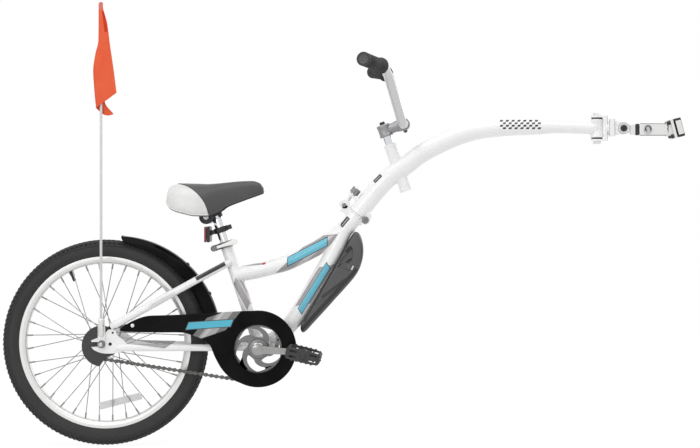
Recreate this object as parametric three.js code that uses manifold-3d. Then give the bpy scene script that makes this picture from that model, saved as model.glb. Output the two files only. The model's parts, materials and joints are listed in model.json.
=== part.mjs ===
// A child's single-wheel trailer bike, drive side towards -Y, hitch towards +X, millimetres, +Z up.
// The origin is the centre of the hitch clamp's bore.
import * as THREE from "three";
import { mergeVertices } from "three/addons/utils/BufferGeometryUtils.js";
import Module from "manifold-3d";

const wasm = await Module();
wasm.setup();

// Where the main points lie
const AXLE_BACK = 1370;
const AXLE_DROP = 514.5;
const CRANK_AHEAD = 371.3;
const CRANK_BELOW_AXLE = 12.1;
const SEAT_TUBE_LENGTH = 268;
const SEAT_LEAN = THREE.MathUtils.degToRad(18.4);
const FOLD_AHEAD_OF_AXLE = 601.2;
const FOLD_ABOVE_AXLE = 303.6;
const NECK_LEAN = THREE.MathUtils.degToRad(51);
const YAW_BACK = 186.8;
const YAW_RISE = 0.5;

// Wheel: the rim's outer radius and the tyre's height over it
const RIM_R = 208;
const TYRE_TALL = 39;
const TYRE_R = RIM_R + TYRE_TALL;

// Clearances and overruns
const GAP = 0.3;
const RUN_CLEARANCE = 0.4;
const OVERRUN = 40;
const LONG_OVERRUN = 120;
const MERGE = 1e-4;

// Facets
const MAIN_SIDES = 12;
const STAY_SIDES = 10;
const BOLT_SIDES = 10;
const WHEEL_SIDES = 36;

// Tubes: outer radii and walls
const SEAT_POST_R = 12.7;
const SEAT_TUBE_WALL = 1.5;
const SEAT_TUBE_R = SEAT_POST_R + GAP + SEAT_TUBE_WALL;
const TUBE_WALL = 1.6;
const BOOM_WALL = 2.3;
const TOP_TUBE_R = 18.5;
const DOWN_TUBE_R = 20.3;
const NECK_R = 20.5;
const NECK_BELOW = 44;
const STAY_WALL = 1.4;
const CHAINSTAY_R = 9;
const SEATSTAY_R = 9.5;
const BOOM_BASE_R = 23.5;
const BOOM_FRONT_R = 15;
const SHELL_R = 27;
const SHELL_WALL = 2.6;
const SHELL_WIDTH = 68;

const ACROSS = new THREE.Vector3(0, 1, 0);
const UP = new THREE.Vector3(0, 0, 1);
const FORWARD = new THREE.Vector3(1, 0, 0);
const NEARLY_ALONG = 0.9;

// Shape helpers
const at = (x, y, z) => new THREE.Vector3(x, y, z);
const along = (start, direction, length) => start.clone().addScaledVector(direction, length);
const between = (a, b, share) => a.clone().lerp(b, share);

// Turns any closed geometry into an indexed one with merged corners and faces that point out.
function closed(geometry) {
  const bare = new THREE.BufferGeometry();
  bare.setAttribute("position", geometry.getAttribute("position"));
  if (geometry.index) bare.setIndex(geometry.index);
  const merged = mergeVertices(bare, MERGE);
  const p = merged.getAttribute("position");
  const kept = [];
  let volume = 0;
  const corners = [new THREE.Vector3(), new THREE.Vector3(), new THREE.Vector3()];
  for (let i = 0; i < merged.index.count; i += 3) {
    const t = [0, 1, 2].map((k) => merged.index.getX(i + k));
    if (t[0] === t[1] || t[1] === t[2] || t[2] === t[0]) continue;
    t.forEach((v, k) => corners[k].fromBufferAttribute(p, v));
    volume += corners[0].dot(corners[1].clone().cross(corners[2]));
    kept.push(t);
  }
  merged.setIndex(kept.flatMap((t) => (volume < 0 ? [t[0], t[2], t[1]] : t)));
  return merged;
}

function solidOf(geometry) {
  const g = closed(geometry);
  return new wasm.Manifold(
    new wasm.Mesh({
      numProp: 3,
      vertProperties: new Float32Array(g.getAttribute("position").array),
      triVerts: new Uint32Array(g.index.array),
    }),
  );
}

function geometryOf(solid) {
  const mesh = solid.getMesh();
  const g = new THREE.BufferGeometry();
  g.setAttribute("position", new THREE.BufferAttribute(mesh.vertProperties, 3));
  g.setIndex(new THREE.BufferAttribute(mesh.triVerts, 1));
  return g;
}

const join = (...list) => geometryOf(list.map(solidOf).reduce((a, b) => a.add(b)));
const cut = (body, ...tools) => geometryOf(tools.map(solidOf).reduce((a, b) => a.subtract(b), solidOf(body)));
const common = (a, b) => geometryOf(solidOf(a).intersect(solidOf(b)));

// A matrix that takes +Z to a direction, with +X as near as it can to a hint, and the origin to a place.
function frameAt(place, direction, hint = FORWARD) {
  const z = direction.clone().normalize();
  const guide = Math.abs(z.dot(hint)) > NEARLY_ALONG ? UP : hint;
  const x = guide.clone().addScaledVector(z, -guide.dot(z)).normalize();
  return new THREE.Matrix4().makeBasis(x, z.clone().cross(x), z).setPosition(place);
}

// A turned piece: rows of [radius, height] about +Z. A profile off the axis closes on itself.
function turned(rows, sides) {
  const onAxis = rows[0][0] === 0;
  const points = rows.map(([r, h]) => new THREE.Vector2(r, h));
  if (!onAxis) points.push(points[0].clone());
  return closed(new THREE.LatheGeometry(points, sides).rotateX(Math.PI / 2));
}

// A turned piece put at a place, with its axis along a direction.
const turnedAt = (rows, sides, place, direction, hint) =>
  turned(rows, sides).applyMatrix4(frameAt(place, direction, hint));

const disc = (radius, low, high) => [[0, low], [radius, low], [radius, high], [0, high]];
const sleeve = (outer, inner, low, high) => [[inner, low], [outer, low], [outer, high], [inner, high]];

// A round bar from one point to another.
function rod(a, b, radius, sides, hint) {
  const d = b.clone().sub(a);
  return turnedAt(disc(radius, 0, d.length()), sides, a, d, hint);
}

function pipe(a, b, outer, inner, sides, hint) {
  const d = b.clone().sub(a);
  return turnedAt(sleeve(outer, inner, 0, d.length()), sides, a, d, hint);
}

// A tube along a curve. radiusAt gives the outer radius at a share of the length; a wall of 0 fills it.
function swept({ curve, radiusAt, steps, sides }, wall, grow = 0) {
  const shares = Array.from({ length: steps + 1 }, (_, i) => i / steps);
  const outer = shares.map((s) => new THREE.Vector2(radiusAt(s) + grow, s));
  const inner = shares.map((s) => new THREE.Vector2(radiusAt(s) - wall, s)).reverse();
  const profile = wall
    ? [...outer, ...inner, outer[0].clone()]
    : [new THREE.Vector2(0, 0), ...outer, new THREE.Vector2(0, 1)];
  const g = new THREE.LatheGeometry(profile, sides);
  const frames = curve.computeFrenetFrames(steps, false);
  const p = g.getAttribute("position");
  for (let i = 0; i < p.count; i++) {
    const step = Math.round(p.getY(i) * steps);
    const place = curve.getPointAt(step / steps);
    place.addScaledVector(frames.normals[step], p.getX(i));
    place.addScaledVector(frames.binormals[step], p.getZ(i));
    p.setXYZ(i, place.x, place.y, place.z);
  }
  return closed(g);
}

const hollowTube = (spec, wall) => swept(spec, wall);
const filledTube = (spec, grow) => swept(spec, 0, grow);
const smooth = (points) => new THREE.CatmullRomCurve3(points, false, "centripetal");

// A flat plate: an outline of [x, z] points (and holes) between two places across the bike.
function plate(outline, low, high, holes = []) {
  const shape = new THREE.Shape(outline.map(([x, z]) => new THREE.Vector2(x, z)));
  holes.forEach((h) => shape.holes.push(new THREE.Path(h.map(([x, z]) => new THREE.Vector2(x, z)))));
  const g = new THREE.ExtrudeGeometry(shape, { depth: high - low, bevelEnabled: false, curveSegments: 1 });
  return closed(g.rotateX(Math.PI / 2).translate(0, high, 0));
}

// Points of an arc about a centre, from one angle to another.
function arc(x, z, radius, from, to, count) {
  return Array.from({ length: count + 1 }, (_, i) => {
    const a = from + ((to - from) * i) / count;
    return [x + radius * Math.cos(a), z + radius * Math.sin(a)];
  });
}

const ringPoints = (x, z, radius, count) => arc(x, z, radius, 0, 2 * Math.PI, count).slice(0, count);

const block = (low, high) =>
  closed(
    new THREE.BoxGeometry(high.x - low.x, high.y - low.y, high.z - low.z).translate(
      (low.x + high.x) / 2,
      (low.y + high.y) / 2,
      (low.z + high.z) / 2,
    ),
  );

const materials = {
  white: new THREE.MeshStandardMaterial({ color: 0xf2f2f2, roughness: 0.3, metalness: 0.0 }),
  black: new THREE.MeshStandardMaterial({ color: 0x202022, roughness: 0.25, metalness: 0.0 }),
  dark: new THREE.MeshStandardMaterial({ color: 0x36373a, roughness: 0.6, metalness: 0.0 }),
  rubber: new THREE.MeshStandardMaterial({ color: 0x2b2b2c, roughness: 0.85, metalness: 0.0 }),
  chrome: new THREE.MeshStandardMaterial({ color: 0xd6d8da, roughness: 0.12, metalness: 1.0 }),
  steel: new THREE.MeshStandardMaterial({ color: 0xb4b6b8, roughness: 0.35, metalness: 1.0 }),
  vinyl: new THREE.MeshStandardMaterial({ color: 0x3c3c3e, roughness: 0.6, metalness: 0.0 }),
  orange: new THREE.MeshStandardMaterial({ color: 0xee683e, roughness: 0.7, metalness: 0.0 }),
  pole: new THREE.MeshStandardMaterial({ color: 0xededed, roughness: 0.4, metalness: 0.0 }),
  red: new THREE.MeshStandardMaterial({ color: 0x7a1420, roughness: 0.2, metalness: 0.0 }),
  clear: new THREE.MeshStandardMaterial({ color: 0xdfe3e6, roughness: 0.2, metalness: 0.0 }),
};

const bike = new THREE.Group();

function piece(name, geometry, material, group = bike) {
  const mesh = new THREE.Mesh(geometry, materials[material]);
  mesh.name = name;
  group.add(mesh);
}

function groupAt(place, parent = bike) {
  const group = new THREE.Group();
  group.position.copy(place);
  parent.add(group);
  return group;
}

// Main points and directions
const axle = at(-AXLE_BACK, 0, -AXLE_DROP);
const crankCentre = at(-AXLE_BACK + CRANK_AHEAD, 0, -AXLE_DROP - CRANK_BELOW_AXLE);
const seatUp = at(-Math.sin(SEAT_LEAN), 0, Math.cos(SEAT_LEAN));
const seatTop = along(crankCentre, seatUp, SEAT_TUBE_LENGTH);
const fold = at(axle.x + FOLD_AHEAD_OF_AXLE, 0, axle.z + FOLD_ABOVE_AXLE);
const neckUp = at(Math.cos(NECK_LEAN), 0, Math.sin(NECK_LEAN));
const neckFront = at(Math.sin(NECK_LEAN), 0, -Math.cos(NECK_LEAN));
const neckFoot = along(fold, neckUp, -NECK_BELOW);
const yaw = at(-YAW_BACK, 0, YAW_RISE);
const neckPoint = (up, front, side = 0) =>
  along(along(along(fold, neckUp, up), neckFront, front), ACROSS, side);

// A run of points between two ends, as shares of the way along and the way up.
const runBetween = (a, b, shares) =>
  shares.map(([sx, sz]) => at(a.x + (b.x - a.x) * sx, 0, a.z + (b.z - a.z) * sz));

// Main tubes of the rear frame
const TOP_TUBE_SEAT_SHARE = 0.684;
const TOP_TUBE_NECK_DROP = 33;
const TOP_TUBE_RUN_SHARES = [[0, 0], [0.2475, 0.115], [0.468, 0.257], [0.587, 0.385], [0.789, 0.635], [1, 1]];
const DOWN_TUBE_RUN_SHARES = [
  [0, 0], [0.147, 0.221], [0.3075, 0.424], [0.465, 0.62], [0.626, 0.794], [0.82, 0.93], [1, 1],
];
const TOP_TUBE_STEPS = 6;
const DOWN_TUBE_STEPS = 8;

const topTubeSeat = along(crankCentre, seatUp, SEAT_TUBE_LENGTH * TOP_TUBE_SEAT_SHARE);
const topTubeNeck = along(fold, neckUp, -TOP_TUBE_NECK_DROP);
const topTube = {
  curve: smooth(runBetween(topTubeSeat, topTubeNeck, TOP_TUBE_RUN_SHARES)),
  radiusAt: () => TOP_TUBE_R,
  steps: TOP_TUBE_STEPS,
  sides: MAIN_SIDES,
};
const downTube = {
  curve: smooth(runBetween(neckFoot, crankCentre, DOWN_TUBE_RUN_SHARES)),
  radiusAt: () => DOWN_TUBE_R,
  steps: DOWN_TUBE_STEPS,
  sides: MAIN_SIDES,
};
const seatTubeFilled = (grow) =>
  rod(along(crankCentre, seatUp, -grow), along(seatTop, seatUp, grow), SEAT_TUBE_R + grow, MAIN_SIDES);
const shellFilled = (grow) =>
  rod(
    along(crankCentre, ACROSS, -SHELL_WIDTH / 2 - grow),
    along(crankCentre, ACROSS, SHELL_WIDTH / 2 + grow),
    SHELL_R + grow,
    MAIN_SIDES,
  );
const neckFilled = (grow) =>
  rod(along(neckFoot, neckUp, -grow), along(fold, neckUp, FOLD_SPLIT_UP), NECK_R + grow, MAIN_SIDES);

// The fold joint: hinge bolt in front, draw bolt with its hand knob behind
const FOLD_SPLIT_UP = 8;
const HINGE_AHEAD = 24.6;
const HINGE_LUG_R = 11;
const HINGE_BOLT_R = 4.5;
const HINGE_HEAD_R = 8.5;
const HINGE_HEAD_THICK = 6;
const KNUCKLE_HALF = 10;
const EAR_THICK = 6;
const DRAW_BEHIND = 38;
const DRAW_UP = 6;
const DRAW_LUG_R = 12.5;
const DRAW_LUG_HALF = 9;
const DRAW_PIN_R = 5;
const DRAW_PIN_PROUD = 2;
const DRAW_BOLT_R = 4;
const DRAW_BOLT_IN_LUG = 6;
const DRAW_PLATE_UP = 30;
const DRAW_PLATE_THICK = 5;
const DRAW_PLATE_HALF = 10;
const DRAW_PLATE_EDGE = 12;
const KNOB_R = 11.5;
const KNOB_HIGH = 22;
const KNOB_COLLAR_R = 7.5;
const KNOB_COLLAR_HIGH = 3;

const hinge = neckPoint(FOLD_SPLIT_UP, HINGE_AHEAD);
const hingeRod = (radius, low, high) =>
  rod(along(hinge, ACROSS, low), along(hinge, ACROSS, high), radius, MAIN_SIDES);
const earOuter = KNUCKLE_HALF + RUN_CLEARANCE + EAR_THICK;
// A slab in the neck's own directions, with its thickness across the bike.
function neckSlab(upLow, upHigh, frontLow, frontHigh, half) {
  const g = new THREE.BoxGeometry(upHigh - upLow, 2 * half, frontHigh - frontLow);
  g.translate((upLow + upHigh) / 2, 0, (frontLow + frontHigh) / 2);
  const turn = new THREE.Matrix4().makeBasis(neckUp, ACROSS, neckFront).setPosition(fold);
  return closed(g.applyMatrix4(turn));
}
const earRecess = [-1, 1].map((side) =>
  hingeRod(
    HINGE_LUG_R + RUN_CLEARANCE,
    side > 0 ? KNUCKLE_HALF + GAP / 2 : -earOuter - GAP,
    side > 0 ? earOuter + GAP : -KNUCKLE_HALF - GAP / 2,
  ),
);
const drawLug = neckPoint(DRAW_UP, -DRAW_BEHIND);
const drawLine = (low, high, radius, sides) =>
  rod(neckPoint(low, -DRAW_BEHIND), neckPoint(high, -DRAW_BEHIND), radius, sides);
const drawTip = DRAW_UP + DRAW_LUG_R - DRAW_BOLT_IN_LUG;

const neckSolid = () => {
  const outer = join(
    rod(neckFoot, neckPoint(FOLD_SPLIT_UP - GAP / 2, 0), NECK_R, MAIN_SIDES),
    neckSlab(-HINGE_LUG_R, FOLD_SPLIT_UP - GAP, 0, HINGE_AHEAD, KNUCKLE_HALF),
    hingeRod(HINGE_LUG_R, -KNUCKLE_HALF, KNUCKLE_HALF),
    neckSlab(-DRAW_LUG_R, FOLD_SPLIT_UP - GAP, -DRAW_BEHIND, 0, DRAW_LUG_HALF),
    rod(
      along(drawLug, ACROSS, -DRAW_LUG_HALF),
      along(drawLug, ACROSS, DRAW_LUG_HALF),
      DRAW_LUG_R,
      MAIN_SIDES,
    ),
    rod(
      along(drawLug, ACROSS, -DRAW_LUG_HALF - DRAW_PIN_PROUD),
      along(drawLug, ACROSS, DRAW_LUG_HALF + DRAW_PIN_PROUD),
      DRAW_PIN_R,
      BOLT_SIDES,
    ),
  );
  return cut(
    outer,
    rod(along(neckFoot, neckUp, -OVERRUN), along(fold, neckUp, OVERRUN), NECK_R - TUBE_WALL, MAIN_SIDES),
    hingeRod(HINGE_BOLT_R + GAP, -OVERRUN, OVERRUN),
    drawLine(drawTip - GAP, DRAW_UP + OVERRUN, DRAW_BOLT_R + RUN_CLEARANCE, BOLT_SIDES),
    ...earRecess,
  );
};
piece("neck", neckSolid(), "white");

// Seat tube, bottom bracket shell, top tube and down tube, each cut to the tube that it is welded to
const seatBore = rod(
  along(crankCentre, seatUp, -OVERRUN),
  along(seatTop, seatUp, OVERRUN),
  SEAT_POST_R + GAP,
  MAIN_SIDES,
);
const seatTubeSolid = cut(
  rod(crankCentre, seatTop, SEAT_TUBE_R, MAIN_SIDES),
  shellFilled(GAP),
  seatBore,
);
piece("seat_tube", seatTubeSolid, "white");
piece(
  "bottom_bracket_shell",
  pipe(
    along(crankCentre, ACROSS, -SHELL_WIDTH / 2),
    along(crankCentre, ACROSS, SHELL_WIDTH / 2),
    SHELL_R,
    SHELL_R - SHELL_WALL,
    MAIN_SIDES,
  ),
  "white",
);
const topTubeSolid = cut(
  hollowTube(topTube, TUBE_WALL),
  seatTubeFilled(GAP),
  neckFilled(GAP),
  filledTube(downTube, GAP),
);
piece("top_tube", topTubeSolid, "white");
const downTubeSolid = cut(
  hollowTube(downTube, TUBE_WALL),
  neckFilled(GAP),
  shellFilled(GAP),
  seatTubeFilled(GAP),
);
piece("down_tube", downTubeSolid, "white");

// Stays and dropouts, drive side first
const STAY_HALF_REAR = 61;
const DROPOUT_THICK = 5;
const DROPOUT_HALF = 58;
const CHAINSTAY_DROP = 8;
const CHAINSTAY_REAR = 34;
const CHAINSTAY_WIDE_SHARES = [[0, 1], [0.55, 0.62], [0.68, 0.56], [0.8, 0.46], [1, 0.36]];
const SEATSTAY_REAR = 21;
const SEATSTAY_RISE = 41;
const SEATSTAY_TOP_SHARE = 0.815;
const SEATSTAY_WIDE_SHARES = [[0, 1], [0.42, 0.78], [0.72, 0.65], [0.88, 0.5], [1, 0.3]];
const STAY_STEPS = 6;
const DROPOUT_OUTLINE = [
  [-25, 6], [-25, 9], [-14, 14], [6, 20], [14, 34], [30, 34], [34, 20], [58, 4], [60, -12], [36, -22],
  [4, -23], [-14, -17], [-25, -9], [-25, -6],
];
const DROPOUT_SLOT_HALF = 5.2;
const DROPOUT_SLOT_BACK = 26;

const staySide = (a, b, shares, half, side) =>
  smooth(shares.map(([s, wide]) => between(a, b, s).addScaledVector(ACROSS, side * half * wide)));
const chainstayRear = at(axle.x + CHAINSTAY_REAR, 0, axle.z - CHAINSTAY_DROP);
const seatstayRear = at(axle.x + SEATSTAY_REAR, 0, axle.z + SEATSTAY_RISE);
const seatstayTop = along(crankCentre, seatUp, SEAT_TUBE_LENGTH * SEATSTAY_TOP_SHARE);
const chainstay = (side) => ({
  curve: staySide(chainstayRear, crankCentre, CHAINSTAY_WIDE_SHARES, STAY_HALF_REAR, side),
  radiusAt: () => CHAINSTAY_R,
  steps: STAY_STEPS,
  sides: STAY_SIDES,
});
const seatstay = (side) => ({
  curve: staySide(seatstayRear, seatstayTop, SEATSTAY_WIDE_SHARES, STAY_HALF_REAR, side),
  radiusAt: () => SEATSTAY_R,
  steps: STAY_STEPS,
  sides: STAY_SIDES,
});

const dropoutPlate = (side, grow) => {
  const middle = side * DROPOUT_HALF;
  const outline = DROPOUT_OUTLINE.map(([x, z]) => [axle.x + x, axle.z + z]);
  return plate(outline, middle - DROPOUT_THICK / 2 - grow, middle + DROPOUT_THICK / 2 + grow);
};
const dropoutSlot = block(
  at(axle.x - DROPOUT_SLOT_BACK - OVERRUN, -LONG_OVERRUN, axle.z - DROPOUT_SLOT_HALF),
  at(axle.x + DROPOUT_SLOT_HALF, LONG_OVERRUN, axle.z + DROPOUT_SLOT_HALF),
);
const sideName = { [-1]: "right", [1]: "left" };
for (const side of [-1, 1]) {
  piece(`dropout_${sideName[side]}`, cut(dropoutPlate(side, 0), dropoutSlot), "white");
  piece(
    `chainstay_${sideName[side]}`,
    cut(
      hollowTube(chainstay(side), STAY_WALL),
      dropoutPlate(side, GAP),
      shellFilled(GAP),
      filledTube(downTube, GAP),
      seatTubeFilled(GAP),
    ),
    "white",
  );
}

// Moves each side of a closed outline inwards by a distance.
function inset(outline, distance) {
  const area = outline.reduce((sum, [x, z], i) => {
    const [nx, nz] = outline[(i + 1) % outline.length];
    return sum + x * nz - nx * z;
  }, 0);
  const turn = Math.sign(area);
  return outline.map(([x, z], i) => {
    const [px, pz] = outline[(i + outline.length - 1) % outline.length];
    const [nx, nz] = outline[(i + 1) % outline.length];
    const before = new THREE.Vector2(x - px, z - pz).normalize();
    const after = new THREE.Vector2(nx - x, nz - z).normalize();
    const normal = new THREE.Vector2(
      -before.y - after.y,
      before.x + after.x,
    ).normalize().multiplyScalar(turn);
    const reach = distance / Math.max(0.4, -before.y * normal.x * turn + before.x * normal.y * turn);
    return [x + normal.x * reach, z + normal.y * reach];
  });
}
const shifted = (outline, centre) => outline.map(([x, z]) => [centre.x + x, centre.z + z]);

// Seatstays with their bridge, and the tab that holds the guard's tail
const BRIDGE_R = 7.5;
const BRIDGE_SHARE = 0.66;
const FENDER_CLEAR = 8;
const FENDER_R = TYRE_R + FENDER_CLEAR;
const FENDER_AHEAD = 24;
const FENDER_RISE = 2;
const FENDER_WALL = 1.8;
const FENDER_HALF = 27.5;
const FENDER_SIDES = 60;
const FENDER_FROM = THREE.MathUtils.degToRad(15);
const FENDER_TO = THREE.MathUtils.degToRad(83);
const FENDER_SECTION_SHARES = [[1, -0.052], [0.78, -0.02], [0.4, -0.004], [0, 0]];
const GUARD_OUTER = 55;
const GUARD_WALL = 2.2;
const GUARD_DEEP = 8.5;
const GUARD_DISC_R = 91.5;
const GUARD_WINDOW_R = 58;
const GUARD_SCREW_BACK = 299;
const GUARD_SCREW_RISE = 56;
const GUARD_SCREW_R = 5;
const GUARD_TAB_THICK = 2.5;
const GUARD_TAB_HALF = 8;
const GUARD_TAB_TALL = 24;
const GUARD_TAIL_UPPER = [[-174, 82], [-266, 78.6], [-285, 72], [-327, 51]];
const GUARD_TAIL_LOWER = [
  [-333, 44], [-315, 40], [-174, 38], [-159, 33], [-128, 22], [-114, 10], [-103, -19], [-85, -50],
  [-60, -72],
];
const GUARD_ARC_STEPS = 16;
const GUARD_ARC_FROM = THREE.MathUtils.degToRad(-115);
const GUARD_ARC_TO = THREE.MathUtils.degToRad(96);

const fenderCentre = at(axle.x + FENDER_AHEAD, 0, axle.z + FENDER_RISE);
// Where the seatstays' line crosses a circle about the fender's centre
function onStayAt(distance) {
  const d = seatstayTop.clone().sub(seatstayRear).normalize();
  const from = seatstayRear.clone().sub(fenderCentre);
  const half = from.dot(d);
  return along(seatstayRear, d, -half + Math.sqrt(half * half - from.lengthSq() + distance * distance));
}
const bridgeCentre = onStayAt(FENDER_R + GAP + BRIDGE_R);
piece(
  "seatstay_bridge",
  cut(
    rod(
      along(bridgeCentre, ACROSS, -STAY_HALF_REAR),
      along(bridgeCentre, ACROSS, STAY_HALF_REAR),
      BRIDGE_R,
      STAY_SIDES,
    ),
    filledTube(seatstay(-1), GAP),
    filledTube(seatstay(1), GAP),
    ...[-1, 1].map((side) =>
      rod(
        along(bridgeCentre, ACROSS, side * STAY_HALF_REAR * BRIDGE_SHARE),
        along(bridgeCentre, ACROSS, side * (STAY_HALF_REAR + OVERRUN)),
        BRIDGE_R + OVERRUN,
        STAY_SIDES,
      ),
    ),
  ),
  "white",
);
const guardScrew = at(crankCentre.x - GUARD_SCREW_BACK, 0, crankCentre.z + GUARD_SCREW_RISE);
const guardInner = -GUARD_OUTER + GUARD_WALL;
const stayTab = (grow) =>
  block(
    at(guardScrew.x - GUARD_TAB_HALF - grow, guardInner + GAP - grow, guardScrew.z - GUARD_TAB_HALF - grow),
    at(
      guardScrew.x + GUARD_TAB_HALF + grow,
      guardInner + GAP + GUARD_TAB_THICK + grow,
      guardScrew.z + GUARD_TAB_TALL + grow,
    ),
  );
for (const side of [-1, 1]) {
  const tube = hollowTube(seatstay(side), STAY_WALL);
  const whole = side < 0 ? join(tube, cut(stayTab(0), filledTube(seatstay(side), -STAY_WALL / 2))) : tube;
  piece(
    `seatstay_${sideName[side]}`,
    cut(whole, dropoutPlate(side, GAP), seatTubeFilled(GAP), filledTube(topTube, GAP)),
    "white",
  );
}

// Fender over the tyre
const fenderRows = () => {
  const row = ([wide, drop], grow) => [FENDER_R * (1 + drop) - grow, FENDER_HALF * wide];
  const half = FENDER_SECTION_SHARES;
  const upper = half.map((p) => row(p, 0));
  const lower = half.slice(0, -1).reverse().map((p) => row(p, 0)).map(([r, y]) => [r, -y]);
  const outer = [...upper, ...lower];
  const inner = outer.map(([r, y]) => [r - FENDER_WALL, y]).reverse();
  return [...outer, ...inner];
};
const fenderRing = turnedAt(fenderRows(), FENDER_SIDES, fenderCentre, ACROSS);
const fenderWedge = plate(
  shifted([[0, 0], ...arc(0, 0, FENDER_R * 2, FENDER_FROM, FENDER_TO, 2)], fenderCentre),
  -FENDER_HALF - OVERRUN,
  FENDER_HALF + OVERRUN,
);
piece("fender", common(fenderRing, fenderWedge), "black");

// Chain guard: a flat face with a round window and a skirt inside its edge
const guardOutline = shifted(
  [
    ...arc(0, 0, GUARD_DISC_R, GUARD_ARC_FROM, GUARD_ARC_TO, GUARD_ARC_STEPS),
    ...GUARD_TAIL_UPPER,
    ...GUARD_TAIL_LOWER,
  ],
  crankCentre,
);
piece(
  "chain_guard",
  cut(
    join(
      cut(
        plate(guardOutline, -GUARD_OUTER, -GUARD_OUTER + GUARD_DEEP),
        plate(inset(guardOutline, GUARD_WALL), guardInner, -GUARD_OUTER + OVERRUN),
        stayTab(GAP),
      ),
      rod(
        at(guardScrew.x, -GUARD_OUTER - GUARD_WALL, guardScrew.z),
        at(guardScrew.x, guardInner, guardScrew.z),
        GUARD_SCREW_R,
        BOLT_SIDES,
      ),
    ),
    plate(
      shifted(ringPoints(0, 0, GUARD_WINDOW_R, 2 * GUARD_ARC_STEPS), crankCentre),
      -GUARD_OUTER - OVERRUN,
      0,
    ),
  ),
  "black",
);

// Cover over the rear sprocket
const COVER_R = 49;
const COVER_DROP = 5;
const COVER_THICK = 2.5;
const COVER_SKIRT = 7;
const COVER_HOLE_R = 6.5;
const COVER_SIDES = 20;
const coverOuter = -DROPOUT_HALF + DROPOUT_THICK / 2 + GAP;
const coverAt = at(axle.x, 0, axle.z - COVER_DROP);
piece(
  "sprocket_cover",
  cut(
    turnedAt(
      [
        [0, coverOuter], [COVER_R, coverOuter], [COVER_R, coverOuter + COVER_SKIRT],
        [COVER_R - COVER_THICK, coverOuter + COVER_SKIRT],
        [COVER_R - COVER_THICK, coverOuter + COVER_THICK], [0, coverOuter + COVER_THICK],
      ],
      COVER_SIDES,
      coverAt,
      ACROSS,
    ),
    rod(at(axle.x, -LONG_OVERRUN, axle.z), at(axle.x, 0, axle.z), COVER_HOLE_R, BOLT_SIDES),
    dropoutSlot,
    plate(inset(guardOutline, -GAP * 2), -GUARD_OUTER - OVERRUN, 0),
    filledTube(chainstay(-1), GAP),
    filledTube(seatstay(-1), GAP),
  ),
  "dark",
);

// Moulded fairing that wraps the front of the down tube: points from the neck down, as [ahead, below] of
// the fold
const FAIRING_FRONT = [
  [6, 37], [14, 52], [18, 83], [14, 110], [2, 139], [-52, 203], [-104, 258], [-125, 279],
];
const FAIRING_REAR = [[-131, 264], [-129, 256], [-94, 194], [-48, 118], [-7, 45]];
const FAIRING_HALF = 25;
const FAIRING_BEVEL = 7;
const FAIRING_WALL = 2.4;
const FAIRING_RIB_THICK = 4;
const FAIRING_REACH = 160;
const FAIRING_RIBS = [70, 130, 190, 240];
const fairingOutline = [...FAIRING_FRONT, ...FAIRING_REAR].map(([x, z]) => [fold.x + x, fold.z - z]);
const fairingShell = (outline, half, bevel) => {
  const shape = new THREE.Shape(outline.map(([x, z]) => new THREE.Vector2(x, z)));
  const depth = 2 * (half - bevel);
  const g = new THREE.ExtrudeGeometry(shape, {
    depth,
    bevelThickness: bevel,
    bevelSize: bevel,
    bevelOffset: -bevel,
    bevelSegments: 1,
    curveSegments: 1,
  });
  return closed(g.rotateX(Math.PI / 2).translate(0, depth / 2, 0));
};
const fairingCavity = [
  ...inset(fairingOutline, FAIRING_WALL).slice(0, FAIRING_FRONT.length),
  ...FAIRING_REAR.map(([x, z]) => [fold.x + x - OVERRUN, fold.z - z + OVERRUN]),
];
piece(
  "side_fairing",
  cut(
    fairingShell(fairingOutline, FAIRING_HALF, FAIRING_BEVEL),
    cut(
      plate(fairingCavity, -DOWN_TUBE_R - GAP, DOWN_TUBE_R + GAP),
      ...FAIRING_RIBS.map((drop) =>
        block(
          at(fold.x - FAIRING_REACH, -OVERRUN, fold.z - drop - FAIRING_RIB_THICK),
          at(fold.x + OVERRUN, OVERRUN, fold.z - drop),
        ),
      ),
    ),
    filledTube(downTube, GAP),
    neckFilled(GAP),
  ),
  "dark",
);

// Drive: chainring on the crank, freewheel sprocket behind, chain round both
const PITCH = 12.7;
const RING_TEETH_COUNT = 40;
const SPROCKET_TEETH_COUNT = 18;
const CHAIN_LINE = 42;
const CHAIN_HALF = 4;
const CHAIN_TALL_HALF = 4.2;
const CHAIN_GROOVE_HALF = 2;
const CHAIN_GROOVE_RISE = 2.2;
const DISC_HALF = 1.5;
const TOOTH_TIP = 1.2;
const CHAIN_STEPS = 14;
const pitchRadius = (teeth) => PITCH / (2 * Math.sin(Math.PI / teeth));
const ringR = pitchRadius(RING_TEETH_COUNT);
const sprocketR = pitchRadius(SPROCKET_TEETH_COUNT);
const crankLocal = crankCentre.clone().sub(axle);
// The belt line round both wheels at a distance outside the pitch line, seen from the axle
function beltLine(offset) {
  const reach = Math.hypot(crankLocal.x, crankLocal.z);
  const lean = Math.atan2(crankLocal.z, crankLocal.x);
  const open = Math.acos((ringR - sprocketR) / reach);
  const front = arc(
    crankLocal.x,
    crankLocal.z,
    ringR + offset,
    lean - (Math.PI - open),
    lean + (Math.PI - open),
    CHAIN_STEPS,
  );
  const back = arc(
    0,
    0,
    sprocketR + offset,
    lean + (Math.PI - open),
    lean + (Math.PI + open),
    CHAIN_STEPS / 2,
  );
  return [...front, ...back];
}
const driveGroup = groupAt(axle);
piece(
  "chain",
  cut(
    plate(beltLine(CHAIN_TALL_HALF), -CHAIN_LINE - CHAIN_HALF, -CHAIN_LINE + CHAIN_HALF),
    plate(beltLine(-CHAIN_TALL_HALF), -CHAIN_LINE - OVERRUN, -CHAIN_LINE + OVERRUN),
    plate(beltLine(CHAIN_GROOVE_RISE), -CHAIN_LINE - CHAIN_GROOVE_HALF, -CHAIN_LINE + CHAIN_GROOVE_HALF),
  ),
  "dark",
  driveGroup,
);
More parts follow.
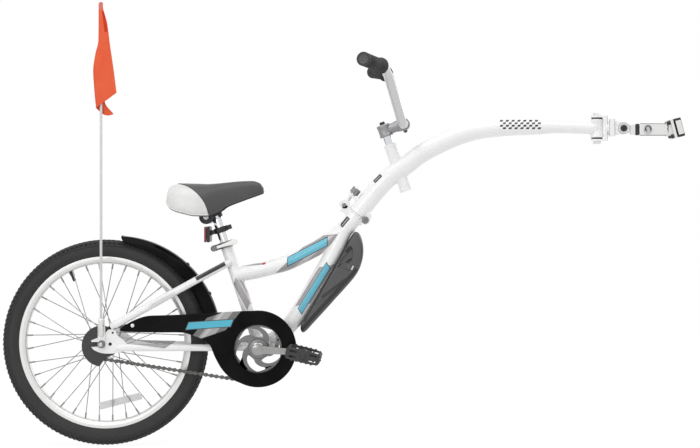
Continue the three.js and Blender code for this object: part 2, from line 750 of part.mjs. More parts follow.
// A toothed outline: root, two corners of the tip, root
const TOOTH_SHARES = [[0, 0], [0.28, 1], [0.5, 1], [0.78, 0]];
function toothed(teeth) {
  const root = pitchRadius(teeth) - CHAIN_TALL_HALF;
  const tall = TOOTH_TIP + CHAIN_TALL_HALF;
  return Array.from({ length: teeth }, (_, k) =>
    TOOTH_SHARES.map(([s, h]) => {
      const a = (2 * Math.PI * (k + s)) / teeth;
      return [(root + tall * h) * Math.cos(a), (root + tall * h) * Math.sin(a)];
    }),
  ).flat();
}

// Crank: one forging with both arms, its pedal spindles screwed in
const CRANK_LENGTH = 114;
const CRANK_TILT = THREE.MathUtils.degToRad(3.6);
const CRANK_AXLE_R = 9.5;
const ARM_INNER = 62;
const ARM_THICK = 12;
const ARM_ROOT_R = 15;
const ARM_TIP_R = 12.5;
const ARM_STEPS = 8;
const SPINDLE_R = 5.5;
const SPINDLE_LENGTH = 98;
const SPINDLE_COLLAR_R = 8;
const SPINDLE_COLLAR = 7;
const BEARING_R = SHELL_R - SHELL_WALL - GAP;
const BEARING_BORE_R = CRANK_AXLE_R + 2 * GAP;
const BEARING_LIP_R = SHELL_R - GAP;
const BEARING_LIP = 3;
const SPIDER_R = 24;
const SPIDER_THICK = 4;
const crankGroup = groupAt(crankCentre);
crankGroup.rotation.y = CRANK_TILT;
const armOuter = ARM_INNER + ARM_THICK;
// The outline round two circles, one at the crank's centre and one at the pedal's eye
function armOutline(side) {
  const open = Math.acos((ARM_ROOT_R - ARM_TIP_R) / CRANK_LENGTH);
  const outline = [
    ...arc(CRANK_LENGTH, 0, ARM_TIP_R, -open, open, ARM_STEPS),
    ...arc(0, 0, ARM_ROOT_R, open, 2 * Math.PI - open, ARM_STEPS),
  ];
  return side < 0 ? outline : outline.map(([x, z]) => [-x, z]);
}
const spindle = (side) =>
  turnedAt(
    [
      [0, 0], [SPINDLE_COLLAR_R, 0], [SPINDLE_COLLAR_R, SPINDLE_COLLAR], [SPINDLE_R, SPINDLE_COLLAR],
      [SPINDLE_R, SPINDLE_LENGTH], [0, SPINDLE_LENGTH],
    ],
    BOLT_SIDES,
    at(-side * CRANK_LENGTH, side * (armOuter - ARM_THICK / 2), 0),
    at(0, side, 0),
  );
piece(
  "crank",
  join(
    rod(at(0, -ARM_INNER - ARM_THICK / 2, 0), at(0, ARM_INNER + ARM_THICK / 2, 0), CRANK_AXLE_R, MAIN_SIDES),
    ...[-1, 1].map((side) =>
      join(
        plate(armOutline(side), side < 0 ? -armOuter : ARM_INNER, side < 0 ? -ARM_INNER : armOuter),
        spindle(side),
      ),
    ),
  ),
  "chrome",
  crankGroup,
);
piece(
  "crank_bearings",
  turnedAt(
    [
      [BEARING_BORE_R, -SHELL_WIDTH / 2 - GAP - BEARING_LIP],
      [BEARING_LIP_R, -SHELL_WIDTH / 2 - GAP - BEARING_LIP],
      [BEARING_LIP_R, -SHELL_WIDTH / 2 - GAP],
      [BEARING_R, -SHELL_WIDTH / 2 - GAP],
      [BEARING_R, SHELL_WIDTH / 2],
      [BEARING_BORE_R, SHELL_WIDTH / 2],
    ],
    MAIN_SIDES,
    at(0, 0, 0),
    ACROSS,
  ),
  "steel",
  groupAt(crankCentre),
);
// The chainring: five curved windows leave swirling arms
const SWIRL_COUNT = 5;
const SWIRL_INNER_SHARE = 0.36;
const SWIRL_OUTER_SHARE = 0.83;
const SWIRL_TURN_SHARE = 0.62;
const SWIRL_WIDE_SHARE = 0.56;
const SWIRL_SPREAD_SHARE = 0.4;
const SWIRL_STEPS = 4;
const swirlWindow = (k) => {
  const start = (2 * Math.PI * k) / SWIRL_COUNT;
  const pitch = (2 * Math.PI) / SWIRL_COUNT;
  const edge = (lead) =>
    Array.from({ length: SWIRL_STEPS + 1 }, (_, i) => {
      const s = i / SWIRL_STEPS;
      const r = ringR * (SWIRL_INNER_SHARE + (SWIRL_OUTER_SHARE - SWIRL_INNER_SHARE) * s);
      const wide = SWIRL_WIDE_SHARE + (1 - SWIRL_WIDE_SHARE) * s * SWIRL_SPREAD_SHARE;
      const a = start + pitch * (SWIRL_TURN_SHARE * s * s + lead * wide);
      return [r * Math.cos(a), r * Math.sin(a)];
    });
  return [...edge(0), ...edge(1).reverse()];
};
piece(
  "chainring",
  cut(
    join(
      plate(toothed(RING_TEETH_COUNT), -CHAIN_LINE - DISC_HALF, -CHAIN_LINE + DISC_HALF),
      rod(at(0, -CHAIN_LINE - DISC_HALF - SPIDER_THICK, 0), at(0, -CHAIN_LINE, 0), SPIDER_R, MAIN_SIDES),
    ),
    ...Array.from(
      { length: SWIRL_COUNT },
      (_, k) => plate(swirlWindow(k), -CHAIN_LINE - OVERRUN, -CHAIN_LINE + OVERRUN),
    ),
    rod(at(0, -CHAIN_LINE - OVERRUN, 0), at(0, 0, 0), CRANK_AXLE_R + GAP, MAIN_SIDES),
  ),
  "steel",
  crankGroup,
);

// Pedals: a plain platform with a window each side of its core
const PEDAL_LONG = 80;
const PEDAL_WIDE = 86;
const PEDAL_THICK = 30;
const PEDAL_FRAME = 7;
const PEDAL_CORE_R = 11;
const PEDAL_CORNER = 10;
const PEDAL_TILT = THREE.MathUtils.degToRad(14);
for (const side of [-1, 1]) {
  const group = groupAt(at(-side * CRANK_LENGTH, side * (armOuter + SPINDLE_COLLAR), 0), crankGroup);
  group.rotation.y = PEDAL_TILT - CRANK_TILT;
  const half = PEDAL_LONG / 2;
  const thick = PEDAL_THICK / 2;
  const near = Math.min(side * GAP, side * PEDAL_WIDE);
  const far = Math.max(side * GAP, side * PEDAL_WIDE);
  const edge = thick - PEDAL_CORNER / 2;
  const flat = half - PEDAL_CORNER;
  const body = plate(
    [
      [-half, -edge], [-flat, -thick], [flat, -thick], [half, -edge],
      [half, edge], [flat, thick], [-flat, thick], [-half, edge],
    ],
    near,
    far,
  );
  const windows = [-1, 1].map((end) =>
    block(
      at(Math.min(end * PEDAL_CORE_R, end * (half - PEDAL_FRAME)), near + PEDAL_FRAME, -OVERRUN),
      at(Math.max(end * PEDAL_CORE_R, end * (half - PEDAL_FRAME)), far - PEDAL_FRAME, OVERRUN),
    ),
  );
  piece(
    `pedal_${sideName[side]}`,
    cut(
      body,
      ...windows,
      rod(at(0, near - OVERRUN, 0), at(0, far + OVERRUN, 0), SPINDLE_R + GAP, BOLT_SIDES),
    ),
    "black",
    group,
  );
}

// Wheel, built about its own axle, which runs across the bike
const AXLE_R = 4.75;
const AXLE_HALF = 80;
const CONE_R = 9;
const CONE_FROM = 38;
const CONE_TO = 47;
const HUB_BORE_R = CONE_R + RUN_CLEARANCE;
const HUB_END_R = 12;
const HUB_END = 47;
const HUB_BARREL_R = 15;
const FLANGE_R = 27;
const FLANGE_AT = 33;
const FLANGE_THICK = 3;
const SPOKE_HEAD_IN = 1.5;
const SPOKE_R = 1.1;
const SPOKES_A_SIDE_COUNT = 18;
const SPOKE_CROSS = THREE.MathUtils.degToRad(60);
const SPOKE_SIDES = 4;
const SPOKE_FOOT = 2.5;
const HOOP_THICK = 1;
const RIM_FLANGE_TALL = 9.5;
const RIM_BOX_DEEP = 9.5;
const RIM_SEAT_R = RIM_R - RIM_FLANGE_TALL;
const RIM_INNER_R = RIM_SEAT_R - RIM_BOX_DEEP;
const RIM_HALF = 13;
const RIM_WALL = 2;
const RIM_BED_HALF = 6;
const TYRE_HALF = 22;
const TYRE_WALL = 3.2;
const TYRE_SIDE_SHARES = { flank: 0.74, shoulder: 0.82, crown: 0.3 };
const TYRE_SHOULDER_DROP = 8;
const TYRE_CROWN_THICK = 5.1;
const BEAD_IN = 5.2;
const BEAD_LIP_IN = 2.8;
const BEAD_RISE = 4;
const LINING_IN = 8;
const TUBE_ABOVE_RIM = 14;
const TUBE_RING_R = RIM_R + TUBE_ABOVE_RIM;
const TUBE_R = 12.5;
const INNER_TUBE_WALL = 1.2;
const TUBE_SIDES = 6;
const TUBE_RING_SIDES = 24;
const VALVE_R = 4;
const VALVE_BORE_R = 1.6;
const VALVE_LENGTH = 24;
const VALVE_ANGLE = THREE.MathUtils.degToRad(117);
const REFLECTOR_ANGLE = THREE.MathUtils.degToRad(-76);
const REFLECTOR_IN = 43;
const REFLECTOR_AT_R = RIM_INNER_R - REFLECTOR_IN;
const REFLECTOR_LONG = 104;
const REFLECTOR_TALL = 17;
const REFLECTOR_THICK = 5;
const REFLECTOR_OUTER = 5.4;

const centre = at(0, 0, 0);
const wheelGroup = groupAt(axle);
piece(
  "rear_sprocket",
  cut(
    plate(toothed(SPROCKET_TEETH_COUNT), -CHAIN_LINE - DISC_HALF, -CHAIN_LINE + DISC_HALF),
    rod(at(0, -CHAIN_LINE - OVERRUN, 0), at(0, 0, 0), HUB_END_R + RUN_CLEARANCE, 2 * MAIN_SIDES),
  ),
  "steel",
  wheelGroup,
);
piece(
  "hub_shell",
  turnedAt(
    [
      [HUB_BORE_R, -HUB_END], [HUB_END_R, -HUB_END], [HUB_END_R, -FLANGE_AT - FLANGE_THICK / 2],
      [FLANGE_R, -FLANGE_AT - FLANGE_THICK / 2], [FLANGE_R, -FLANGE_AT + FLANGE_THICK / 2],
      [HUB_BARREL_R, -FLANGE_AT + FLANGE_THICK / 2], [HUB_BARREL_R, FLANGE_AT - FLANGE_THICK / 2],
      [FLANGE_R, FLANGE_AT - FLANGE_THICK / 2], [FLANGE_R, FLANGE_AT + FLANGE_THICK / 2],
      [HUB_END_R, FLANGE_AT + FLANGE_THICK / 2], [HUB_END_R, HUB_END], [HUB_BORE_R, HUB_END],
    ],
    MAIN_SIDES,
    centre,
    ACROSS,
  ),
  "steel",
  wheelGroup,
);
const tyreBead = RIM_SEAT_R + BEAD_RISE;
const tyreMiddle = (tyreBead + TYRE_R) / 2;
const tyreSide = [
  [tyreBead, RIM_HALF - BEAD_IN],
  [RIM_R + GAP, RIM_HALF - BEAD_LIP_IN],
  [RIM_R + BEAD_RISE, TYRE_HALF * TYRE_SIDE_SHARES.flank],
  [tyreMiddle, TYRE_HALF],
  [TYRE_R - TYRE_SHOULDER_DROP, TYRE_HALF * TYRE_SIDE_SHARES.shoulder],
  [TYRE_R, TYRE_HALF * TYRE_SIDE_SHARES.crown],
];
const tyreLining = [
  [TYRE_R - TYRE_CROWN_THICK, 0], [tyreMiddle, TYRE_HALF - TYRE_WALL],
  [tyreBead, RIM_HALF - LINING_IN],
];
const mirrored = (rows) => [...rows].reverse().filter(([, y]) => y !== 0).map(([r, y]) => [r, -y]);
const tyreLiningRound = [...tyreLining].reverse().map(([r, y]) => [r, -y]).concat(tyreLining.slice(1));
piece(
  "tyre",
  turnedAt([...tyreSide, ...mirrored(tyreSide), ...tyreLiningRound], WHEEL_SIDES, centre, ACROSS),
  "rubber",
  wheelGroup,
);
const valveDirection = at(Math.cos(VALVE_ANGLE), 0, Math.sin(VALVE_ANGLE));
const valveRod = (from, to, radius) =>
  rod(
    valveDirection.clone().multiplyScalar(from),
    valveDirection.clone().multiplyScalar(to),
    radius,
    TUBE_SIDES,
  );
const rimSide = [
  [RIM_INNER_R, RIM_BED_HALF], [RIM_SEAT_R - RIM_WALL, RIM_HALF], [RIM_R, RIM_HALF],
  [RIM_R, RIM_HALF - RIM_WALL],
  [RIM_SEAT_R, RIM_HALF - RIM_WALL * 2],
];
piece(
  "rim",
  cut(
    turnedAt([...rimSide, ...mirrored(rimSide)], WHEEL_SIDES, centre, ACROSS),
    valveRod(RIM_INNER_R - OVERRUN, RIM_R + OVERRUN, VALVE_R + GAP),
  ),
  "steel",
  wheelGroup,
);
const torus = (radius) =>
  closed(new THREE.TorusGeometry(TUBE_RING_R, radius, TUBE_SIDES, TUBE_RING_SIDES).rotateX(Math.PI / 2));
const valveTip = RIM_INNER_R - VALVE_LENGTH;
piece(
  "inner_tube",
  cut(
    join(torus(TUBE_R), valveRod(valveTip, TUBE_RING_R - TUBE_R / 2, VALVE_R)),
    torus(TUBE_R - INNER_TUBE_WALL),
    valveRod(valveTip - OVERRUN, TUBE_RING_R, VALVE_BORE_R),
  ),
  "rubber",
  wheelGroup,
);
// Spokes: heads on the flanges, leading ones outside and trailing ones inside, feet on a thin hoop along
// the rim
const spokeCircleR = FLANGE_R - SPOKE_HEAD_IN;
const rimFlat = RIM_INNER_R * Math.cos(Math.PI / WHEEL_SIDES) - GAP;
const spokes = [-1, 1].flatMap((side) =>
  Array.from({ length: SPOKES_A_SIDE_COUNT }, (_, k) => {
    const step = (2 * Math.PI) / SPOKES_A_SIDE_COUNT;
    const trailing = k % 2 ? -1 : 1;
    const hubSide = side * (FLANGE_AT + trailing * (FLANGE_THICK / 2 + 2 * GAP + SPOKE_R));
    const hubAngle = k * step + (side * step) / 4;
    const rimAngle = hubAngle + trailing * SPOKE_CROSS;
    return rod(
      at(spokeCircleR * Math.cos(hubAngle), hubSide, spokeCircleR * Math.sin(hubAngle)),
      at((rimFlat - GAP) * Math.cos(rimAngle), side * SPOKE_FOOT, (rimFlat - GAP) * Math.sin(rimAngle)),
      SPOKE_R,
      SPOKE_SIDES,
      ACROSS,
    );
  }),
);
const hoop = turnedAt(
  [
    [rimFlat - HOOP_THICK, -SPOKE_FOOT], [rimFlat - HOOP_THICK, SPOKE_FOOT], [rimFlat, SPOKE_FOOT],
    [rimFlat, -SPOKE_FOOT],
  ],
  WHEEL_SIDES,
  centre,
  ACROSS,
);
piece(
  "spokes",
  cut(join(hoop, ...spokes), valveRod(RIM_INNER_R - OVERRUN, RIM_R, VALVE_R + GAP)),
  "steel",
  wheelGroup,
);
piece(
  "spoke_reflector",
  closed(
    block(
      at(REFLECTOR_AT_R - REFLECTOR_TALL / 2, -REFLECTOR_OUTER, -REFLECTOR_LONG / 2),
      at(REFLECTOR_AT_R + REFLECTOR_TALL / 2, -REFLECTOR_OUTER + REFLECTOR_THICK, REFLECTOR_LONG / 2),
    ).rotateY(-REFLECTOR_ANGLE),
  ),
  "clear",
  wheelGroup,
);

// Axle with its cones and nuts
const NUT_R = 9.5;
const NUT_THICK = 9;
const HEX_SIDES = 6;
const FLAG_PLATE = 3;
const dropoutFace = DROPOUT_HALF + DROPOUT_THICK / 2;
const axleNut = (side, face) => rod(
  at(0, side * face, 0),
  at(0, side * (face + NUT_THICK), 0),
  NUT_R,
  HEX_SIDES,
);
piece(
  "wheel_axle",
  join(
    turnedAt(
      [
        [0, -AXLE_HALF], [AXLE_R, -AXLE_HALF], [AXLE_R, -CONE_TO], [CONE_R, -CONE_TO], [CONE_R, -CONE_FROM],
        [AXLE_R, -CONE_FROM], [AXLE_R, CONE_FROM], [CONE_R, CONE_FROM], [CONE_R, CONE_TO], [AXLE_R, CONE_TO],
        [AXLE_R, AXLE_HALF - FLAG_PLATE], [0, AXLE_HALF - FLAG_PLATE],
      ],
      BOLT_SIDES,
      centre,
      ACROSS,
    ),
    axleNut(1, dropoutFace + GAP),
  ),
  "steel",
  wheelGroup,
);
piece(
  "axle_nut",
  cut(
    axleNut(-1, dropoutFace + 2 * GAP + FLAG_PLATE),
    rod(at(0, -dropoutFace - OVERRUN, 0), centre, AXLE_R + GAP, BOLT_SIDES),
  ),
  "steel",
  wheelGroup,
);

// Flag: a bracket under the axle nut, a glass fibre pole in its socket, and the drooping flag
const POLE_R = 3.2;
const POLE_LENGTH = 790;
const POLE_SIDES = 8;
const SOCKET_R = 6;
const SOCKET_LOW = 22;
const SOCKET_HIGH = 62;
const FLAG_PLATE_HALF = 9;
const SLEEVE_LONG = 150;
const SLEEVE_WALL = 0.8;
const CLOTH_THICK = 1.2;
const CLOTH_COLUMN_COUNT = 12;
const CLOTH_FOLD_COUNT = 1.6;
const CLOTH_NOTCH = 18;
// Rows of the flag: drop from the pole's top, near edge, far edge, set forward of the pole, depth of its folds
const CLOTH_ROWS = [
  [0.3, 3.9, 5, 0, 0], [20.3, 3.9, 8, 0, 0.5], [44.3, 3.9, 12.5, 0, 2],
  [68.3, 3.9, 17.5, -1, 4], [90.3, 3.9, 22, -2, 6], [108.3, -9, 24.5, -8, 7],
  [132.3, -14, 28, -9, 8], [158.3, -18.3, 31.5, -9, 8], [184.3, -17, 35.5, -9, 8],
  [210.3, -16, 38.8, -9, 7], [234.3, -13.5, 38.8, -9, 6], [263.3, -9, 29, -9, 5],
];
const poleAcross = -(dropoutFace + GAP + FLAG_PLATE + SOCKET_R);
const poleFoot = at(0, poleAcross, SOCKET_LOW + GAP);
piece(
  "flag_bracket",
  cut(
    join(
      plate(
        [
          ...arc(0, 0, FLAG_PLATE_HALF, Math.PI, 2 * Math.PI, 6), [FLAG_PLATE_HALF, SOCKET_HIGH],
          [-FLAG_PLATE_HALF, SOCKET_HIGH],
        ],
        -dropoutFace - GAP - FLAG_PLATE,
        -dropoutFace - GAP,
      ),
      rod(
        at(0, poleAcross + GAP, SOCKET_LOW - FLAG_PLATE),
        at(0, poleAcross + GAP, SOCKET_HIGH),
        SOCKET_R,
        BOLT_SIDES,
      ),
    ),
    rod(at(0, -LONG_OVERRUN, 0), at(0, 0, 0), AXLE_R + GAP, BOLT_SIDES),
    rod(at(0, poleAcross, SOCKET_LOW), at(0, poleAcross, SOCKET_HIGH + OVERRUN), POLE_R + GAP, POLE_SIDES),
  ),
  "steel",
  wheelGroup,
);
piece(
  "flag_pole",
  rod(poleFoot, along(poleFoot, UP, POLE_LENGTH), POLE_R, POLE_SIDES),
  "pole",
  wheelGroup,
);
// A thin sheet through a grid of points, thickened across the bike
function sheet(grid, thick) {
  const positions = [];
  const quad = (a, b, c, d) => [a, b, c, a, c, d].forEach((v) => positions.push(v.x, v.y, v.z));
  const [front, back] = [-1, 1].map(
    (side) => grid.map((row) => row.map((p) => along(p, ACROSS, (side * thick) / 2))),
  );
  const rim = [
    ...grid[0].map((_, i) => [0, i]),
    ...grid.slice(1).map((row, r) => [r + 1, row.length - 1]),
    ...grid[0].map((row, i) => [grid.length - 1, grid[0].length - 1 - i]).slice(1),
    ...grid.slice(1, -1).map((_, r) => [grid.length - 2 - r, 0]),
  ];
  for (let r = 1; r < grid.length; r++) {
    for (let i = 1; i < grid[0].length; i++) {
      quad(front[r - 1][i - 1], front[r][i - 1], front[r][i], front[r - 1][i]);
      quad(back[r - 1][i - 1], back[r - 1][i], back[r][i], back[r][i - 1]);
    }
  }
  rim.forEach(([r, i], k) => {
    const [s, j] = rim[(k + 1) % rim.length];
    quad(front[r][i], front[s][j], back[s][j], back[r][i]);
  });
  const g = new THREE.BufferGeometry();
  g.setAttribute("position", new THREE.BufferAttribute(new Float32Array(positions), 3));
  return closed(g);
}
const poleTop = along(poleFoot, UP, POLE_LENGTH);
const cloth = CLOTH_ROWS.map(([drop, near, far, forward, fold], r) =>
  Array.from({ length: CLOTH_COLUMN_COUNT + 1 }, (_, i) => {
    const t = i / CLOTH_COLUMN_COUNT;
    const notch = r === CLOTH_ROWS.length - 1 ? CLOTH_NOTCH * (1 - Math.abs(2 * t - 1)) : 0;
    const wave = fold * Math.sin(2 * Math.PI * CLOTH_FOLD_COUNT * t);
    return at(near + (far - near) * t, poleAcross + forward + wave, poleTop.z - drop + notch);
  }),
);
piece(
  "flag",
  cut(
    join(
      sheet(cloth, CLOTH_THICK),
      rod(
        along(poleTop, UP, -SLEEVE_LONG),
        along(poleTop, UP, GAP + SLEEVE_WALL),
        POLE_R + GAP + SLEEVE_WALL,
        POLE_SIDES,
      ),
    ),
    rod(poleFoot, along(poleTop, UP, GAP), POLE_R + GAP, POLE_SIDES),
  ),
  "orange",
  wheelGroup,
);

// Seat collar, quick release, seatpost, rear reflector and saddle, in a frame along the seat tube
const COLLAR_R = 19.5;
const COLLAR_TALL = 15;
const COLLAR_EAR_REACH = 33;
const COLLAR_EAR_HALF = 9;
const SKEWER_REACH = 28;
const SKEWER_R = 3;
const SKEWER_HEAD_R = 7;
const SKEWER_HALF = 15;
const LEVER_TAIL = 1.5;
const LEVER_HEAD_R = 6;
const LEVER_LONG = 52;
const LEVER_R = 7;
const LEVER_THICK = 5;
const POST_LONG = 200;
const POST_PROUD = 65;
const POST_WALL = 2.2;
const BARREL_R = 9;
const BARREL_HALF = 13;
const BARREL_RISE = 4.8;
const BARREL_BACK = 21.8;
const POST_HEAD_HALF = 11;
const POST_HEAD_LOW = 7;
const POST_HEAD_HIGH = 9;
const POST_HEAD_AHEAD = 14.7;
const REFLECTOR_UP = 30;
const REFLECTOR_CLAMP_R = 17;
const REFLECTOR_CLAMP_TALL = 14;
const REFLECTOR_REACH = 35;
const REFLECTOR_ARM_HALF = 8;
const LENS_HIGH = 38;
const LENS_WIDE_HALF = 23;
const LENS_THICK = 5;
const LENS_BASE_THICK = 9;

const leverAcross = COLLAR_R + GAP + LEVER_THICK / 2;
const skewerTip = leverAcross - Math.hypot(LEVER_TAIL, LEVER_THICK / 2) - GAP;

// A group whose +Z runs up the seat tube and whose +X points forward
const postGroup = groupAt(seatTop);
postGroup.rotation.y = -SEAT_LEAN;
piece(
  "seat_collar",
  cut(
    join(
      pipe(at(0, 0, -COLLAR_TALL), at(0, 0, 0), COLLAR_R, SEAT_TUBE_R - GAP, MAIN_SIDES),
      block(at(-COLLAR_EAR_REACH, -COLLAR_EAR_HALF, -COLLAR_TALL), at(-SEAT_TUBE_R, COLLAR_EAR_HALF, 0)),
      rod(
        at(-SKEWER_REACH, -skewerTip, -COLLAR_TALL / 2),
        at(-SKEWER_REACH, SKEWER_HALF, -COLLAR_TALL / 2),
        SKEWER_R,
        BOLT_SIDES,
      ),
      rod(
        at(-SKEWER_REACH, COLLAR_EAR_HALF, -COLLAR_TALL / 2),
        at(-SKEWER_REACH, SKEWER_HALF, -COLLAR_TALL / 2),
        SKEWER_HEAD_R,
        BOLT_SIDES,
      ),
    ),
    rod(at(0, 0, -OVERRUN), at(0, 0, OVERRUN), SEAT_TUBE_R + GAP, MAIN_SIDES),
  ),
  "chrome",
  postGroup,
);
const leverGroup = groupAt(at(-SKEWER_REACH, -leverAcross, -COLLAR_TALL / 2), postGroup);
piece(
  "seat_lever",
  plate(
    [
      [-LEVER_TAIL, -LEVER_HEAD_R], [LEVER_HEAD_R, -LEVER_HEAD_R],
      ...arc(LEVER_LONG, 0, LEVER_R, -Math.PI / 2, Math.PI / 2, 5),
      [LEVER_HEAD_R, LEVER_HEAD_R], [-LEVER_TAIL, LEVER_HEAD_R],
    ],
    -LEVER_THICK / 2,
    LEVER_THICK / 2,
  ),
  "steel",
  leverGroup,
);
piece(
  "seatpost",
  join(
    pipe(
      at(0, 0, POST_PROUD - POST_LONG),
      at(0, 0, POST_PROUD),
      SEAT_POST_R,
      SEAT_POST_R - POST_WALL,
      MAIN_SIDES,
    ),
    block(
      at(-BARREL_BACK, -POST_HEAD_HALF, POST_PROUD - POST_HEAD_LOW),
      at(POST_HEAD_AHEAD, POST_HEAD_HALF, POST_PROUD + POST_HEAD_HIGH),
    ),
    rod(
      at(-BARREL_BACK, -BARREL_HALF, POST_PROUD + BARREL_RISE),
      at(-BARREL_BACK, BARREL_HALF, POST_PROUD + BARREL_RISE),
      BARREL_R,
      MAIN_SIDES,
    ),
  ),
  "chrome",
  postGroup,
);
const lensGroup = groupAt(at(-REFLECTOR_REACH, 0, REFLECTOR_UP), postGroup);
lensGroup.rotation.y = SEAT_LEAN;
piece(
  "reflector_bracket",
  cut(
    join(
      rod(
        at(0, 0, REFLECTOR_UP - REFLECTOR_CLAMP_TALL / 2),
        at(0, 0, REFLECTOR_UP + REFLECTOR_CLAMP_TALL / 2),
        REFLECTOR_CLAMP_R,
        MAIN_SIDES,
      ),
      block(
        at(
          -REFLECTOR_REACH + LENS_BASE_THICK / 2,
          -REFLECTOR_ARM_HALF,
          REFLECTOR_UP - REFLECTOR_CLAMP_TALL / 2,
        ),
        at(
          REFLECTOR_CLAMP_R + REFLECTOR_ARM_HALF,
          REFLECTOR_ARM_HALF,
          REFLECTOR_UP + REFLECTOR_CLAMP_TALL / 2,
        ),
      ),
      closed(
        block(at(0, -LENS_WIDE_HALF, -LENS_HIGH / 2), at(LENS_BASE_THICK, LENS_WIDE_HALF, LENS_HIGH / 2))
          .rotateY(SEAT_LEAN)
          .translate(-REFLECTOR_REACH, 0, REFLECTOR_UP),
      ),
    ),
    rod(at(0, 0, -OVERRUN), at(0, 0, LONG_OVERRUN), SEAT_POST_R + GAP, MAIN_SIDES),
  ),
  "dark",
  postGroup,
);
piece(
  "reflector_lens",
  block(at(-GAP - LENS_THICK, -LENS_WIDE_HALF, -LENS_HIGH / 2), at(-GAP, LENS_WIDE_HALF, LENS_HIGH / 2)),
  "red",
  lensGroup,
);

// Saddle: rows from rear to nose as shares of its length, half width and height (top, then side edge)
const SADDLE_LONG = 235;
const SADDLE_HALF = 77;
const SADDLE_HIGH = 86;
const SADDLE_BACK = 99;
const SADDLE_RISE = 1;
const SADDLE_RUN_SHARES = [
  [0, 0.5, 0.68, 0.5], [0.05, 0.8, 0.87, 0.3], [0.15, 0.96, 0.93, 0.18], [0.3, 1, 0.94, 0.06],
  [0.42, 0.88, 0.93, 0.05],
  [0.52, 0.64, 0.94, 0.17], [0.62, 0.44, 0.96, 0.3], [0.75, 0.31, 0.99, 0.42],
  [0.88, 0.26, 1, 0.52], [0.96, 0.19, 0.93, 0.63],
  [1, 0.09, 0.8, 0.7],
];
const SADDLE_ACROSS_COUNT = 10;
const SADDLE_SQUARE_SHARE = 0.7;
const CUSHION_INNER_SHARES = [0.88, 0.66];
const BASE_OUTER_SHARES = [0.855, 0.635];
const BASE_INNER_SHARES = [0.81, 0.59];
const RAIL_R = 3.5;
const RAIL_HALF = 21;
const RAIL_STEPS = 18;
const RAIL_SIDES = 6;
const RAIL_REAR_SHARE = 0.2;
const RAIL_NOSE_SHARE = 0.75;
const RAIL_LEVEL = 9;
const RAIL_REAR_BEND = 30;
const RAIL_FRONT_BEND = 20;
const RAIL_NARROW_SHARE = 0.7;
const CLAMP_DRUM_R = 17;
const CLAMP_DRUM_HALF = 27;

const seatFront = at(Math.cos(SEAT_LEAN), 0, Math.sin(SEAT_LEAN));
const saddleGroup = groupAt(along(along(seatTop, seatUp, POST_PROUD + BARREL_RISE), seatFront, -BARREL_BACK));
// One arch of the saddle: half ellipse-like points from one side edge over the top to the other
function saddleArch([s, wide, top, edge], [wideShare, highShare]) {
  return Array.from({ length: SADDLE_ACROSS_COUNT + 1 }, (_, i) => {
    const a = (Math.PI * i) / SADDLE_ACROSS_COUNT;
    const across = Math.sign(Math.cos(a)) * Math.abs(Math.cos(a)) ** SADDLE_SQUARE_SHARE;
    const up = Math.abs(Math.sin(a)) ** SADDLE_SQUARE_SHARE;
    return at(
      SADDLE_LONG * s - SADDLE_BACK,
      SADDLE_HALF * wide * wideShare * across,
      SADDLE_HIGH * (edge + (top - edge) * highShare * (i % SADDLE_ACROSS_COUNT ? up : 0)) + SADDLE_RISE,
    );
  });
}
// A shell between two arches, run through all the rows
function saddleShell(outerShares, innerShares) {
  const positions = [];
  const quad = (a, b, c, d) => [a, b, c, a, c, d].forEach((v) => positions.push(v.x, v.y, v.z));
  const outer = SADDLE_RUN_SHARES.map((row) => saddleArch(row, outerShares));
  const inner = SADDLE_RUN_SHARES.map((row) => saddleArch(row, innerShares));
  const last = SADDLE_RUN_SHARES.length - 1;
  for (let r = 0; r < last; r++) {
    for (let i = 0; i < SADDLE_ACROSS_COUNT; i++) {
      quad(outer[r][i], outer[r][i + 1], outer[r + 1][i + 1], outer[r + 1][i]);
      quad(inner[r][i], inner[r + 1][i], inner[r + 1][i + 1], inner[r][i + 1]);
    }
    quad(outer[r][0], outer[r + 1][0], inner[r + 1][0], inner[r][0]);
    quad(
      outer[r][SADDLE_ACROSS_COUNT],
      inner[r][SADDLE_ACROSS_COUNT],
      inner[r + 1][SADDLE_ACROSS_COUNT],
      outer[r + 1][SADDLE_ACROSS_COUNT],
    );
  }
  for (let i = 0; i < SADDLE_ACROSS_COUNT; i++) {
    quad(outer[0][i], inner[0][i], inner[0][i + 1], outer[0][i + 1]);
    quad(outer[last][i], outer[last][i + 1], inner[last][i + 1], inner[last][i]);
  }
  const g = new THREE.BufferGeometry();
  g.setAttribute("position", new THREE.BufferAttribute(new Float32Array(positions), 3));
  return closed(g);
}
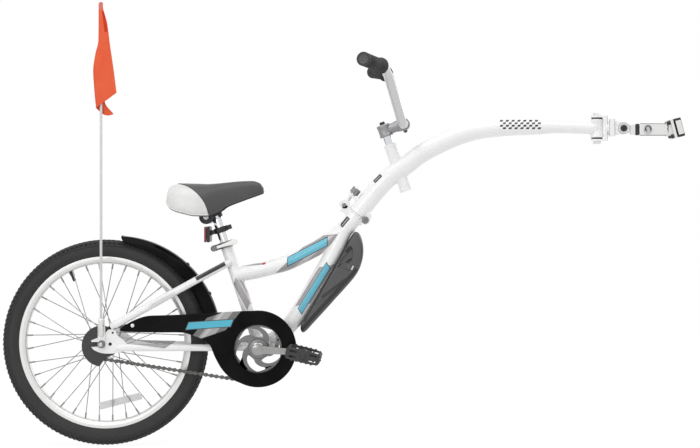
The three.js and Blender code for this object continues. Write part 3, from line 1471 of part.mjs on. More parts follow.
// The height of the base's underside on the centre line at a share of the length
function underBase(share) {
  const rows = SADDLE_RUN_SHARES;
  const k = rows.findIndex(([s]) => s >= share);
  const mix = (share - rows[k - 1][0]) / (rows[k][0] - rows[k - 1][0]);
  const top = rows[k - 1][2] + (rows[k][2] - rows[k - 1][2]) * mix;
  const edge = rows[k - 1][3] + (rows[k][3] - rows[k - 1][3]) * mix;
  return SADDLE_HIGH * (edge + (top - edge) * BASE_INNER_SHARES[1]) + SADDLE_RISE;
}
piece("saddle_cushion", saddleShell([1, 1], CUSHION_INNER_SHARES), "vinyl", saddleGroup);
piece("saddle_base", saddleShell(BASE_OUTER_SHARES, BASE_INNER_SHARES), "dark", saddleGroup);
const railX = (share) => SADDLE_LONG * share - SADDLE_BACK;
const railSide = (side) => [
  at(railX(RAIL_REAR_SHARE), side * RAIL_HALF, underBase(RAIL_REAR_SHARE) - RAIL_R - RAIL_R),
  at(-RAIL_REAR_BEND, side * RAIL_HALF, RAIL_LEVEL),
  at(-RAIL_FRONT_BEND, side * RAIL_HALF, RAIL_LEVEL),
  at(RAIL_FRONT_BEND, side * RAIL_HALF, RAIL_LEVEL),
  at(
    (RAIL_FRONT_BEND + railX(RAIL_NOSE_SHARE)) / 2,
    side * RAIL_HALF * RAIL_NARROW_SHARE,
    (RAIL_LEVEL + underBase(RAIL_NOSE_SHARE)) / 2,
  ),
];
const rails = {
  curve: smooth([
    ...railSide(-1),
    at(railX(RAIL_NOSE_SHARE), 0, underBase(RAIL_NOSE_SHARE) - RAIL_R - GAP),
    ...railSide(1).reverse(),
  ]),
  radiusAt: () => RAIL_R,
  steps: RAIL_STEPS,
  sides: RAIL_SIDES,
};
piece("saddle_rails", filledTube(rails, 0), "steel", saddleGroup);
piece(
  "saddle_clamp",
  cut(
    rod(at(0, -CLAMP_DRUM_HALF, 0), at(0, CLAMP_DRUM_HALF, 0), CLAMP_DRUM_R, MAIN_SIDES),
    filledTube(rails, GAP),
    rod(at(0, -BARREL_HALF - GAP, 0), at(0, BARREL_HALF + GAP, 0), BARREL_R + RUN_CLEARANCE, MAIN_SIDES),
    block(at(0, -BARREL_HALF - GAP, -OVERRUN), at(OVERRUN, BARREL_HALF + GAP, OVERRUN)),
  ),
  "dark",
  saddleGroup,
);

// Boom: the upper half of the fold joint, the tapering curved tube and the hitch's yaw barrel
const BOOM_BASE_UP = 40;
const BOOM_RUN_SHARES = [
  [0.102, 0.339], [0.147, 0.458], [0.203, 0.567], [0.27, 0.706], [0.355, 0.831], [0.439, 0.927],
  [0.524, 0.979],
  [0.608, 1.004], [0.693, 1.015], [0.768, 1.015], [0.841, 1.015], [0.904, 1.011], [1, 1],
];
const BOOM_RADIUS_SHARES = [[0, 0], [0.5, 0.14], [0.577, 0.353], [0.73, 0.41], [0.86, 1], [1, 1]];
const BOOM_STEPS = 15;
const YAW_BARREL_R = 16;
const YAW_BARREL_HALF = 22.3;
const YAW_BOLT_R = 6;
const HEAD_SHARE = 0.224;
const HEAD_LEAN = THREE.MathUtils.degToRad(19.8);
const HEAD_ABOVE = 65.9;
const HEAD_BELOW = 53.5;
const HEAD_R = 15.4;
const QUILL_R = 11.1;

const boomRadiusAt = (s) => {
  const k = BOOM_RADIUS_SHARES.findIndex(([share]) => share >= s) || 1;
  const [s0, r0] = BOOM_RADIUS_SHARES[k - 1];
  const [s1, r1] = BOOM_RADIUS_SHARES[k];
  return BOOM_BASE_R + (BOOM_FRONT_R - BOOM_BASE_R) * (r0 + ((r1 - r0) * (s - s0)) / (s1 - s0));
};
const boom = {
  curve: smooth([
    neckPoint(FOLD_SPLIT_UP + GAP / 2, 0),
    neckPoint(BOOM_BASE_UP, 0),
    ...runBetween(fold, yaw, BOOM_RUN_SHARES),
  ]),
  radiusAt: boomRadiusAt,
  steps: BOOM_STEPS,
  sides: MAIN_SIDES,
};
const headUp = at(-Math.sin(HEAD_LEAN), 0, Math.cos(HEAD_LEAN));
const headMiddle = boom.curve.getPointAt(HEAD_SHARE);
const headTop = along(headMiddle, headUp, HEAD_ABOVE);
const headFoot = along(headMiddle, headUp, -HEAD_BELOW);
const ear = (side) =>
  join(
    hingeRod(
      HINGE_LUG_R,
      side > 0 ? KNUCKLE_HALF + RUN_CLEARANCE : -earOuter,
      side > 0 ? earOuter : -KNUCKLE_HALF - RUN_CLEARANCE,
    ),
    neckSlab(
      FOLD_SPLIT_UP + GAP / 2,
      FOLD_SPLIT_UP + 2 * HINGE_LUG_R,
      0,
      HINGE_AHEAD + HINGE_LUG_R / 2,
      EAR_THICK / 2,
    ).translate(
      0,
      side * (earOuter - EAR_THICK / 2),
      0,
    ),
  );
const drawPlate = neckSlab(
  DRAW_PLATE_UP,
  DRAW_PLATE_UP + DRAW_PLATE_THICK,
  -DRAW_BEHIND - DRAW_PLATE_EDGE,
  0,
  DRAW_PLATE_HALF,
);
piece(
  "boom_tube",
  cut(
    join(
      hollowTube(boom, BOOM_WALL),
      ...[-1, 1].map((side) => cut(ear(side), filledTube(boom, -TUBE_WALL))),
      cut(drawPlate, filledTube(boom, -TUBE_WALL)),
      cut(
        rod(along(yaw, UP, -YAW_BARREL_HALF), along(yaw, UP, YAW_BARREL_HALF), YAW_BARREL_R, MAIN_SIDES),
        rod(along(yaw, UP, -OVERRUN), along(yaw, UP, OVERRUN), YAW_BOLT_R + RUN_CLEARANCE, BOLT_SIDES),
      ),
    ),
    rod(along(yaw, UP, -OVERRUN), along(yaw, UP, OVERRUN), YAW_BOLT_R + RUN_CLEARANCE, BOLT_SIDES),
    hingeRod(HINGE_LUG_R + RUN_CLEARANCE, -KNUCKLE_HALF - RUN_CLEARANCE, KNUCKLE_HALF + RUN_CLEARANCE),
    hingeRod(HINGE_BOLT_R + GAP, -OVERRUN, OVERRUN),
    drawLine(DRAW_PLATE_UP - DRAW_PLATE_THICK, DRAW_PLATE_UP + OVERRUN, DRAW_BOLT_R + GAP, BOLT_SIDES),
    rod(along(headFoot, headUp, -OVERRUN), along(headTop, headUp, OVERRUN), HEAD_R + GAP, MAIN_SIDES),
  ),
  "white",
);
piece("head_tube", pipe(headFoot, headTop, HEAD_R, QUILL_R + GAP, MAIN_SIDES), "white");
piece(
  "hinge_bolt",
  join(
    hingeRod(HINGE_BOLT_R, -earOuter - GAP, earOuter + GAP + HINGE_HEAD_THICK),
    hingeRod(HINGE_HEAD_R, -earOuter - GAP - HINGE_HEAD_THICK, -earOuter - GAP),
    hingeRod(HINGE_HEAD_R, earOuter + GAP, earOuter + GAP + HINGE_HEAD_THICK),
  ),
  "steel",
);
piece(
  "latch_knob",
  join(
    drawLine(drawTip, DRAW_PLATE_UP + DRAW_PLATE_THICK + KNOB_COLLAR_HIGH, DRAW_BOLT_R, BOLT_SIDES),
    turnedAt(
      [
        [0, 0], [KNOB_COLLAR_R, 0], [KNOB_COLLAR_R, KNOB_COLLAR_HIGH], [KNOB_R, KNOB_COLLAR_HIGH],
        [KNOB_R, KNOB_HIGH - KNOB_COLLAR_HIGH],
        [KNOB_COLLAR_R, KNOB_HIGH], [0, KNOB_HIGH],
      ],
      MAIN_SIDES,
      neckPoint(DRAW_PLATE_UP + DRAW_PLATE_THICK + GAP, -DRAW_BEHIND),
      neckUp,
    ),
  ),
  "steel",
);

// Hitch: yoke round the yaw barrel, tongue on the pitch bolt, coupler arm with its seatpost clamp
const WASHER_THICK = 3;
const WASHER_R = 14;
const YOKE_THICK = 5;
const YOKE_HALF = 15;
const YOKE_TAIL = 3;
const YOKE_WALL_AHEAD = 19;
const YAW_HEAD_R = 10;
const YAW_HEAD_THICK = 7;
const NECK_COLLAR_R = 17;
const NECK_COLLAR_LONG = 5;
const YOKE_FLANGE_THICK = 12.4;
const FLANGE_UPPER = 22.5;
const FLANGE_LOWER = 20;
const FLANGE_HALF_WIDE = 19;
const PITCH_BACK = 123.5;
const CHEEK_R = 14;
const CHEEK_IN = 9;
const CHEEK_OUT = 16;
const PITCH_BOLT_R = 5;
const PITCH_HEAD_R = 8;
const PITCH_HEAD_THICK = 5;
const EYE_R = 12.5;
const NECK_START = 107;
const BAND_START = 94.7;
const ARM_START = 86;
const TONGUE_END = 40;
const ARM_UPPER = 12;
const ARM_LOWER = 17;
const ARM_HALF = 15;
const ARM_WALL = 3;
const ARM_END = 14;
const NECK_IN = 1.5;
const BAND_IN = 0.6;
const PULL_PIN_BACK = 65.7;
const PULL_PIN_BELOW = 4;
const PULL_PIN_R = 4;
const PULL_HEAD_R = 10;
const PULL_HEAD_THICK = 4;
const PULL_GRIP_R = 5;
const PULL_GRIP_LONG = 12;
const PULL_PROUD = 6;

// Clamp, in a frame along its bore: +Z up the bore, +X forward
const CLAMP_LEAN = THREE.MathUtils.degToRad(15);
const CLAMP_BORE_R = 13.6;
const SHIM_WALL = 1.5;
const SHIM_HALF = 21.5;
const JAW_BACK = 21;
const JAW_SPLIT = 1.2;
const JAW_HALF_TALL = 14;
const JAW_FLANGE_THICK = 7;
const CAP_HALF_TALL = 23;
const CAP_HALF_WIDE = 28;
const CAP_FRONT = 18.5;
const CAP_BOLT_ACROSS = 21.5;
const CAP_BOLT_UP = 17;
const CAP_BOLT_R = 3;
const CAP_HEAD_R = 5;
const CAP_HEAD_THICK = 8;

const yokeInner = YAW_BARREL_HALF + WASHER_THICK + 2 * GAP;
const yokeOuter = yokeInner + YOKE_THICK;
const collarStart = YOKE_WALL_AHEAD + YOKE_THICK;
const flangeStart = collarStart + NECK_COLLAR_LONG;
const flangeEnd = flangeStart + YOKE_FLANGE_THICK;
const yawGroup = groupAt(yaw);
const bar = (radius, low, high, sides) => rod(at(0, 0, low), at(0, 0, high), radius, sides);
const cheekX = YAW_BACK - PITCH_BACK;
const yokePlate = (low, high) =>
  join(
    block(at(0, -YOKE_HALF, low), at(collarStart, YOKE_HALF, high)),
    bar(YOKE_HALF + YOKE_TAIL / 2, low, high, MAIN_SIDES),
  );
piece(
  "hitch_yoke",
  cut(
    join(
      yokePlate(yokeInner, yokeOuter),
      yokePlate(-yokeOuter, -yokeInner),
      block(at(YOKE_WALL_AHEAD, -YOKE_HALF, -yokeOuter), at(collarStart, YOKE_HALF, yokeOuter)),
      rod(at(YOKE_WALL_AHEAD + GAP, 0, 0), at(flangeEnd - GAP, 0, 0), NECK_COLLAR_R, MAIN_SIDES),
      block(at(flangeStart, -FLANGE_HALF_WIDE, -FLANGE_LOWER), at(flangeEnd, FLANGE_HALF_WIDE, FLANGE_UPPER)),
      ...[[-CHEEK_OUT, -CHEEK_IN], [CHEEK_IN, CHEEK_OUT]].map(([low, high]) =>
        plate(
          [
            [flangeStart + GAP, -CHEEK_R - WASHER_THICK],
            ...arc(cheekX, 0, CHEEK_R, -Math.PI / 2, Math.PI / 2, 8),
            [flangeStart + GAP, CHEEK_R + WASHER_THICK],
          ],
          low,
          high,
        ),
      ),
    ),
    bar(YAW_BOLT_R + GAP, -OVERRUN, OVERRUN, BOLT_SIDES),
    rod(at(cheekX, -OVERRUN, 0), at(cheekX, OVERRUN, 0), PITCH_BOLT_R + GAP, BOLT_SIDES),
  ),
  "white",
  yawGroup,
);
piece(
  "yaw_bolt",
  join(
    bar(YAW_BOLT_R, -yokeOuter - GAP - YAW_HEAD_THICK, yokeOuter + GAP + YAW_HEAD_THICK, BOLT_SIDES),
    bar(YAW_HEAD_R, yokeOuter + GAP, yokeOuter + GAP + YAW_HEAD_THICK, HEX_SIDES),
    bar(YAW_HEAD_R, -yokeOuter - GAP - YAW_HEAD_THICK, -yokeOuter - GAP, HEX_SIDES),
    bar(WASHER_R, YAW_BARREL_HALF + GAP, YAW_BARREL_HALF + GAP + WASHER_THICK, MAIN_SIDES),
    bar(WASHER_R, -YAW_BARREL_HALF - GAP - WASHER_THICK, -YAW_BARREL_HALF - GAP, MAIN_SIDES),
  ),
  "dark",
  yawGroup,
);
const acrossAt = (x, z, low, high, radius, sides) => rod(at(x, low, z), at(x, high, z), radius, sides);
piece(
  "pitch_bolt",
  join(
    acrossAt(
      -PITCH_BACK,
      YAW_RISE,
      -CHEEK_OUT - GAP,
      CHEEK_OUT + GAP + PITCH_HEAD_THICK,
      PITCH_BOLT_R,
      BOLT_SIDES,
    ),
    acrossAt(
      -PITCH_BACK,
      YAW_RISE,
      -CHEEK_OUT - GAP - PITCH_HEAD_THICK,
      -CHEEK_OUT - GAP,
      PITCH_HEAD_R,
      MAIN_SIDES,
    ),
    acrossAt(
      -PITCH_BACK,
      YAW_RISE,
      CHEEK_OUT + GAP,
      CHEEK_OUT + GAP + PITCH_HEAD_THICK,
      PITCH_HEAD_R,
      HEX_SIDES,
    ),
  ),
  "steel",
);
const armBlock = (start, end, within) =>
  block(at(-start, within - ARM_HALF, within - ARM_LOWER), at(-end, ARM_HALF - within, ARM_UPPER - within));
const pullPin = (radius, low, high, sides) => acrossAt(
  -PULL_PIN_BACK,
  -PULL_PIN_BELOW,
  low,
  high,
  radius,
  sides,
);
piece(
  "hitch_tongue",
  cut(
    join(
      acrossAt(-PITCH_BACK, YAW_RISE, -CHEEK_IN + GAP, CHEEK_IN - GAP, EYE_R, MAIN_SIDES),
      block(
        at(-PITCH_BACK, -CHEEK_IN + GAP, -EYE_R + GAP),
        at(-BAND_START, CHEEK_IN - GAP, EYE_R - NECK_IN - GAP),
      ),
      armBlock(NECK_START - RUN_CLEARANCE, BAND_START - GAP, NECK_IN),
      armBlock(BAND_START, ARM_START + GAP, BAND_IN),
      armBlock(ARM_START + YOKE_THICK, TONGUE_END, ARM_WALL + GAP),
    ),
    acrossAt(-PITCH_BACK, YAW_RISE, -OVERRUN, OVERRUN, PITCH_BOLT_R + GAP, BOLT_SIDES),
    pullPin(PULL_PIN_R + GAP, -OVERRUN, OVERRUN, BOLT_SIDES),
  ),
  "white",
);
const clampGroup = groupAt(centre);
clampGroup.rotation.y = -CLAMP_LEAN;
// A block or rod in the clamp's frame, brought back to the main frame.
const clampTurn = new THREE.Matrix4().makeRotationY(-CLAMP_LEAN);
const inClamp = (geometry) => closed(geometry.applyMatrix4(clampTurn));
const capBolts = (radius, low, high) =>
  [-1, 1].flatMap((side) =>
    [-1, 1].map((level) =>
      rod(
        at(low, side * CAP_BOLT_ACROSS, level * CAP_BOLT_UP),
        at(high, side * CAP_BOLT_ACROSS, level * CAP_BOLT_UP),
        radius,
        BOLT_SIDES,
      ),
    ),
  );
const flangeBack = -JAW_SPLIT - JAW_FLANGE_THICK;
piece(
  "coupler_arm",
  cut(
    join(
      armBlock(ARM_START, ARM_END, 0),
      inClamp(block(at(-JAW_BACK, -ARM_HALF, -JAW_HALF_TALL), at(-JAW_SPLIT, ARM_HALF, JAW_HALF_TALL))),
      inClamp(
        block(at(flangeBack, -CAP_HALF_WIDE, -CAP_HALF_TALL), at(-JAW_SPLIT, CAP_HALF_WIDE, CAP_HALF_TALL)),
      ),
    ),
    armBlock(ARM_START + OVERRUN, TONGUE_END - YOKE_THICK, ARM_WALL),
    inClamp(block(at(-JAW_SPLIT, -OVERRUN, -OVERRUN), at(OVERRUN, OVERRUN, OVERRUN))),
    inClamp(bar(CLAMP_BORE_R + SHIM_WALL + GAP, -OVERRUN, OVERRUN, MAIN_SIDES + BOLT_SIDES)),
    ...capBolts(CAP_BOLT_R + GAP, -OVERRUN, OVERRUN).map(inClamp),
    pullPin(PULL_PIN_R + GAP, -OVERRUN, OVERRUN, BOLT_SIDES),
  ),
  "steel",
);
piece(
  "coupler_pin",
  join(
    pullPin(PULL_PIN_R, -ARM_HALF - GAP, ARM_HALF + PULL_PROUD, BOLT_SIDES),
    pullPin(PULL_HEAD_R, -ARM_HALF - GAP - PULL_HEAD_THICK, -ARM_HALF - GAP, MAIN_SIDES),
    pullPin(PULL_GRIP_R, -ARM_HALF - GAP - PULL_HEAD_THICK - PULL_GRIP_LONG, -ARM_HALF - GAP, MAIN_SIDES),
  ),
  "steel",
);
piece(
  "clamp_cap",
  join(
    cut(
      block(at(JAW_SPLIT, -CAP_HALF_WIDE, -CAP_HALF_TALL), at(CAP_FRONT, CAP_HALF_WIDE, CAP_HALF_TALL)),
      bar(CLAMP_BORE_R + SHIM_WALL + GAP, -OVERRUN, OVERRUN, MAIN_SIDES + BOLT_SIDES),
    ),
    ...capBolts(CAP_BOLT_R, flangeBack - GAP - CAP_HEAD_THICK, CAP_FRONT - CAP_HEAD_THICK),
    ...capBolts(CAP_HEAD_R, flangeBack - GAP - CAP_HEAD_THICK, flangeBack - GAP),
  ),
  "dark",
  clampGroup,
);
piece(
  "clamp_shim",
  pipe(
    at(0, 0, -SHIM_HALF),
    at(0, 0, SHIM_HALF),
    CLAMP_BORE_R + SHIM_WALL,
    CLAMP_BORE_R,
    MAIN_SIDES + BOLT_SIDES,
  ),
  "black",
  clampGroup,
);

// Stem and handlebar, on the head tube's line
const STEM_AHEAD = 47.7;
const STEM_UP = 34;
const STEM_TOP = 50;
const STEM_NECK_UP = 36;
const STEM_NECK_R = 13;
const STEM_R = 16.5;
const STEM_BASE_UP = 20;
const STEM_IN = 62;
const WEDGE_LONG = 24;
const STEM_BOLT_R = 4;
const STEM_HEAD_R = 6.5;
const STEM_HEAD_THICK = 7;
const BAR_R = 11.1;
const BAR_CLAMP_R = 15.5;
const BAR_CLAMP_HALF = 20;
const BAR_WALL = 1.8;
const BAR_STEPS = 24;
const BAR_SIDES = 8;
const GRIP_R = 16.5;
const GRIP_FLANGE_R = 19.5;
const GRIP_FLANGE_THICK = 4;
const GRIP_CAP = 3;
// The bar's line from its middle: [across, back, up]
const BAR_LINE = [
  [0, 0, 0], [45, 0, 0], [60, 2, 5], [82, 14, 38], [125, 34, 98], [140, 40, 116], [156, 46, 128],
  [190, 55, 135],
];
const BAR_TIP = [300, 96, 144];

const headFront = at(Math.cos(HEAD_LEAN), 0, Math.sin(HEAD_LEAN));
const stemPoint = (up, ahead) => along(along(headTop, headUp, up), headFront, ahead);
const barCentre = stemPoint(STEM_UP, STEM_AHEAD);
const barPoint = ([across, back, up], side) => at(barCentre.x - back, side * across, barCentre.z + up);
const barMiddle = (side) =>
  [1, 2].map((k) => {
    const start = BAR_LINE[BAR_LINE.length - 1];
    return barPoint(start.map((v, i) => v + ((BAR_TIP[i] - v) * k) / 3), side);
  });
const barSide = (side) => [
  ...BAR_LINE.slice(1).map((p) => barPoint(p, side)),
  ...barMiddle(side),
  barPoint(BAR_TIP, side),
];
const handlebar = {
  curve: smooth([...barSide(-1).reverse(), barCentre, ...barSide(1)]),
  radiusAt: () => BAR_R,
  steps: BAR_STEPS,
  sides: BAR_SIDES,
};
piece(
  "quill_stem",
  cut(
    join(
      rod(stemPoint(-STEM_IN, 0), stemPoint(STEM_TOP, 0), QUILL_R, MAIN_SIDES),
      rod(stemPoint(STEM_BASE_UP, 0), stemPoint(STEM_TOP, 0), STEM_R, MAIN_SIDES),
      rod(stemPoint(STEM_NECK_UP, 0), barCentre, STEM_NECK_R, MAIN_SIDES),
      rod(
        along(barCentre, ACROSS, -BAR_CLAMP_HALF),
        along(barCentre, ACROSS, BAR_CLAMP_HALF),
        BAR_CLAMP_R,
        MAIN_SIDES,
      ),
    ),
    rod(stemPoint(-STEM_IN - OVERRUN, 0), stemPoint(STEM_TOP + OVERRUN, 0), STEM_BOLT_R + GAP, BOLT_SIDES),
    rod(
      along(barCentre, ACROSS, -OVERRUN),
      along(barCentre, ACROSS, OVERRUN),
      BAR_R + 2 * GAP,
      2 * MAIN_SIDES,
    ),
  ),
  "white",
);
piece(
  "stem_bolt",
  join(
    rod(
      stemPoint(-STEM_IN - WEDGE_LONG, 0),
      stemPoint(STEM_TOP + STEM_HEAD_THICK, 0),
      STEM_BOLT_R,
      BOLT_SIDES,
    ),
    rod(stemPoint(STEM_TOP + GAP, 0), stemPoint(STEM_TOP + STEM_HEAD_THICK, 0), STEM_HEAD_R, MAIN_SIDES),
    rod(stemPoint(-STEM_IN - WEDGE_LONG, 0), stemPoint(-STEM_IN - GAP, 0), QUILL_R, MAIN_SIDES),
  ),
  "dark",
);
piece("handlebar", hollowTube(handlebar, BAR_WALL), "steel");
for (const side of [-1, 1]) {
  const start = barPoint(BAR_LINE[BAR_LINE.length - 1], side);
  const tip = barPoint(BAR_TIP, side);
  const outward = tip.clone().sub(start).normalize();
  piece(
    `grip_${sideName[side]}`,
    cut(
      join(
        rod(start, along(tip, outward, GRIP_CAP), GRIP_R, MAIN_SIDES),
        rod(start, along(start, outward, GRIP_FLANGE_THICK), GRIP_FLANGE_R, MAIN_SIDES),
      ),
      rod(along(start, outward, -OVERRUN), along(tip, outward, 2 * GAP), BAR_R + 4 * GAP, MAIN_SIDES),
    ),
    "rubber",
  );
}

export default bike;
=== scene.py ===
"""Looks of a child's trailer bike: its finishes and fine forms, built round the fixed CAD frame."""

import json
import math

import bmesh
import bpy
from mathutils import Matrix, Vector
from mathutils.bvhtree import BVHTree


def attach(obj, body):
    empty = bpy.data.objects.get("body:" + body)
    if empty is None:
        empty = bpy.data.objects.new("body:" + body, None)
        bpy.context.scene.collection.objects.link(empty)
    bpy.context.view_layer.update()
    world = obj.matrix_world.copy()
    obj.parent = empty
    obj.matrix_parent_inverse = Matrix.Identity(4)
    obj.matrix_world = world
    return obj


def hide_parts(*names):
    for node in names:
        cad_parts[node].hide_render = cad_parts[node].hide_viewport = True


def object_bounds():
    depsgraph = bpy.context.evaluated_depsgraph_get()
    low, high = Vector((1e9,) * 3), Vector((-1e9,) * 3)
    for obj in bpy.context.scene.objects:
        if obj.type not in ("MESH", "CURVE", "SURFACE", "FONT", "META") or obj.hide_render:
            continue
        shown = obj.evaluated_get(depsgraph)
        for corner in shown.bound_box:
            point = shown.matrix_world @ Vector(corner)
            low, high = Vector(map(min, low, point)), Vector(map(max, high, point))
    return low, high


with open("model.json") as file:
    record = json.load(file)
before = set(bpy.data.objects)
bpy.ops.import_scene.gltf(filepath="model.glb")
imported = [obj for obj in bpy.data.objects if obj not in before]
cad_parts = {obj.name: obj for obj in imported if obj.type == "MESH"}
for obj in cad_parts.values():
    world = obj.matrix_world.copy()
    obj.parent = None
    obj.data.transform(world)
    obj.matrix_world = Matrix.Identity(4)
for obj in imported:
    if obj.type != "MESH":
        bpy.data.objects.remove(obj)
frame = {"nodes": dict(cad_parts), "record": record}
cad_low, cad_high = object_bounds()

# Lengths are in millimetres in this script, and become metres as each piece is finished.
MM = 0.001
TURN = 2 * math.pi
ORIGIN = Vector()
AHEAD = Vector((1, 0, 0))
ACROSS = Vector((0, 1, 0))
UP = Vector((0, 0, 1))
SIDE_NAMES = {-1: "right", 1: "left"}
BODY_OF = {node: body for body, nodes in frame["record"]["behaviour"]["bodies"].items() for node in nodes}

# ---------------------------------------------------------------------------------------------------------------
# Main points of the bike, as the solids have them


def leaning(degrees):
    return Vector((-math.sin(math.radians(degrees)), 0, math.cos(math.radians(degrees))))


def ahead_of(up):
    return Vector((up.z, 0, -up.x))


AXLE = Vector((-1370, 0, -514.5))
CRANK = Vector((-998.7, 0, -526.6))
SEAT_UP = leaning(18.4)
SEAT_FRONT = ahead_of(SEAT_UP)
SEAT_TOP = CRANK + SEAT_UP * 268
FOLD = Vector((-768.8, 0, -210.9))
NECK_UP = leaning(-39)
NECK_FRONT = ahead_of(NECK_UP)
YAW = Vector((-186.8, 0, 0.5))
HEAD_UP = leaning(19.8)
HEAD_FRONT = ahead_of(HEAD_UP)


def neck_point(up, front, side=0.0):
    return FOLD + NECK_UP * up + NECK_FRONT * front + ACROSS * side


# ---------------------------------------------------------------------------------------------------------------
# Shapes: every one is a bmesh in millimetres


def skin(verts, faces):
    """A closed skin from plain lists, with its doubles merged and its faces pointing out."""
    bm = bmesh.new()
    corners = [bm.verts.new(v) for v in verts]
    for face in faces:
        if len({corners[i] for i in face}) > 2:
            bm.faces.new([corners[i] for i in face])
    bmesh.ops.remove_doubles(bm, verts=bm.verts, dist=1e-3)
    bmesh.ops.recalc_face_normals(bm, faces=bm.faces)
    return bm


def grid_faces(rows, columns, close_rows=False, close_columns=True):
    """Faces of a grid of points, counted row by row."""
    faces = []
    for r in range(rows if close_rows else rows - 1):
        for c in range(columns if close_columns else columns - 1):
            r2, c2 = (r + 1) % rows, (c + 1) % columns
            faces.append((r * columns + c, r * columns + c2, r2 * columns + c2, r2 * columns + c))
    return faces


def axes_for(direction):
    z = direction.normalized()
    guide = UP if abs(z.x) > 0.9 else AHEAD
    x = (guide - z * guide.dot(z)).normalized()
    return x, z.cross(x), z


def turned(profile, centre, direction, sides=48):
    """A turned piece: a closed profile of (radius, height), or one that starts and ends on the axis."""
    x, y, z = axes_for(direction)
    on_axis = profile[0][0] == 0
    rows = profile[1:-1] if on_axis else profile
    verts = []
    for radius, height in rows:
        for k in range(sides):
            a = TURN * k / sides
            verts.append(centre + z * height + (x * math.cos(a) + y * math.sin(a)) * radius)
    faces = grid_faces(len(rows), sides, close_rows=not on_axis)
    if on_axis:
        faces += [tuple(range(sides)), tuple(range((len(rows) - 1) * sides, len(rows) * sides))]
    return skin(verts, faces)


def rod(a, b, radius, edge=0.0, sides=32):
    """A round bar from a to b with a small chamfer at each end."""
    length = (b - a).length
    profile = [
        (0, 0), (radius - edge, 0), (radius, edge), (radius, length - edge), (radius - edge, length), (0, length),
    ]
    return turned(profile, a, b - a, sides)


def smooth_line(points, count):
    """Evenly spaced points on the centripetal curve that passes through the given points."""
    ends = [points[0] * 2 - points[1], *points, points[-1] * 2 - points[-2]]
    fine = []
    for k in range(1, len(points)):
        p = ends[k - 1 : k + 3]
        gaps = [max((p[i + 1] - p[i]).length ** 0.5, 1e-4) for i in range(3)]
        t1 = (p[1] - p[0]) / gaps[0] - (p[2] - p[0]) / (gaps[0] + gaps[1]) + (p[2] - p[1]) / gaps[1]
        t2 = (p[2] - p[1]) / gaps[1] - (p[3] - p[1]) / (gaps[1] + gaps[2]) + (p[3] - p[2]) / gaps[2]
        t1, t2 = t1 * gaps[1], t2 * gaps[1]
        for i in range(40):
            s = i / 40
            cube, square = s * s * s, s * s
            fine.append(
                p[1] * (2 * cube - 3 * square + 1)
                + t1 * (cube - 2 * square + s)
                + p[2] * (3 * square - 2 * cube)
                + t2 * (cube - square)
            )
    fine.append(points[-1].copy())
    return evenly(fine, count)


def evenly(line, count):
    """The same line with evenly spaced points."""
    reach = [0.0]
    for a, b in zip(line, line[1:]):
        reach.append(reach[-1] + (b - a).length)
    found, k = [], 0
    for i in range(count + 1):
        want = reach[-1] * i / count
        while k < len(reach) - 2 and reach[k + 1] < want:
            k += 1
        found.append(line[k].lerp(line[k + 1], (want - reach[k]) / max(reach[k + 1] - reach[k], 1e-9)))
    return found


def rings_along(line, radius_at, sides):
    """Rings of points round a line, turned as little as possible from one to the next."""
    tangents = []
    for i in range(len(line)):
        tangents.append((line[min(i + 1, len(line) - 1)] - line[max(i - 1, 0)]).normalized())
    normal = ACROSS - tangents[0] * ACROSS.dot(tangents[0])
    if normal.length < 0.3:
        normal = UP - tangents[0] * UP.dot(tangents[0])
    rings = []
    for i, (point, tangent) in enumerate(zip(line, tangents)):
        normal = (normal - tangent * normal.dot(tangent)).normalized()
        other = tangent.cross(normal)
        radius = radius_at(i / (len(line) - 1))
        for k in range(sides):
            a = TURN * k / sides
            rings.append(point + (normal * math.cos(a) + other * math.sin(a)) * radius)
    return rings


def tube(line, radius_at, sides=40):
    """A round bar along a line, with its ends closed."""
    rows = len(line)
    ends = [tuple(range(sides)), tuple(range((rows - 1) * sides, rows * sides))]
    return skin(rings_along(line, radius_at, sides), grid_faces(rows, sides) + ends)


def flat_face(y, *outlines):
    """A flat face at one place across the bike, filled between an outline and those of its holes."""
    bm = bmesh.new()
    edges = []
    for outline in outlines:
        corners = [bm.verts.new((x, y, z)) for x, z in outline]
        edges += [bm.edges.new((a, b)) for a, b in zip(corners, corners[1:] + corners[:1])]
    bmesh.ops.triangle_fill(bm, edges=edges, use_beauty=True, use_dissolve=False)
    return bm


def slab(outline, low, high, holes=()):
    """A flat plate in the bike's plane: an outline of (x, z) points between two places across, with its holes."""
    bm = flat_face(low, outline, *holes)
    bmesh.ops.dissolve_limit(bm, angle_limit=0.01, verts=bm.verts, edges=bm.edges)
    grown = bmesh.ops.extrude_face_region(bm, geom=bm.faces[:])
    moved = [v for v in grown["geom"] if isinstance(v, bmesh.types.BMVert)]
    bmesh.ops.translate(bm, vec=(0, high - low, 0), verts=moved)
    bmesh.ops.recalc_face_normals(bm, faces=bm.faces)
    return bm


def circle(centre, radius, count, start=0.0, end=TURN):
    """Points round a circle, or along an arc of it with both of its ends."""
    whole = abs(end - start - TURN) < 1e-6
    steps = count if whole else count - 1
    angles = [start + (end - start) * i / steps for i in range(count)]
    return [(centre[0] + radius * math.cos(a), centre[1] + radius * math.sin(a)) for a in angles]


def node_skin(node):
    """A CAD node's surface in millimetres, merged and with its flat faces whole."""
    bm = bmesh.new()
    bm.from_mesh(frame["nodes"][node].data)
    bmesh.ops.scale(bm, vec=(1 / MM,) * 3, verts=bm.verts)
    bmesh.ops.remove_doubles(bm, verts=bm.verts, dist=0.01)
    bmesh.ops.dissolve_limit(bm, angle_limit=math.radians(1), verts=bm.verts, edges=bm.edges)
    return bm


def together(*parts):
    """Several shapes in one mesh."""
    whole = bmesh.new()
    for part in parts:
        spare = bpy.data.meshes.new("spare")
        part.to_mesh(spare)
        part.free()
        whole.from_mesh(spare)
        bpy.data.meshes.remove(spare)
    return whole


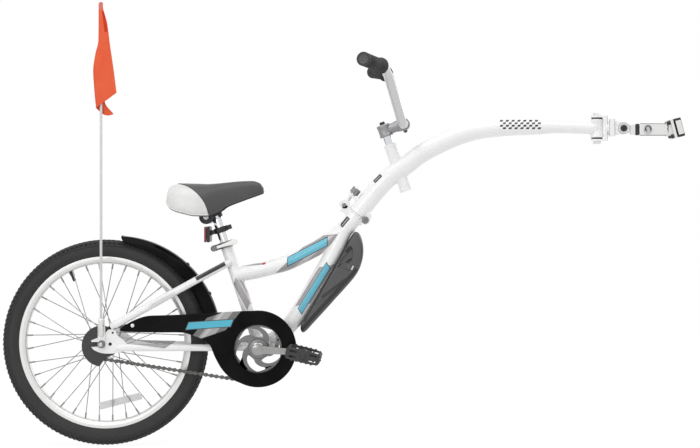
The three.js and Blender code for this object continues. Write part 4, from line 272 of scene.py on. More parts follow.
def finished(name, bm, finish, body, stands_for=(), edge=0.0, rounds=2, smooth_angle=38.0):
    """The finished object: in metres at the origin, smooth where it is round, its edges eased, on its body."""
    bmesh.ops.scale(bm, vec=(MM,) * 3, verts=bm.verts)
    for face in bm.faces:
        face.smooth = True
    if not edge:
        for e in bm.edges:
            e.smooth = e.calc_face_angle(0.0) < math.radians(smooth_angle)
    mesh = bpy.data.meshes.new(name)
    bm.to_mesh(mesh)
    bm.free()
    mesh.materials.append(finish)
    obj = bpy.data.objects.new(name, mesh)
    bpy.context.scene.collection.objects.link(obj)
    if edge:
        ease = obj.modifiers.new("eased_edges", "BEVEL")
        ease.width = edge * MM
        ease.segments = rounds
        ease.limit_method = "ANGLE"
        ease.angle_limit = math.radians(smooth_angle)
        ease.harden_normals = True
    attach(obj, body)
    if stands_for:
        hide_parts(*stands_for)
    return obj


def rounded(node, finish, edge=0.5, rounds=2, smooth_angle=38.0):
    """A CAD node's own form, with its edges eased as a made piece has them."""
    return finished(f"{node}_made", node_skin(node), finish, BODY_OF[node], (node,), edge, rounds, smooth_angle)


# ---------------------------------------------------------------------------------------------------------------
# Effects that several finishes share, as shader node groups


def effect(name, inputs, outputs):
    tree = bpy.data.node_groups.new(name, "ShaderNodeTree")
    for label, kind, value in inputs:
        socket = tree.interface.new_socket(label, in_out="INPUT", socket_type=kind)
        socket.default_value = value
    for label, kind in outputs:
        tree.interface.new_socket(label, in_out="OUTPUT", socket_type=kind)
    return tree, tree.nodes.new("NodeGroupInput"), tree.nodes.new("NodeGroupOutput")


def put(tree, kind, inputs=None, **settings):
    """A node with its settings, its plain input values, and links from other nodes' sockets."""
    node = tree.nodes.new(kind)
    for key, value in settings.items():
        setattr(node, key, value)
    for key, value in (inputs or {}).items():
        if isinstance(value, bpy.types.NodeSocket):
            tree.links.new(value, node.inputs[key])
        else:
            node.inputs[key].default_value = value
    return node


def maths(tree, operation, a, b=0.0, c=0.0):
    return put(tree, "ShaderNodeMath", {0: a, 1: b, 2: c}, operation=operation).outputs[0]


def mixed(tree, share, a, b):
    return put(tree, "ShaderNodeMix", {"Factor": share, 6: a, 7: b}, data_type="RGBA").outputs[2]


def patch_effect():
    """Where a colour is patchy: a broad cloud with fine speckle on it."""
    tree, given, out = effect(
        "patchy_colour",
        [
            ("Colour", "NodeSocketColor", (0.8, 0.8, 0.8, 1)),
            ("Other Colour", "NodeSocketColor", (0.7, 0.7, 0.7, 1)),
            ("Patch Scale", "NodeSocketFloat", 20.0),
            ("Speckle Scale", "NodeSocketFloat", 400.0),
            ("Amount", "NodeSocketFloat", 0.3),
        ],
        [("Colour", "NodeSocketColor"), ("Mask", "NodeSocketFloat")],
    )
    place = put(tree, "ShaderNodeTexCoord").outputs["Object"]
    broad = put(tree, "ShaderNodeTexNoise", {"Vector": place, "Scale": given.outputs["Patch Scale"], "Detail": 4.0})
    fine = put(tree, "ShaderNodeTexNoise", {"Vector": place, "Scale": given.outputs["Speckle Scale"], "Detail": 2.0})
    both = maths(tree, "MULTIPLY_ADD", fine.outputs[0], 0.35, maths(tree, "MULTIPLY", broad.outputs[0], 0.65))
    spread = put(tree, "ShaderNodeMapRange", {0: both, 1: 0.38, 2: 0.62})
    mask = maths(tree, "MULTIPLY", spread.outputs[0], given.outputs["Amount"])
    tree.links.new(mixed(tree, mask, given.outputs["Colour"], given.outputs["Other Colour"]), out.inputs["Colour"])
    tree.links.new(mask, out.inputs["Mask"])
    return tree


def grain_effect():
    """Moulded grain: pebbles with soft valleys between them."""
    tree, given, out = effect(
        "moulded_grain",
        [("Scale", "NodeSocketFloat", 900.0), ("Softness", "NodeSocketFloat", 0.5)],
        [("Height", "NodeSocketFloat")],
    )
    place = put(tree, "ShaderNodeTexCoord").outputs["Object"]
    pebbles = put(tree, "ShaderNodeTexVoronoi", {"Vector": place, "Scale": given.outputs["Scale"]}, feature="SMOOTH_F1")
    noise = put(tree, "ShaderNodeTexNoise", {"Vector": place, "Scale": given.outputs["Scale"], "Detail": 3.0})
    height = maths(tree, "MULTIPLY_ADD", noise.outputs[0], given.outputs["Softness"], pebbles.outputs[0])
    tree.links.new(height, out.inputs["Height"])
    return tree


def scratch_effect():
    """Fine handling marks: long thin noise, kept to where it is strongest."""
    tree, given, out = effect(
        "handling_marks",
        [("Scale", "NodeSocketFloat", 30.0), ("Stretch", "NodeSocketFloat", 12.0), ("Amount", "NodeSocketFloat", 0.5)],
        [("Mask", "NodeSocketFloat")],
    )
    place = put(tree, "ShaderNodeTexCoord").outputs["Object"]
    turn = put(tree, "ShaderNodeMapping", {"Vector": place, "Rotation": (0.3, 0.7, 0.2)})
    parts = put(tree, "ShaderNodeSeparateXYZ", {0: turn.outputs[0]})
    drawn = put(
        tree,
        "ShaderNodeCombineXYZ",
        {
            0: parts.outputs[0],
            1: maths(tree, "MULTIPLY", parts.outputs[1], given.outputs["Stretch"]),
            2: parts.outputs[2],
        },
    )
    noise = put(
        tree, "ShaderNodeTexNoise", {"Vector": drawn.outputs[0], "Scale": given.outputs["Scale"], "Detail": 6.0},
    )
    kept = put(tree, "ShaderNodeMapRange", {0: noise.outputs[0], 1: 0.5, 2: 0.72})
    tree.links.new(maths(tree, "MULTIPLY", kept.outputs[0], given.outputs["Amount"]), out.inputs["Mask"])
    return tree


def panel_effect():
    """A slanted panel seen from the side: 1 inside it and 0 outside."""
    tree, given, out = effect(
        "slanted_panel",
        [
            ("Centre Along", "NodeSocketFloat", 0.0),
            ("Centre Up", "NodeSocketFloat", 0.0),
            ("Angle", "NodeSocketFloat", 0.0),
            ("Half Length", "NodeSocketFloat", 0.05),
            ("Half Height", "NodeSocketFloat", 0.01),
            ("Slant", "NodeSocketFloat", 0.0),
            ("Edge", "NodeSocketFloat", 0.0004),
        ],
        [("Mask", "NodeSocketFloat")],
    )
    place = put(tree, "ShaderNodeSeparateXYZ", {0: put(tree, "ShaderNodeTexCoord").outputs["Object"]})
    x = maths(tree, "SUBTRACT", place.outputs[0], given.outputs["Centre Along"])
    z = maths(tree, "SUBTRACT", place.outputs[2], given.outputs["Centre Up"])
    cos = maths(tree, "COSINE", given.outputs["Angle"])
    sin = maths(tree, "SINE", given.outputs["Angle"])
    along = maths(tree, "ADD", maths(tree, "MULTIPLY", x, cos), maths(tree, "MULTIPLY", z, sin))
    rise = maths(tree, "SUBTRACT", maths(tree, "MULTIPLY", z, cos), maths(tree, "MULTIPLY", x, sin))
    along = maths(tree, "SUBTRACT", along, maths(tree, "MULTIPLY", rise, given.outputs["Slant"]))
    edges = []
    for value, half in ((along, given.outputs["Half Length"]), (rise, given.outputs["Half Height"])):
        inside = maths(tree, "SUBTRACT", half, maths(tree, "ABSOLUTE", value))
        sharp = maths(tree, "DIVIDE", inside, given.outputs["Edge"])
        edges.append(put(tree, "ShaderNodeMapRange", {0: sharp, 1: -0.5, 2: 0.5}).outputs[0])
    tree.links.new(maths(tree, "MULTIPLY", *edges), out.inputs["Mask"])
    return tree


PATCHES = patch_effect()
GRAIN = grain_effect()
MARKS = scratch_effect()
PANEL = panel_effect()


def place_effect(tree, group, inputs):
    return put(tree, "ShaderNodeGroup", inputs, node_tree=group)


def grey(value):
    return (value, value, value, 1)


def finish(name, colour, other, patches, rough, metal=0.0, coat=0.0, grain=None, marks=None, panels=(), specular=0.5):
    """A finish: patchy colour, roughness that varies with it, moulded grain, handling marks and plain colour panels."""
    material = bpy.data.materials.new(name)
    material.use_nodes = True
    tree = material.node_tree
    shader = tree.nodes["Principled BSDF"]
    tone = place_effect(
        tree,
        PATCHES,
        {
            "Colour": colour, "Other Colour": other, "Patch Scale": patches[0], "Speckle Scale": patches[1],
            "Amount": patches[2],
        },
    )
    shade = tone.outputs["Colour"]
    for panel_colour, angle, x, z, half_long, half_high, slant in panels:
        mask = place_effect(
            tree,
            PANEL,
            {
                "Centre Along": x * MM, "Centre Up": z * MM, "Angle": math.radians(angle),
                "Half Length": half_long * MM, "Half Height": half_high * MM, "Slant": slant,
            },
        )
        shade = mixed(tree, mask.outputs[0], shade, panel_colour)
    rough_span = (rough[1] - rough[0]) / max(patches[2], 0.01)
    rough_value = maths(tree, "MULTIPLY_ADD", tone.outputs["Mask"], rough_span, rough[0])
    if marks:
        worn = place_effect(tree, MARKS, {"Scale": marks[0], "Stretch": marks[1], "Amount": marks[2]})
        rough_value = maths(tree, "ADD", rough_value, worn.outputs[0])
    tree.links.new(shade, shader.inputs["Base Color"])
    tree.links.new(rough_value, shader.inputs["Roughness"])
    shader.inputs["Metallic"].default_value = metal
    shader.inputs["Coat Weight"].default_value = coat
    shader.inputs["Coat Roughness"].default_value = 0.06
    shader.inputs["Specular IOR Level"].default_value = specular
    if grain:
        pebbles = place_effect(tree, GRAIN, {"Scale": grain[0], "Softness": grain[1]})
        bump = put(
            tree, "ShaderNodeBump", {"Height": pebbles.outputs[0], "Strength": grain[2], "Distance": grain[3] * MM},
        )
        tree.links.new(bump.outputs[0], shader.inputs["Normal"])
    return material


WHITE = (0.93, 0.93, 0.933, 1)
WHITE_SHADE = (0.88, 0.88, 0.885, 1)
BLACK = (0.003, 0.003, 0.0033, 1)
LIGHT_BLUE = (0.12, 0.50, 0.64, 1)
DARK_EDGE = (0.03, 0.05, 0.07, 1)
SILVER_BAND = (0.36, 0.34, 0.35, 1)
PALE_BAND = (0.56, 0.55, 0.56, 1)


def white_paint(name, panels=()):
    return finish(name, WHITE, WHITE_SHADE, (9.0, 700.0, 0.3), (0.20, 0.27), coat=0.5, grain=(1500.0, 0.8, 0.03, 0.1),
                  marks=(22.0, 16.0, 0.10), panels=panels)


FRAME_PAINT = white_paint("gloss_white_paint")
TOP_TUBE_PAINT = white_paint(
    "white_paint_top_tube",
    [
        (SILVER_BAND, 43.7, -880, -300, 64, 21, -1.3), (PALE_BAND, 43.7, -872, -300, 60, 5, -1.3),
        (DARK_EDGE, 27.4, -883.5, -295.9, 55, 10.4, 0.5), (LIGHT_BLUE, 27.4, -883.5, -295.9, 53, 8.6, 0.5),
        (SILVER_BAND, 4.4, -1017.7, -327.7, 25.3, 2.0, 0.3), ((0.5, 0.03, 0.06, 1), 9.5, -988.3, -325.0, 4.3, 2.4, 0.3),
    ],
)
DOWN_TUBE_PAINT = white_paint(
    "white_paint_down_tube",
    [
        (SILVER_BAND, 58.3, -866, -377, 55, 14, -0.9), (PALE_BAND, 58.3, -860, -377, 52, 4, -0.9),
        (DARK_EDGE, 58.3, -867.5, -384, 66, 8.4, 0.5), (LIGHT_BLUE, 58.3, -867.5, -384, 64, 6.8, 0.5),
    ],
)
SEAT_TUBE_PAINT = white_paint(
    "white_paint_seat_tube",
    [(SILVER_BAND, -62, -1040, -392, 36, 11, -0.9), (PALE_BAND, -62, -1034, -392, 34, 2.5, -0.9)],
)
SEATSTAY_PAINT = white_paint(
    "white_paint_seatstay",
    [
        (grey(0.55), 28.1, -1113.5, -342.2, 39, 5.3, 0), (BLACK, 28.1, -1113.5, -342.2, 38.2, 4.5, 0),
        (PALE_BAND, 28.1, -1227.6, -408.3, 33.8, 3.6, 0), (WHITE, 28.1, -1227.6, -408.3, 33.0, 2.8, 0),
        (grey(0.62), 28.1, -1227.6, -408.3, 29.0, 1.2, 0),
    ],
)
CHAINSTAY_PAINT = white_paint("white_paint_chainstay", [(SILVER_BAND, -8, -1275, -512, 62, 5.5, 1.2)])
NECK_PAINT = white_paint(
    "white_paint_neck", [(BLACK, 50.2, -793.7, -224.8, 14.1, 5.0, 0), (grey(0.6), 50.2, -793.7, -224.8, 11.5, 0.8, 0)]
)


CHECK_ROWS, CHECKS_IN_ROW = 4, 7
CHECK_STEP, CHECK_DROP = 14, 6


def check_panels():
    """Rows of plain black checks, offset from row to row."""
    rows = []
    for row in range(CHECK_ROWS):
        for k in range(CHECKS_IN_ROW):
            x = -375.4 - 3 * CHECK_STEP + CHECK_STEP * k + (CHECK_STEP / 2 if row % 2 else 0)
            rows.append((BLACK, 0, x, 18.3 - CHECK_DROP * row, 3.6, 2.4, 0.35))
    return rows


BOOM_PAINT = white_paint(
    "white_paint_boom",
    [(BLACK, 45, -715, -120.4, 11.9, 4.2, 0), (grey(0.6), 45, -715, -120.4, 9, 0.7, 0), *check_panels()],
)


def gloss_black(name, panels=()):
    return finish(name, BLACK, grey(0.016), (14.0, 600.0, 0.5), (0.10, 0.17), grain=(300.0, 0.9, 0.02, 0.2),
                  marks=(40.0, 14.0, 0.16), specular=0.05, panels=panels)


GLOSS_BLACK = gloss_black("gloss_black_plastic")
GUARD_BLACK = gloss_black(
    "gloss_black_guard",
    [
        (grey(0.20), 19, -1098, -467, 50, 21, 1.6), (grey(0.42), 19, -1098, -467, 24, 21, 1.6),
        (grey(0.55), 19, -1104, -467, 6, 21, 1.6), (grey(0.10), 3.9, -1113.9, -468.1, 55, 9.8, 0.5),
        (LIGHT_BLUE, 3.9, -1113.9, -468.1, 53, 7.9, 0.5),
    ],
)
CHARCOAL = finish("charcoal_moulding", grey(0.028), grey(0.050), (12.0, 350.0, 0.5), (0.42, 0.56),
                  grain=(1100.0, 0.5, 0.35, 0.15), marks=(26.0, 10.0, 0.12))
PEDAL_BLACK = finish("pedal_black", grey(0.022), grey(0.06), (30.0, 500.0, 0.5), (0.42, 0.58),
                     grain=(1300.0, 0.5, 0.35, 0.15), marks=(60.0, 9.0, 0.14))
CHROME = finish("bright_chrome", (0.72, 0.73, 0.75, 1), (0.62, 0.63, 0.65, 1), (25.0, 700.0, 0.4), (0.06, 0.13),
                metal=1.0, marks=(45.0, 18.0, 0.12))
ZINC = finish("zinc_plated_steel", (0.60, 0.61, 0.62, 1), (0.45, 0.45, 0.46, 1), (45.0, 900.0, 0.5), (0.24, 0.36),
              metal=1.0, grain=(900.0, 0.9, 0.05, 0.08), marks=(50.0, 10.0, 0.14))
ALLOY = finish("satin_alloy", (0.80, 0.80, 0.79, 1), (0.70, 0.70, 0.69, 1), (20.0, 900.0, 0.4), (0.28, 0.38), metal=0.9,
               grain=(1200.0, 0.9, 0.05, 0.06), marks=(30.0, 22.0, 0.10))
BAR_SILVER = finish("bar_silver", (0.62, 0.62, 0.63, 1), (0.54, 0.54, 0.55, 1), (15.0, 900.0, 0.3), (0.22, 0.30),
                    metal=0.75, coat=0.3, marks=(30.0, 16.0, 0.10))
BLACK_STEEL = finish("black_steel", grey(0.018), grey(0.05), (40.0, 700.0, 0.5), (0.26, 0.40), metal=0.2,
                     grain=(900.0, 0.7, 0.08, 0.1), marks=(50.0, 10.0, 0.14))
RUBBER = finish(
    "tyre_rubber", grey(0.030), grey(0.052), (16.0, 500.0, 0.6), (0.62, 0.78), grain=(1400.0, 0.6, 0.35, 0.12),
    specular=0.35,
)
GRIP_RUBBER = finish(
    "grip_rubber", grey(0.028), grey(0.045), (25.0, 500.0, 0.5), (0.58, 0.70), grain=(1600.0, 0.5, 0.35, 0.12),
)
VINYL = finish(
    "black_vinyl", grey(0.040), grey(0.055), (14.0, 400.0, 0.5), (0.36, 0.46), grain=(1500.0, 0.5, 0.35, 0.12),
)
GLASS_FIBRE = finish(
    "white_glass_fibre", grey(0.72), grey(0.64), (60.0, 600.0, 0.4), (0.30, 0.42), grain=(800.0, 0.8, 0.06, 0.08),
)
RED_LENS = finish(
    "red_lens", (0.30, 0.008, 0.015, 1), (0.18, 0.004, 0.010, 1), (60.0, 400.0, 0.5), (0.10, 0.18), coat=0.5,
)
CLEAR_LENS = finish("clear_lens", grey(0.78), grey(0.68), (60.0, 400.0, 0.5), (0.10, 0.2), coat=0.5)
CHAIN_STEEL = finish("oiled_chain_steel", (0.16, 0.155, 0.15, 1), (0.07, 0.066, 0.06, 1), (60.0, 700.0, 0.7),
                     (0.26, 0.42), metal=0.9, marks=(60.0, 8.0, 0.14))
DARK_ZINC = finish(
    "dull_zinc", (0.24, 0.24, 0.25, 1), (0.14, 0.14, 0.15, 1), (60.0, 900.0, 0.6), (0.28, 0.42), metal=0.85,
    marks=(50.0, 10.0, 0.15),
)
CRANK_CHROME = finish(
    "crank_chrome", (0.37, 0.37, 0.36, 1), (0.28, 0.28, 0.27, 1), (25.0, 700.0, 0.5), (0.14, 0.22), metal=1.0,
    marks=(30.0, 12.0, 0.1),
)
SPOKE_STEEL = finish("bright_spoke_wire", (0.34, 0.34, 0.35, 1), (0.22, 0.22, 0.23, 1), (40.0, 900.0, 0.5),
                     (0.22, 0.34), metal=0.9, marks=(50.0, 12.0, 0.12))
DISC_STEEL = finish("brushed_ring_steel", (0.22, 0.22, 0.22, 1), (0.13, 0.13, 0.13, 1), (25.0, 900.0, 0.5),
                    (0.28, 0.40), metal=0.9, marks=(40.0, 20.0, 0.14))

# ---------------------------------------------------------------------------------------------------------------
# Camera, light, floor and backdrop

# Millimetres per pixel at the bike's middle, the size of the picture, and where its vanishing point falls in pixels
PIXEL = 2.41
PICTURE_WIDTH, PICTURE_HEIGHT = 700, 448
VANISHING = (446.0, 171.0)
CAMERA_PLACE = (-550.7, -4800.0, -102.4)


def set_camera():
    data = bpy.data.cameras.new("camera")
    data.sensor_width = 36
    data.lens = -CAMERA_PLACE[1] / PIXEL * data.sensor_width / PICTURE_WIDTH
    data.shift_x = (PICTURE_WIDTH / 2 - VANISHING[0]) / PICTURE_WIDTH
    data.shift_y = (VANISHING[1] - PICTURE_HEIGHT / 2) / PICTURE_WIDTH
    camera = bpy.data.objects.new("camera", data)
    camera.location = Vector(CAMERA_PLACE) * MM
    camera.rotation_euler = (math.pi / 2, 0, 0)
    bpy.context.scene.collection.objects.link(camera)
    bpy.context.scene.camera = camera


def add_lamp(name, place, aim, size, power):
    data = bpy.data.lights.new(name, "AREA")
    data.shape = "RECTANGLE"
    data.size, data.size_y = size
    data.energy = power
    lamp = bpy.data.objects.new(name, data)
    lamp.location = place
    lamp.rotation_euler = (Vector(aim) - Vector(place)).to_track_quat("-Z", "Y").to_euler()
    bpy.context.scene.collection.objects.link(lamp)


def seen_directly(tree):
    """1 for rays from the camera, from gloss and through glass."""
    path = tree.nodes.new("ShaderNodeLightPath")
    seen = maths(tree, "MAXIMUM", path.outputs["Is Camera Ray"], path.outputs["Is Glossy Ray"])
    return maths(tree, "MAXIMUM", seen, path.outputs["Is Transmission Ray"])


def set_room(light):
    scene = bpy.context.scene
    scene.view_settings.view_transform = "Standard"
    world = bpy.data.worlds.new("studio")
    scene.world = world
    world.use_nodes = True
    tree = world.node_tree
    strength = maths(tree, "MULTIPLY_ADD", seen_directly(tree), 1.0 - light, light)
    tree.links.new(strength, tree.nodes["Background"].inputs["Strength"])
    tree.nodes["Background"].inputs["Color"].default_value = grey(1.0)
    mesh = bpy.data.meshes.new("floor")
    low = cad_low.z - 0.0005
    mesh.from_pydata([(-9, -9, low), (7, -9, low), (7, 9, low), (-9, 9, low)], [], [(0, 1, 2, 3)])
    floor = bpy.data.objects.new("floor", mesh)
    scene.collection.objects.link(floor)
    paper = bpy.data.materials.new("pale_paper")
    paper.use_nodes = True
    tree = paper.node_tree
    shader = tree.nodes["Principled BSDF"]
    tones = {"Colour": grey(0.9), "Other Colour": grey(0.88), "Patch Scale": 2.0, "Speckle Scale": 300.0}
    tone = place_effect(tree, PATCHES, tones)
    tree.links.new(tone.outputs[0], shader.inputs["Base Color"])
    shader.inputs["Roughness"].default_value = 0.9
    shader.inputs["Specular IOR Level"].default_value = 0.0
    shine = put(tree, "ShaderNodeEmission", {"Color": grey(1.0), "Strength": 1.045})
    share = maths(tree, "MULTIPLY", seen_directly(tree), 0.90)
    blend = put(tree, "ShaderNodeMixShader", {0: share, 1: shader.outputs[0], 2: shine.outputs[0]})
    tree.links.new(blend.outputs[0], tree.nodes["Material Output"].inputs["Surface"])
    mesh.materials.append(paper)


set_camera()
set_room(0.61)
add_lamp("overhead_softbox", (-0.9, -0.9, 2.3), (-0.8, 0.0, -0.3), (3.4, 2.0), 34)
add_lamp("front_softbox", (-2.6, -3.2, 0.9), (-0.8, 0.0, -0.25), (2.2, 1.6), 20)
add_lamp("rim_softbox", (1.6, 2.2, 1.1), (-0.7, 0.0, -0.2), (1.8, 1.4), 14)

# ---------------------------------------------------------------------------------------------------------------
# Geometry Nodes trees: what repeats, and what follows a line


def growth(name, inputs):
    """An empty tree with named inputs, a finish, and geometry in and out."""
    tree = bpy.data.node_groups.new(name, "GeometryNodeTree")
    tree.interface.new_socket("Geometry", in_out="INPUT", socket_type="NodeSocketGeometry")
    for label, kind, value in [*inputs, ("Finish", "NodeSocketMaterial", None)]:
        socket = tree.interface.new_socket(label, in_out="INPUT", socket_type=kind)
        if value is not None:
            socket.default_value = value
    tree.interface.new_socket("Geometry", in_out="OUTPUT", socket_type="NodeSocketGeometry")
    return tree, tree.nodes.new("NodeGroupInput"), tree.nodes.new("NodeGroupOutput")


def ended(tree, given, out, *shapes):
    """The tree's end: everything joined, made real and given its finish."""
    whole = tree.nodes.new("GeometryNodeJoinGeometry")
    for shape in shapes:
        tree.links.new(shape, whole.inputs[0])
    real = put(tree, "GeometryNodeRealizeInstances", {"Geometry": whole.outputs[0]})
    coated = put(tree, "GeometryNodeSetMaterial", {"Geometry": real.outputs[0], "Material": given.outputs["Finish"]})
    tree.links.new(coated.outputs[0], out.inputs["Geometry"])
    return tree


def round_bar(tree, line, radius, sides, swell=1.0):
    """A bar of round section along a curve, with closed ends."""
    section = put(tree, "GeometryNodeCurvePrimitiveCircle", {"Resolution": sides, "Radius": radius})
    bar = put(
        tree, "GeometryNodeCurveToMesh",
        {"Curve": line, "Profile Curve": section.outputs[0], "Scale": swell, "Fill Caps": True},
    )
    return bar.outputs[0]


def vector(tree, x=0.0, y=0.0, z=0.0):
    return put(tree, "ShaderNodeCombineXYZ", {0: x, 1: y, 2: z}).outputs[0]


def about_axle(tree, given, piece):
    """Copies of a piece at even angles round the axle, starting at the start angle."""
    index = tree.nodes.new("GeometryNodeInputIndex").outputs[0]
    step = maths(tree, "DIVIDE", -TURN, given.outputs["Count"])
    angle = maths(tree, "SUBTRACT", maths(tree, "MULTIPLY", index, step), given.outputs["Start Angle"])
    points = put(tree, "GeometryNodePoints", {"Count": given.outputs["Count"], "Position": given.outputs["Axle"]})
    placed = put(
        tree, "GeometryNodeInstanceOnPoints",
        {"Points": points.outputs[0], "Instance": piece, "Rotation": vector(tree, 0.0, angle, 0.0)},
    )
    return placed.outputs[0]


def spoke_tree():
    """One set of crossed spokes, each with its elbow at the hub and its nipple at the rim."""
    number = "NodeSocketFloat"
    tree, given, out = growth(
        "spoke_set",
        [
            ("Count", "NodeSocketInt", 9), ("Start Angle", number, 0.0), ("Axle", "NodeSocketVector", (0, 0, 0)),
            ("Trail Angle", number, 1.0), ("Hub Radius", number, 0.025), ("Hub Offset", number, 0.03),
            ("Rim Radius", number, 0.19), ("Rim Offset", number, 0.002), ("Elbow Length", number, 0.004),
            ("Wire Radius", number, 0.001), ("Nipple Radius", number, 0.002), ("Nipple Length", number, 0.014),
        ],
    )
    size = given.outputs
    hub = vector(tree, size["Hub Radius"], size["Hub Offset"])
    rim = vector(
        tree,
        maths(tree, "MULTIPLY", size["Rim Radius"], maths(tree, "COSINE", size["Trail Angle"])),
        size["Rim Offset"],
        maths(tree, "MULTIPLY", size["Rim Radius"], maths(tree, "SINE", size["Trail Angle"])),
    )
    back = put(tree, "ShaderNodeVectorMath", {0: hub, 1: rim}, operation="SUBTRACT").outputs[0]
    back = put(tree, "ShaderNodeVectorMath", {0: back}, operation="NORMALIZE").outputs[0]
    back = put(tree, "ShaderNodeVectorMath", {0: back, 3: size["Nipple Length"]}, operation="SCALE").outputs[0]
    shoulder = put(tree, "ShaderNodeVectorMath", {0: rim, 1: back}, operation="ADD").outputs[0]
    inside = vector(tree, size["Hub Radius"], maths(tree, "ADD", size["Hub Offset"], size["Elbow Length"]))
    bars = []
    for start, end, radius in (
        (hub, rim, "Wire Radius"), (shoulder, rim, "Nipple Radius"), (hub, inside, "Nipple Radius"),
    ):
        line = put(tree, "GeometryNodeCurvePrimitiveLine", {"Start": start, "End": end}).outputs[0]
        bars.append(round_bar(tree, line, size[radius], 8))
    spoke = tree.nodes.new("GeometryNodeJoinGeometry")
    for bar in bars:
        tree.links.new(bar, spoke.inputs[0])
    return ended(tree, given, out, size["Geometry"], about_axle(tree, given, spoke.outputs[0]))


def rib_tree():
    """A ring of small blocks about the axle: tread blocks, sidewall ribs and sprocket teeth."""
    tree, given, out = growth(
        "ring_of_blocks",
        [
            ("Count", "NodeSocketInt", 60), ("Start Angle", "NodeSocketFloat", 0.0),
            ("Axle", "NodeSocketVector", (0, 0, 0)), ("Radius", "NodeSocketFloat", 0.2),
            ("Offset", "NodeSocketFloat", 0.0), ("Size", "NodeSocketVector", (0.01, 0.01, 0.01)),
            ("Tilt", "NodeSocketFloat", 0.0), ("Skew", "NodeSocketFloat", 0.0),
        ],
    )
    size = given.outputs
    block = put(tree, "GeometryNodeMeshCube", {"Size": size["Size"]})
    skewed = put(tree, "GeometryNodeTransform", {"Geometry": block.outputs[0], "Rotation": vector(tree, size["Skew"])})
    stood = put(
        tree, "GeometryNodeTransform",
        {
            "Geometry": skewed.outputs[0], "Rotation": vector(tree, 0.0, 0.0, size["Tilt"]),
            "Translation": vector(tree, size["Radius"], size["Offset"]),
        },
    )
    return ended(tree, given, out, size["Geometry"], about_axle(tree, given, stood.outputs[0]))


def placing_tree():
    """A small piece put at each point of a mesh, turned to the point's own directions."""
    tree, given, out = growth(
        "pieces_in_their_places", [("Piece", "NodeSocketObject", None), ("Size", "NodeSocketVector", (1, 1, 1))]
    )
    turned_to = tree.nodes.new("FunctionNodeAxesToRotation")
    turned_to.primary_axis, turned_to.secondary_axis = "X", "Z"
    for socket, label in ((turned_to.inputs[0], "along"), (turned_to.inputs[1], "outward")):
        read = put(tree, "GeometryNodeInputNamedAttribute", {"Name": label}, data_type="FLOAT_VECTOR")
        tree.links.new(read.outputs[0], socket)
    piece = put(
        tree, "GeometryNodeObjectInfo", {"Object": given.outputs["Piece"], "As Instance": True},
        transform_space="ORIGINAL",
    )
    placed = put(
        tree, "GeometryNodeInstanceOnPoints",
        {
            "Points": given.outputs["Geometry"], "Instance": piece.outputs["Geometry"],
            "Rotation": turned_to.outputs[0], "Scale": given.outputs["Size"],
        },
    )
    return ended(tree, given, out, placed.outputs[0])


def swept_tree():
    """A tube along a line, as thick at each point as the line says."""
    tree, given, out = growth("swept_tube", [("Sides", "NodeSocketInt", 48)])
    line = put(tree, "GeometryNodeMeshToCurve", {"Mesh": given.outputs["Geometry"]})
    thick = put(tree, "GeometryNodeInputNamedAttribute", {"Name": "thick"}, data_type="FLOAT")
    return ended(tree, given, out, round_bar(tree, line.outputs[0], 1.0, given.outputs["Sides"], thick.outputs[0]))


def bead_tree():
    """A rippled bead along a line: a weld, the piping of a seam, or a thin dark line of painted shade."""
    number = "NodeSocketFloat"
    tree, given, out = growth(
        "rippled_bead",
        [("Bead Radius", number, 0.002), ("Ripple Pitch", number, 0.002), ("Ripple Depth", number, 0.15)]
    )
    line = put(tree, "GeometryNodeMeshToCurve", {"Mesh": given.outputs["Geometry"]})
    length = maths(tree, "DIVIDE", given.outputs["Ripple Pitch"], 4.0)
    fine = put(tree, "GeometryNodeResampleCurve", {"Curve": line.outputs[0], "Length": length}, mode="LENGTH")
    index = tree.nodes.new("GeometryNodeInputIndex").outputs[0]
    wave = maths(tree, "SINE", maths(tree, "MULTIPLY", index, TURN / 4))
    swell = maths(tree, "MULTIPLY_ADD", wave, given.outputs["Ripple Depth"], 1.0)
    return ended(tree, given, out, round_bar(tree, fine.outputs[0], given.outputs["Bead Radius"], 8, swell))


def ridge_tree():
    """Rings round a line at even spaces: the ridges of a grip."""
    number = "NodeSocketFloat"
    tree, given, out = growth(
        "ridges_round_a_bar",
        [("Ridge Count", "NodeSocketInt", 20), ("Radius", number, 0.016), ("Ridge Radius", number, 0.001)],
    )
    line = put(tree, "GeometryNodeMeshToCurve", {"Mesh": given.outputs["Geometry"]})
    points = put(
        tree, "GeometryNodeCurveToPoints", {"Curve": line.outputs[0], "Count": given.outputs["Ridge Count"]},
        mode="COUNT",
    )
    hoop = put(tree, "GeometryNodeCurvePrimitiveCircle", {"Resolution": 40, "Radius": given.outputs["Radius"]})
    ridge = round_bar(tree, hoop.outputs[0], given.outputs["Ridge Radius"], 6)
    placed = put(
        tree, "GeometryNodeInstanceOnPoints",
        {"Points": points.outputs["Points"], "Instance": ridge, "Rotation": points.outputs["Rotation"]},
    )
    return ended(tree, given, out, placed.outputs[0])


SPOKE_SET = spoke_tree()
BLOCK_RING = rib_tree()
PLACING = placing_tree()
SWEPT = swept_tree()
BEAD = bead_tree()
RIDGES = ridge_tree()


def bare_line(name, points, closed=False, **facts):
    """Points joined in a line, in metres, with what a tree reads at each of them."""
    mesh = bpy.data.meshes.new(name)
    count = len(points)
    edges = [] if "along" in facts else [(i, (i + 1) % count) for i in range(count if closed else count - 1)]
    mesh.from_pydata([Vector(p) * MM for p in points], edges, [])
    for label, values in facts.items():
        plain = label == "thick"
        attribute = mesh.attributes.new(label, "FLOAT" if plain else "FLOAT_VECTOR", "POINT")
        for item, value in zip(attribute.data, values):
            if plain:
                item.value = value * MM
            else:
                item.vector = value
    return mesh


